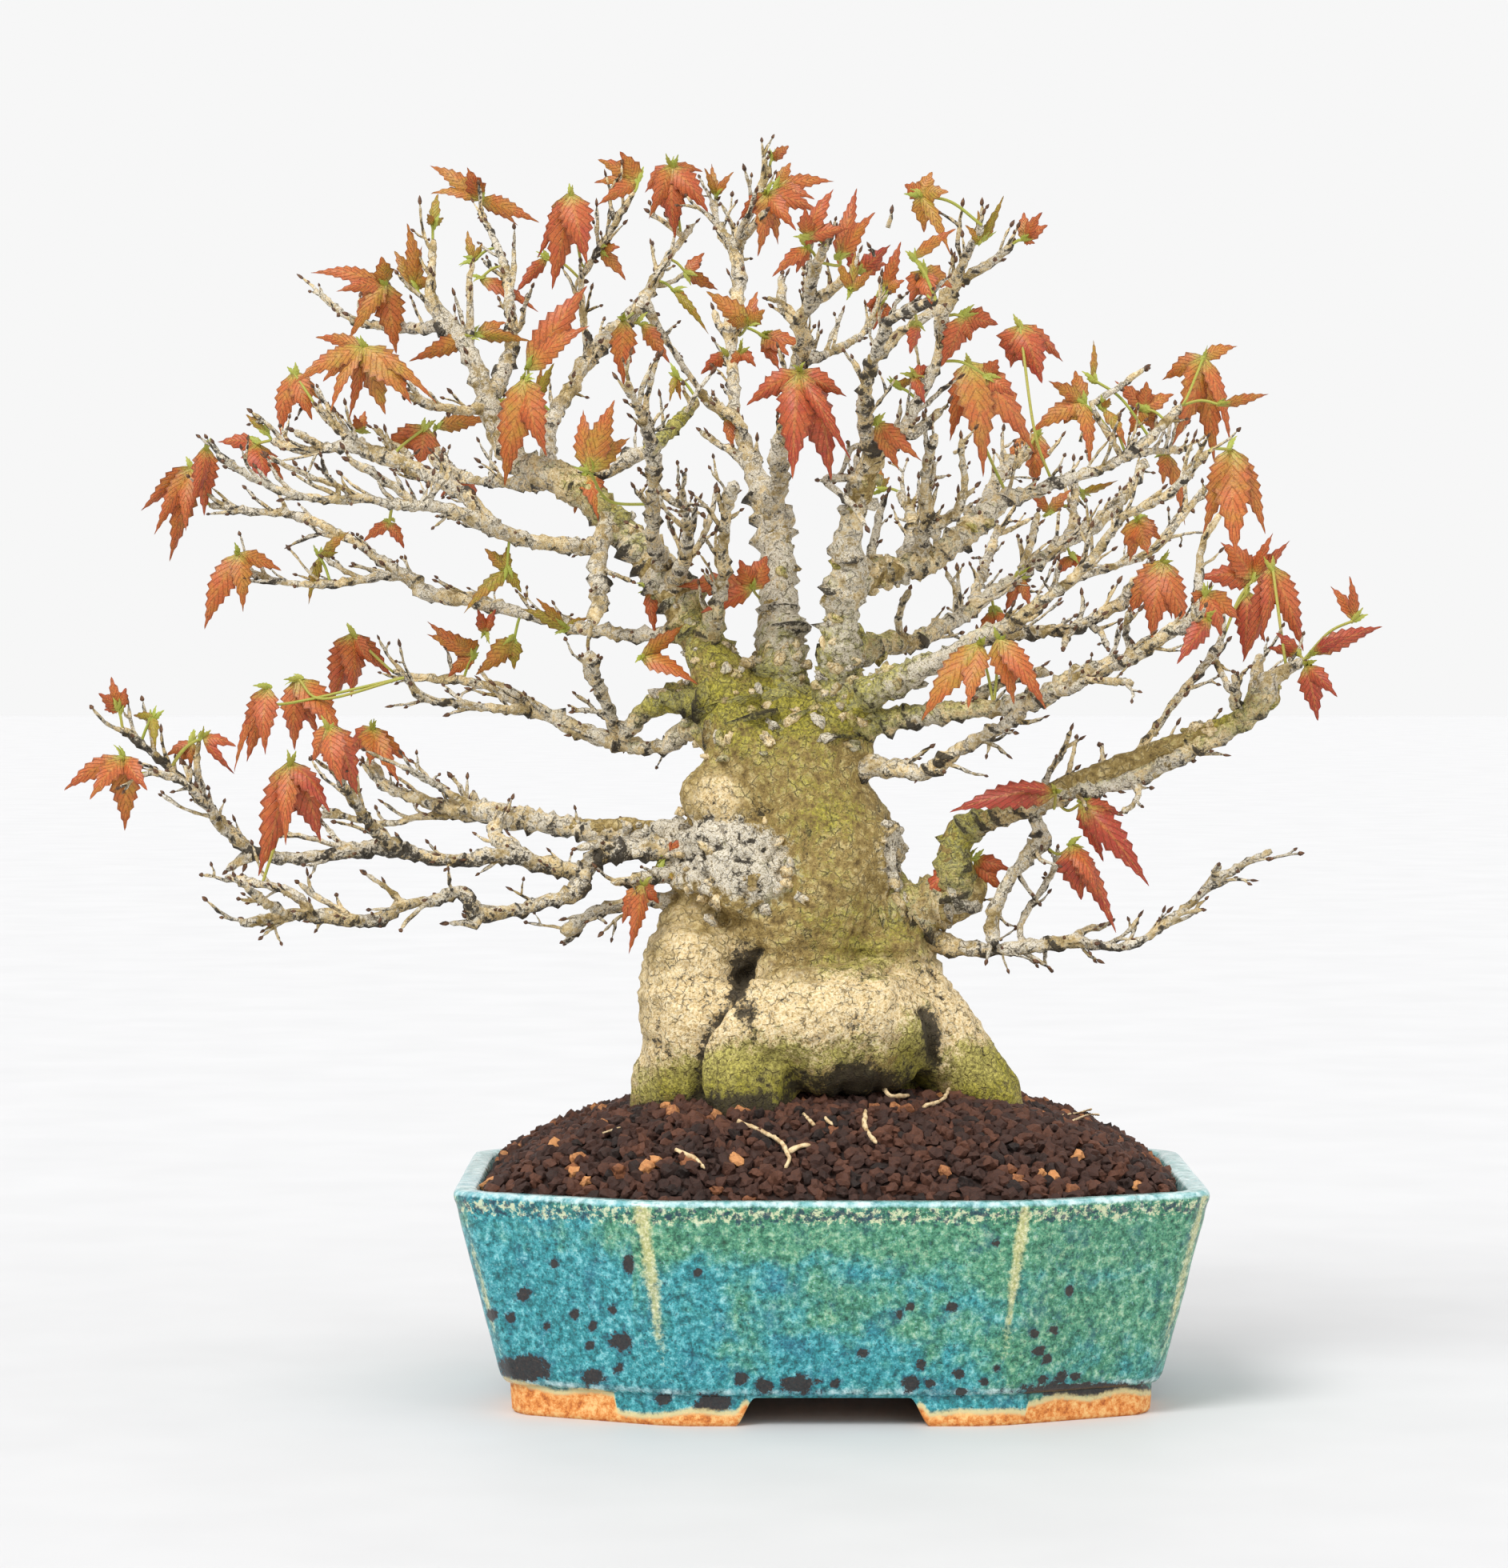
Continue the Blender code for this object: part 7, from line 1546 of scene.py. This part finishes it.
def pot():
    """Glazed walls with a rolled rim on a foot ring, and the floor with its drain holes."""
    others = [(POT_CENTRE.x + rng.uniform(-95, 95), rng.uniform(9, 55),
               rng.uniform(0.8, 2.2)) for _ in range(46)]
    outline = fine_outline(1.1)
    columns = len(outline)
    wall = Shape()
    rows = dense(WALL, 1.1)
    outer = next(i for i, (_, z) in enumerate(rows) if z >= 59.9)
    verts, values = [], {}
    for i, (scale, z) in enumerate(rows):
        for flat in outline:
            point = Vector((flat.x * scale, flat.y * scale, z)) + POT_CENTRE
            ripple = 0.22 * noise.noise(point / 13) + 0.10 * noise.noise(point / 4)
            for key, value in glaze_values(point, i <= outer, others).items():
                values.setdefault(key, []).append(value)
            outward = Vector((flat.x, flat.y, 0)).normalized()
            verts.append(point + outward * ripple - Vector((0, 0, abs(ripple) * 0.3)))
    wall.add(verts, grid_faces(len(rows), columns, closed=True), **values)
    wall.piece("pot_wall", GLAZE, ["pot"], "pot_glaze")

    foot = Shape()
    rows = dense(FOOT, 0.9)
    verts, values = [], {}
    for scale, z in rows:
        for flat in outline:
            lift = foot_lift(flat.x * scale, flat.y * scale)
            raised = z + (7.6 - z) * lift if z < 7.6 else z
            point = Vector((flat.x * scale, flat.y * scale, raised)) + POT_CENTRE
            shade = glaze_values(point, True, others)
            shade["clay"] += 0.8 * math.sin(math.pi * min(max(lift, 0.0), 1.0))
            shade["fleck"] = 0.0
            for key, value in shade.items():
                values.setdefault(key, []).append(value)
            verts.append(point)
    foot.add(verts, grid_faces(len(rows), columns, closed=True), **values)
    foot.piece("pot_foot_ring", GLAZE, ["pot"], "pot_glaze")

    floor = Shape()
    outer_ring = [Vector((flat.x * 0.80, flat.y * 0.80)) for flat in octagon()]
    floor_material = plain_material("bare_clay", (0.30, 0.12, 0.05), (0.62, 0.30, 0.12), 2.5, 0.85)
    verts = [Vector((p.x, p.y, z)) + POT_CENTRE for z in (8.3, 13.9) for p in outer_ring]
    count = len(outer_ring)
    faces = grid_faces(2, count, closed=True) + [tuple(range(count))[::-1], tuple(range(count, 2 * count))]
    floor.add(verts, faces)
    slab = floor.piece("pot_floor", floor_material, ["pot"])
    slab.data.shade_flat()
    for x in (-42.0, 42.0):
        bm = bmesh.new()
        place = Matrix.Translation((POT_CENTRE + Vector((x, 0, 11))) * MM)
        bmesh.ops.create_cone(bm, cap_ends=True, segments=64, radius1=9.5 * MM, radius2=9.5 * MM,
                              depth=20 * MM,
                              matrix=place)
        mesh = bpy.data.meshes.new("drill")
        bm.to_mesh(mesh)
        bm.free()
        drill = bpy.data.objects.new("drill", mesh)
        bpy.context.scene.collection.objects.link(drill)
        cut = slab.modifiers.new("drain", "BOOLEAN")
        cut.operation = "DIFFERENCE"
        cut.object = drill
        old = slab.data
        slab.data = bpy.data.meshes.new_from_object(slab.evaluated_get(bpy.context.evaluated_depsgraph_get()))
        slab.modifiers.clear()
        bpy.data.meshes.remove(old)
        bpy.data.objects.remove(drill)


# --- soil --------------------------------------------------------------------------------------
def soil_height(x, y):
    """Height of the mound over (x, y) from the pot's middle, and its share of the way to the wall."""
    half_x, half_y = POT_WIDTH / 2, POT_DEPTH / 2
    across = abs(x) * (half_y - SIDE_HALF) + abs(y) * (half_x - FRONT_HALF)
    corner = across / (half_x * half_y - FRONT_HALF * SIDE_HALF)
    share = max(abs(x) / half_x, abs(y) / half_y, corner) / 0.925
    share = min(share, 1.0)
    return 60.0 + 23.0 * (1 - share ** 2.8) - share ** 12, share


def granule(shape, centre, size, tone, flat):
    """An irregular lump of baked clay."""
    seed = any_direction() * 9
    turn = Matrix.Rotation(rng.uniform(0, 6.28), 3, any_direction())
    verts = []
    for place in BALL_VERTS:
        lump = 1.0 + 0.75 * noise.noise(place * 1.2 + seed) + 0.35 * noise.noise(place * 2.6 + seed)
        stretched = Vector((place.x * 1.15, place.y * 0.95, place.z * flat)) * size * lump
        verts.append(centre + turn @ stretched)
    shape.add(verts, BALL_FACES, tone=tone)


def soil(skin):
    """A dark mound covered with granules, laid round the trunk."""
    bed = Shape()
    outline = fine_outline(4.0)
    verts, columns = [], []
    shares = [0.0, 0.12, 0.25, 0.38, 0.5, 0.6, 0.7, 0.78, 0.85, 0.90, 0.94, 0.97, 1.0]
    for share in reversed(shares):
        for flat in outline:
            x, y = flat.x * 0.922 * share, flat.y * 0.922 * share
            verts.append(Vector((x, y, soil_height(x, y)[0] - 2.2)) + POT_CENTRE)
            columns.append(0.1)
    low = [Vector((flat.x * 0.80, flat.y * 0.80, 14.4)) + POT_CENTRE for flat in outline]
    mid = [Vector((flat.x * 0.835, flat.y * 0.835, 20.0)) + POT_CENTRE for flat in outline]
    verts = low + mid + verts
    columns = [0.1] * (2 * len(outline)) + columns
    faces = grid_faces(len(shares) + 2, len(outline), closed=True)
    faces.append(tuple(range(len(outline)))[::-1])
    bed.add(verts, faces, tone=columns)
    bed.piece("soil_bed", CLAY, ["soil"], "soil_granules")

    tree_bvh = BVHTree.FromPolygons(skin.verts, skin.faces)
    pitch = 3.15
    laid = [Shape(), Shape(), Shape()]
    place_count = 0
    for row in range(-30, 31):
        for column in range(-36, 37):
            x = (column + 0.5 * (row % 2)) * pitch + rng.uniform(-0.9, 0.9)
            y = row * pitch * 0.866 + rng.uniform(-0.9, 0.9)
            size = rng.uniform(1.35, 2.35)
            height, share = soil_height(x, y)
            if share >= 0.985:
                continue
            centre = Vector((x, y, height - rng.uniform(0.9, 1.9))) + POT_CENTRE
            below = tree_bvh.ray_cast(centre + Vector((0, 0, 0.5)), Vector((0, 0, 1)))
            nearest = tree_bvh.find_nearest(centre)
            inside = (centre - nearest[0]).dot(nearest[1]) < -1.5
            if inside and below[0] is not None:
                continue
            roll = rng.random()
            rim_right = x > 45 and share > 0.86
            light = 0.09 if rim_right else 0.035
            tone = rng.uniform(0.18, 0.62)
            if roll < light:
                tone = rng.uniform(0.72, 1.05)
            elif roll > 0.90:
                tone = rng.uniform(0.0, 0.15)
            granule(laid[place_count % 3], centre, size, tone, rng.uniform(0.75, 1.0))
            place_count += 1
    for i, shape in enumerate(laid):
        shape.piece(f"soil_granules_{i}", CLAY, ["soil"], "soil_granules").data.shade_flat()
    whole = Shape()
    for shape in laid + [bed]:
        whole.add(shape.verts, shape.faces)
    return BVHTree.FromPolygons(whole.verts, whole.faces)


# Bare fine roots on the soil, in the front elevation: name of the CAD node or None -> lines
SURFACE_ROOTS = [
    ("surface_rootlet_left", 0.62, [[(-25, 73), (-18, 70), (-13, 67), (-11, 63), (-12, 60)],
                                    [(-11, 64.5), (-8, 66), (-5, 66.5)]]),
    ("surface_rootlet_right", 0.55, [[(10, 76), (10, 71), (13, 67)]]),
    (None, 0.6, [[(-42, 65), (-37, 63), (-34, 60)]]),
    (None, 0.5, [[(-7, 75), (-4, 72)], [(-1, 74), (1, 72)]]),
    (None, 0.5, [[(15, 82), (17, 80), (22, 80)], [(26, 77), (31, 79), (33, 82)]]),
    (None, 0.22, [[(64, 75), (68, 75.5), (72, 76.5)], [(67, 73.5), (71, 75), (74, 75)],
                  [(-62, 70), (-57, 71.5)]]),
]


def surface_roots(ground, skin):
    """Pale fine roots that lie on the granules, found where their sight lines meet the ground."""
    tree_bvh = BVHTree.FromPolygons(skin.verts, skin.faces)
    eye = on_tree(0, 0, EYE.y)
    loose = Shape()
    for node, radius, lines in SURFACE_ROOTS:
        shape = Shape() if node else loose
        for line in lines:
            stops = []
            for x, z in line:
                sight = (on_tree(x, z) - eye).normalized()
                hits = [bvh.ray_cast(eye, sight) for bvh in (ground, tree_bvh)]
                hits = [hit for hit in hits if hit[0] is not None]
                place = min(hits, key=lambda hit: hit[3])[0] if hits else on_tree(x, z)
                stops.append((place + Vector((0, 0, radius * 0.7)), radius * rng.uniform(0.75, 1.1)))
            limb_mesh(shape, stops, 0.8, 8, 0.6, lambda *_: {})
        if node:
            shape.piece(node + "_fine", ROOTLET, [node], "bare_rootlet")
    loose.piece("surface_rootlets_loose", ROOTLET, slot="bare_rootlet")


# --- assembly ----------------------------------------------------------------------------------
def root_spread():
    """The main roots under the soil, part of the tree."""
    shape = Shape()
    for points in ROOTS:
        stops = [(Vector((x, y, z)) + POT_CENTRE, radius) for x, y, z, radius in points]
        limb_mesh(shape, stops, 2.5, 12, 1.0, limb_colours(0.0, 0.3))
    return shape


def refinish(node, material):
    """Give a CAD node a finer finish; its shape stays as it is."""
    obj = bpy.data.objects[node]
    obj.data.materials.clear()
    obj.data.materials.append(material)


limbs = place_limbs()
skin = trunk(limbs)
skin.piece("trunk_skin", BARK, ["trunk_and_branches"], "bark")
root_spread().piece("main_roots", BARK, ["trunk_and_branches"], "bark")
wood, twigs, buds = branches(limbs)
nodules(wood, skin)
wood.piece("limbs", BARK, ["trunk_and_branches"], "bark")
twigs.piece("fine_twigs", BARK, slot="bark")
buds.piece("winter_buds", BUD, slot="bark")
leaves(limbs)
pot()
surface_roots(soil(skin), skin)
plastic = plain_material("black_plastic", (0.012, 0.012, 0.013), (0.030, 0.030, 0.032), 1.5, 0.55)
wire = plain_material("aluminium_wire", (0.16, 0.10, 0.06), (0.32, 0.21, 0.13), 1.0, 0.38, metallic=1.0)
for side in ("left", "right"):
    refinish("drain_screen_" + side, plastic)
    refinish("screen_clip_" + side, wire)


# --- stage -------------------------------------------------------------------------------------
def soft_light(name, place, power, spread):
    """Even light that comes from the side of place, softened over an angle in degrees."""
    light = bpy.data.lights.new(name, "SUN")
    light.angle = math.radians(spread)
    light.energy = power
    obj = bpy.data.objects.new(name, light)
    obj.rotation_euler = (-Vector(place)).to_track_quat("-Z", "Y").to_euler()
    bpy.context.scene.collection.objects.link(obj)


mesh = bpy.data.meshes.new("floor")
floor_corners = [(x * FLOOR_HALF, y * FLOOR_HALF, 0) for x, y in ((-1, -1), (1, -1), (1, 1), (-1, 1))]
mesh.from_pydata(floor_corners, [], [(0, 1, 2, 3)])
floor = bpy.data.objects.new("floor", mesh)
bpy.context.scene.collection.objects.link(floor)
floor_paint = Paint("pale_floor", Roughness=0.6)
mesh.materials.append(floor_paint.finish(
    floor_paint.ramp(floor_paint.noise(60.0, 2.0), (0.3, (0.64, 0.64, 0.645)), (0.7, (0.67, 0.67, 0.675)))))

world = bpy.data.worlds.new("studio")
world.use_nodes = True
world.node_tree.nodes["Background"].inputs["Color"].default_value = (1.0, 1.0, 1.0, 1.0)
world.node_tree.nodes["Background"].inputs["Strength"].default_value = WORLD_STRENGTH
bpy.context.scene.world = world
bpy.context.scene.view_settings.view_transform = "Standard"
soft_light("key", KEY_PLACE, KEY_POWER, KEY_SPREAD)
soft_light("fill", FILL_PLACE, FILL_POWER, FILL_SPREAD)

camera = bpy.data.objects.new("camera", bpy.data.cameras.new("camera"))
camera.data.lens = LENS
camera.data.sensor_width = SENSOR_WIDTH
camera.location = (EYE + POT_CENTRE) * MM
camera.rotation_euler = (math.radians(90 - CAMERA_DIP), 0.0, 0.0)
bpy.context.scene.collection.objects.link(camera)
bpy.context.scene.camera = camera
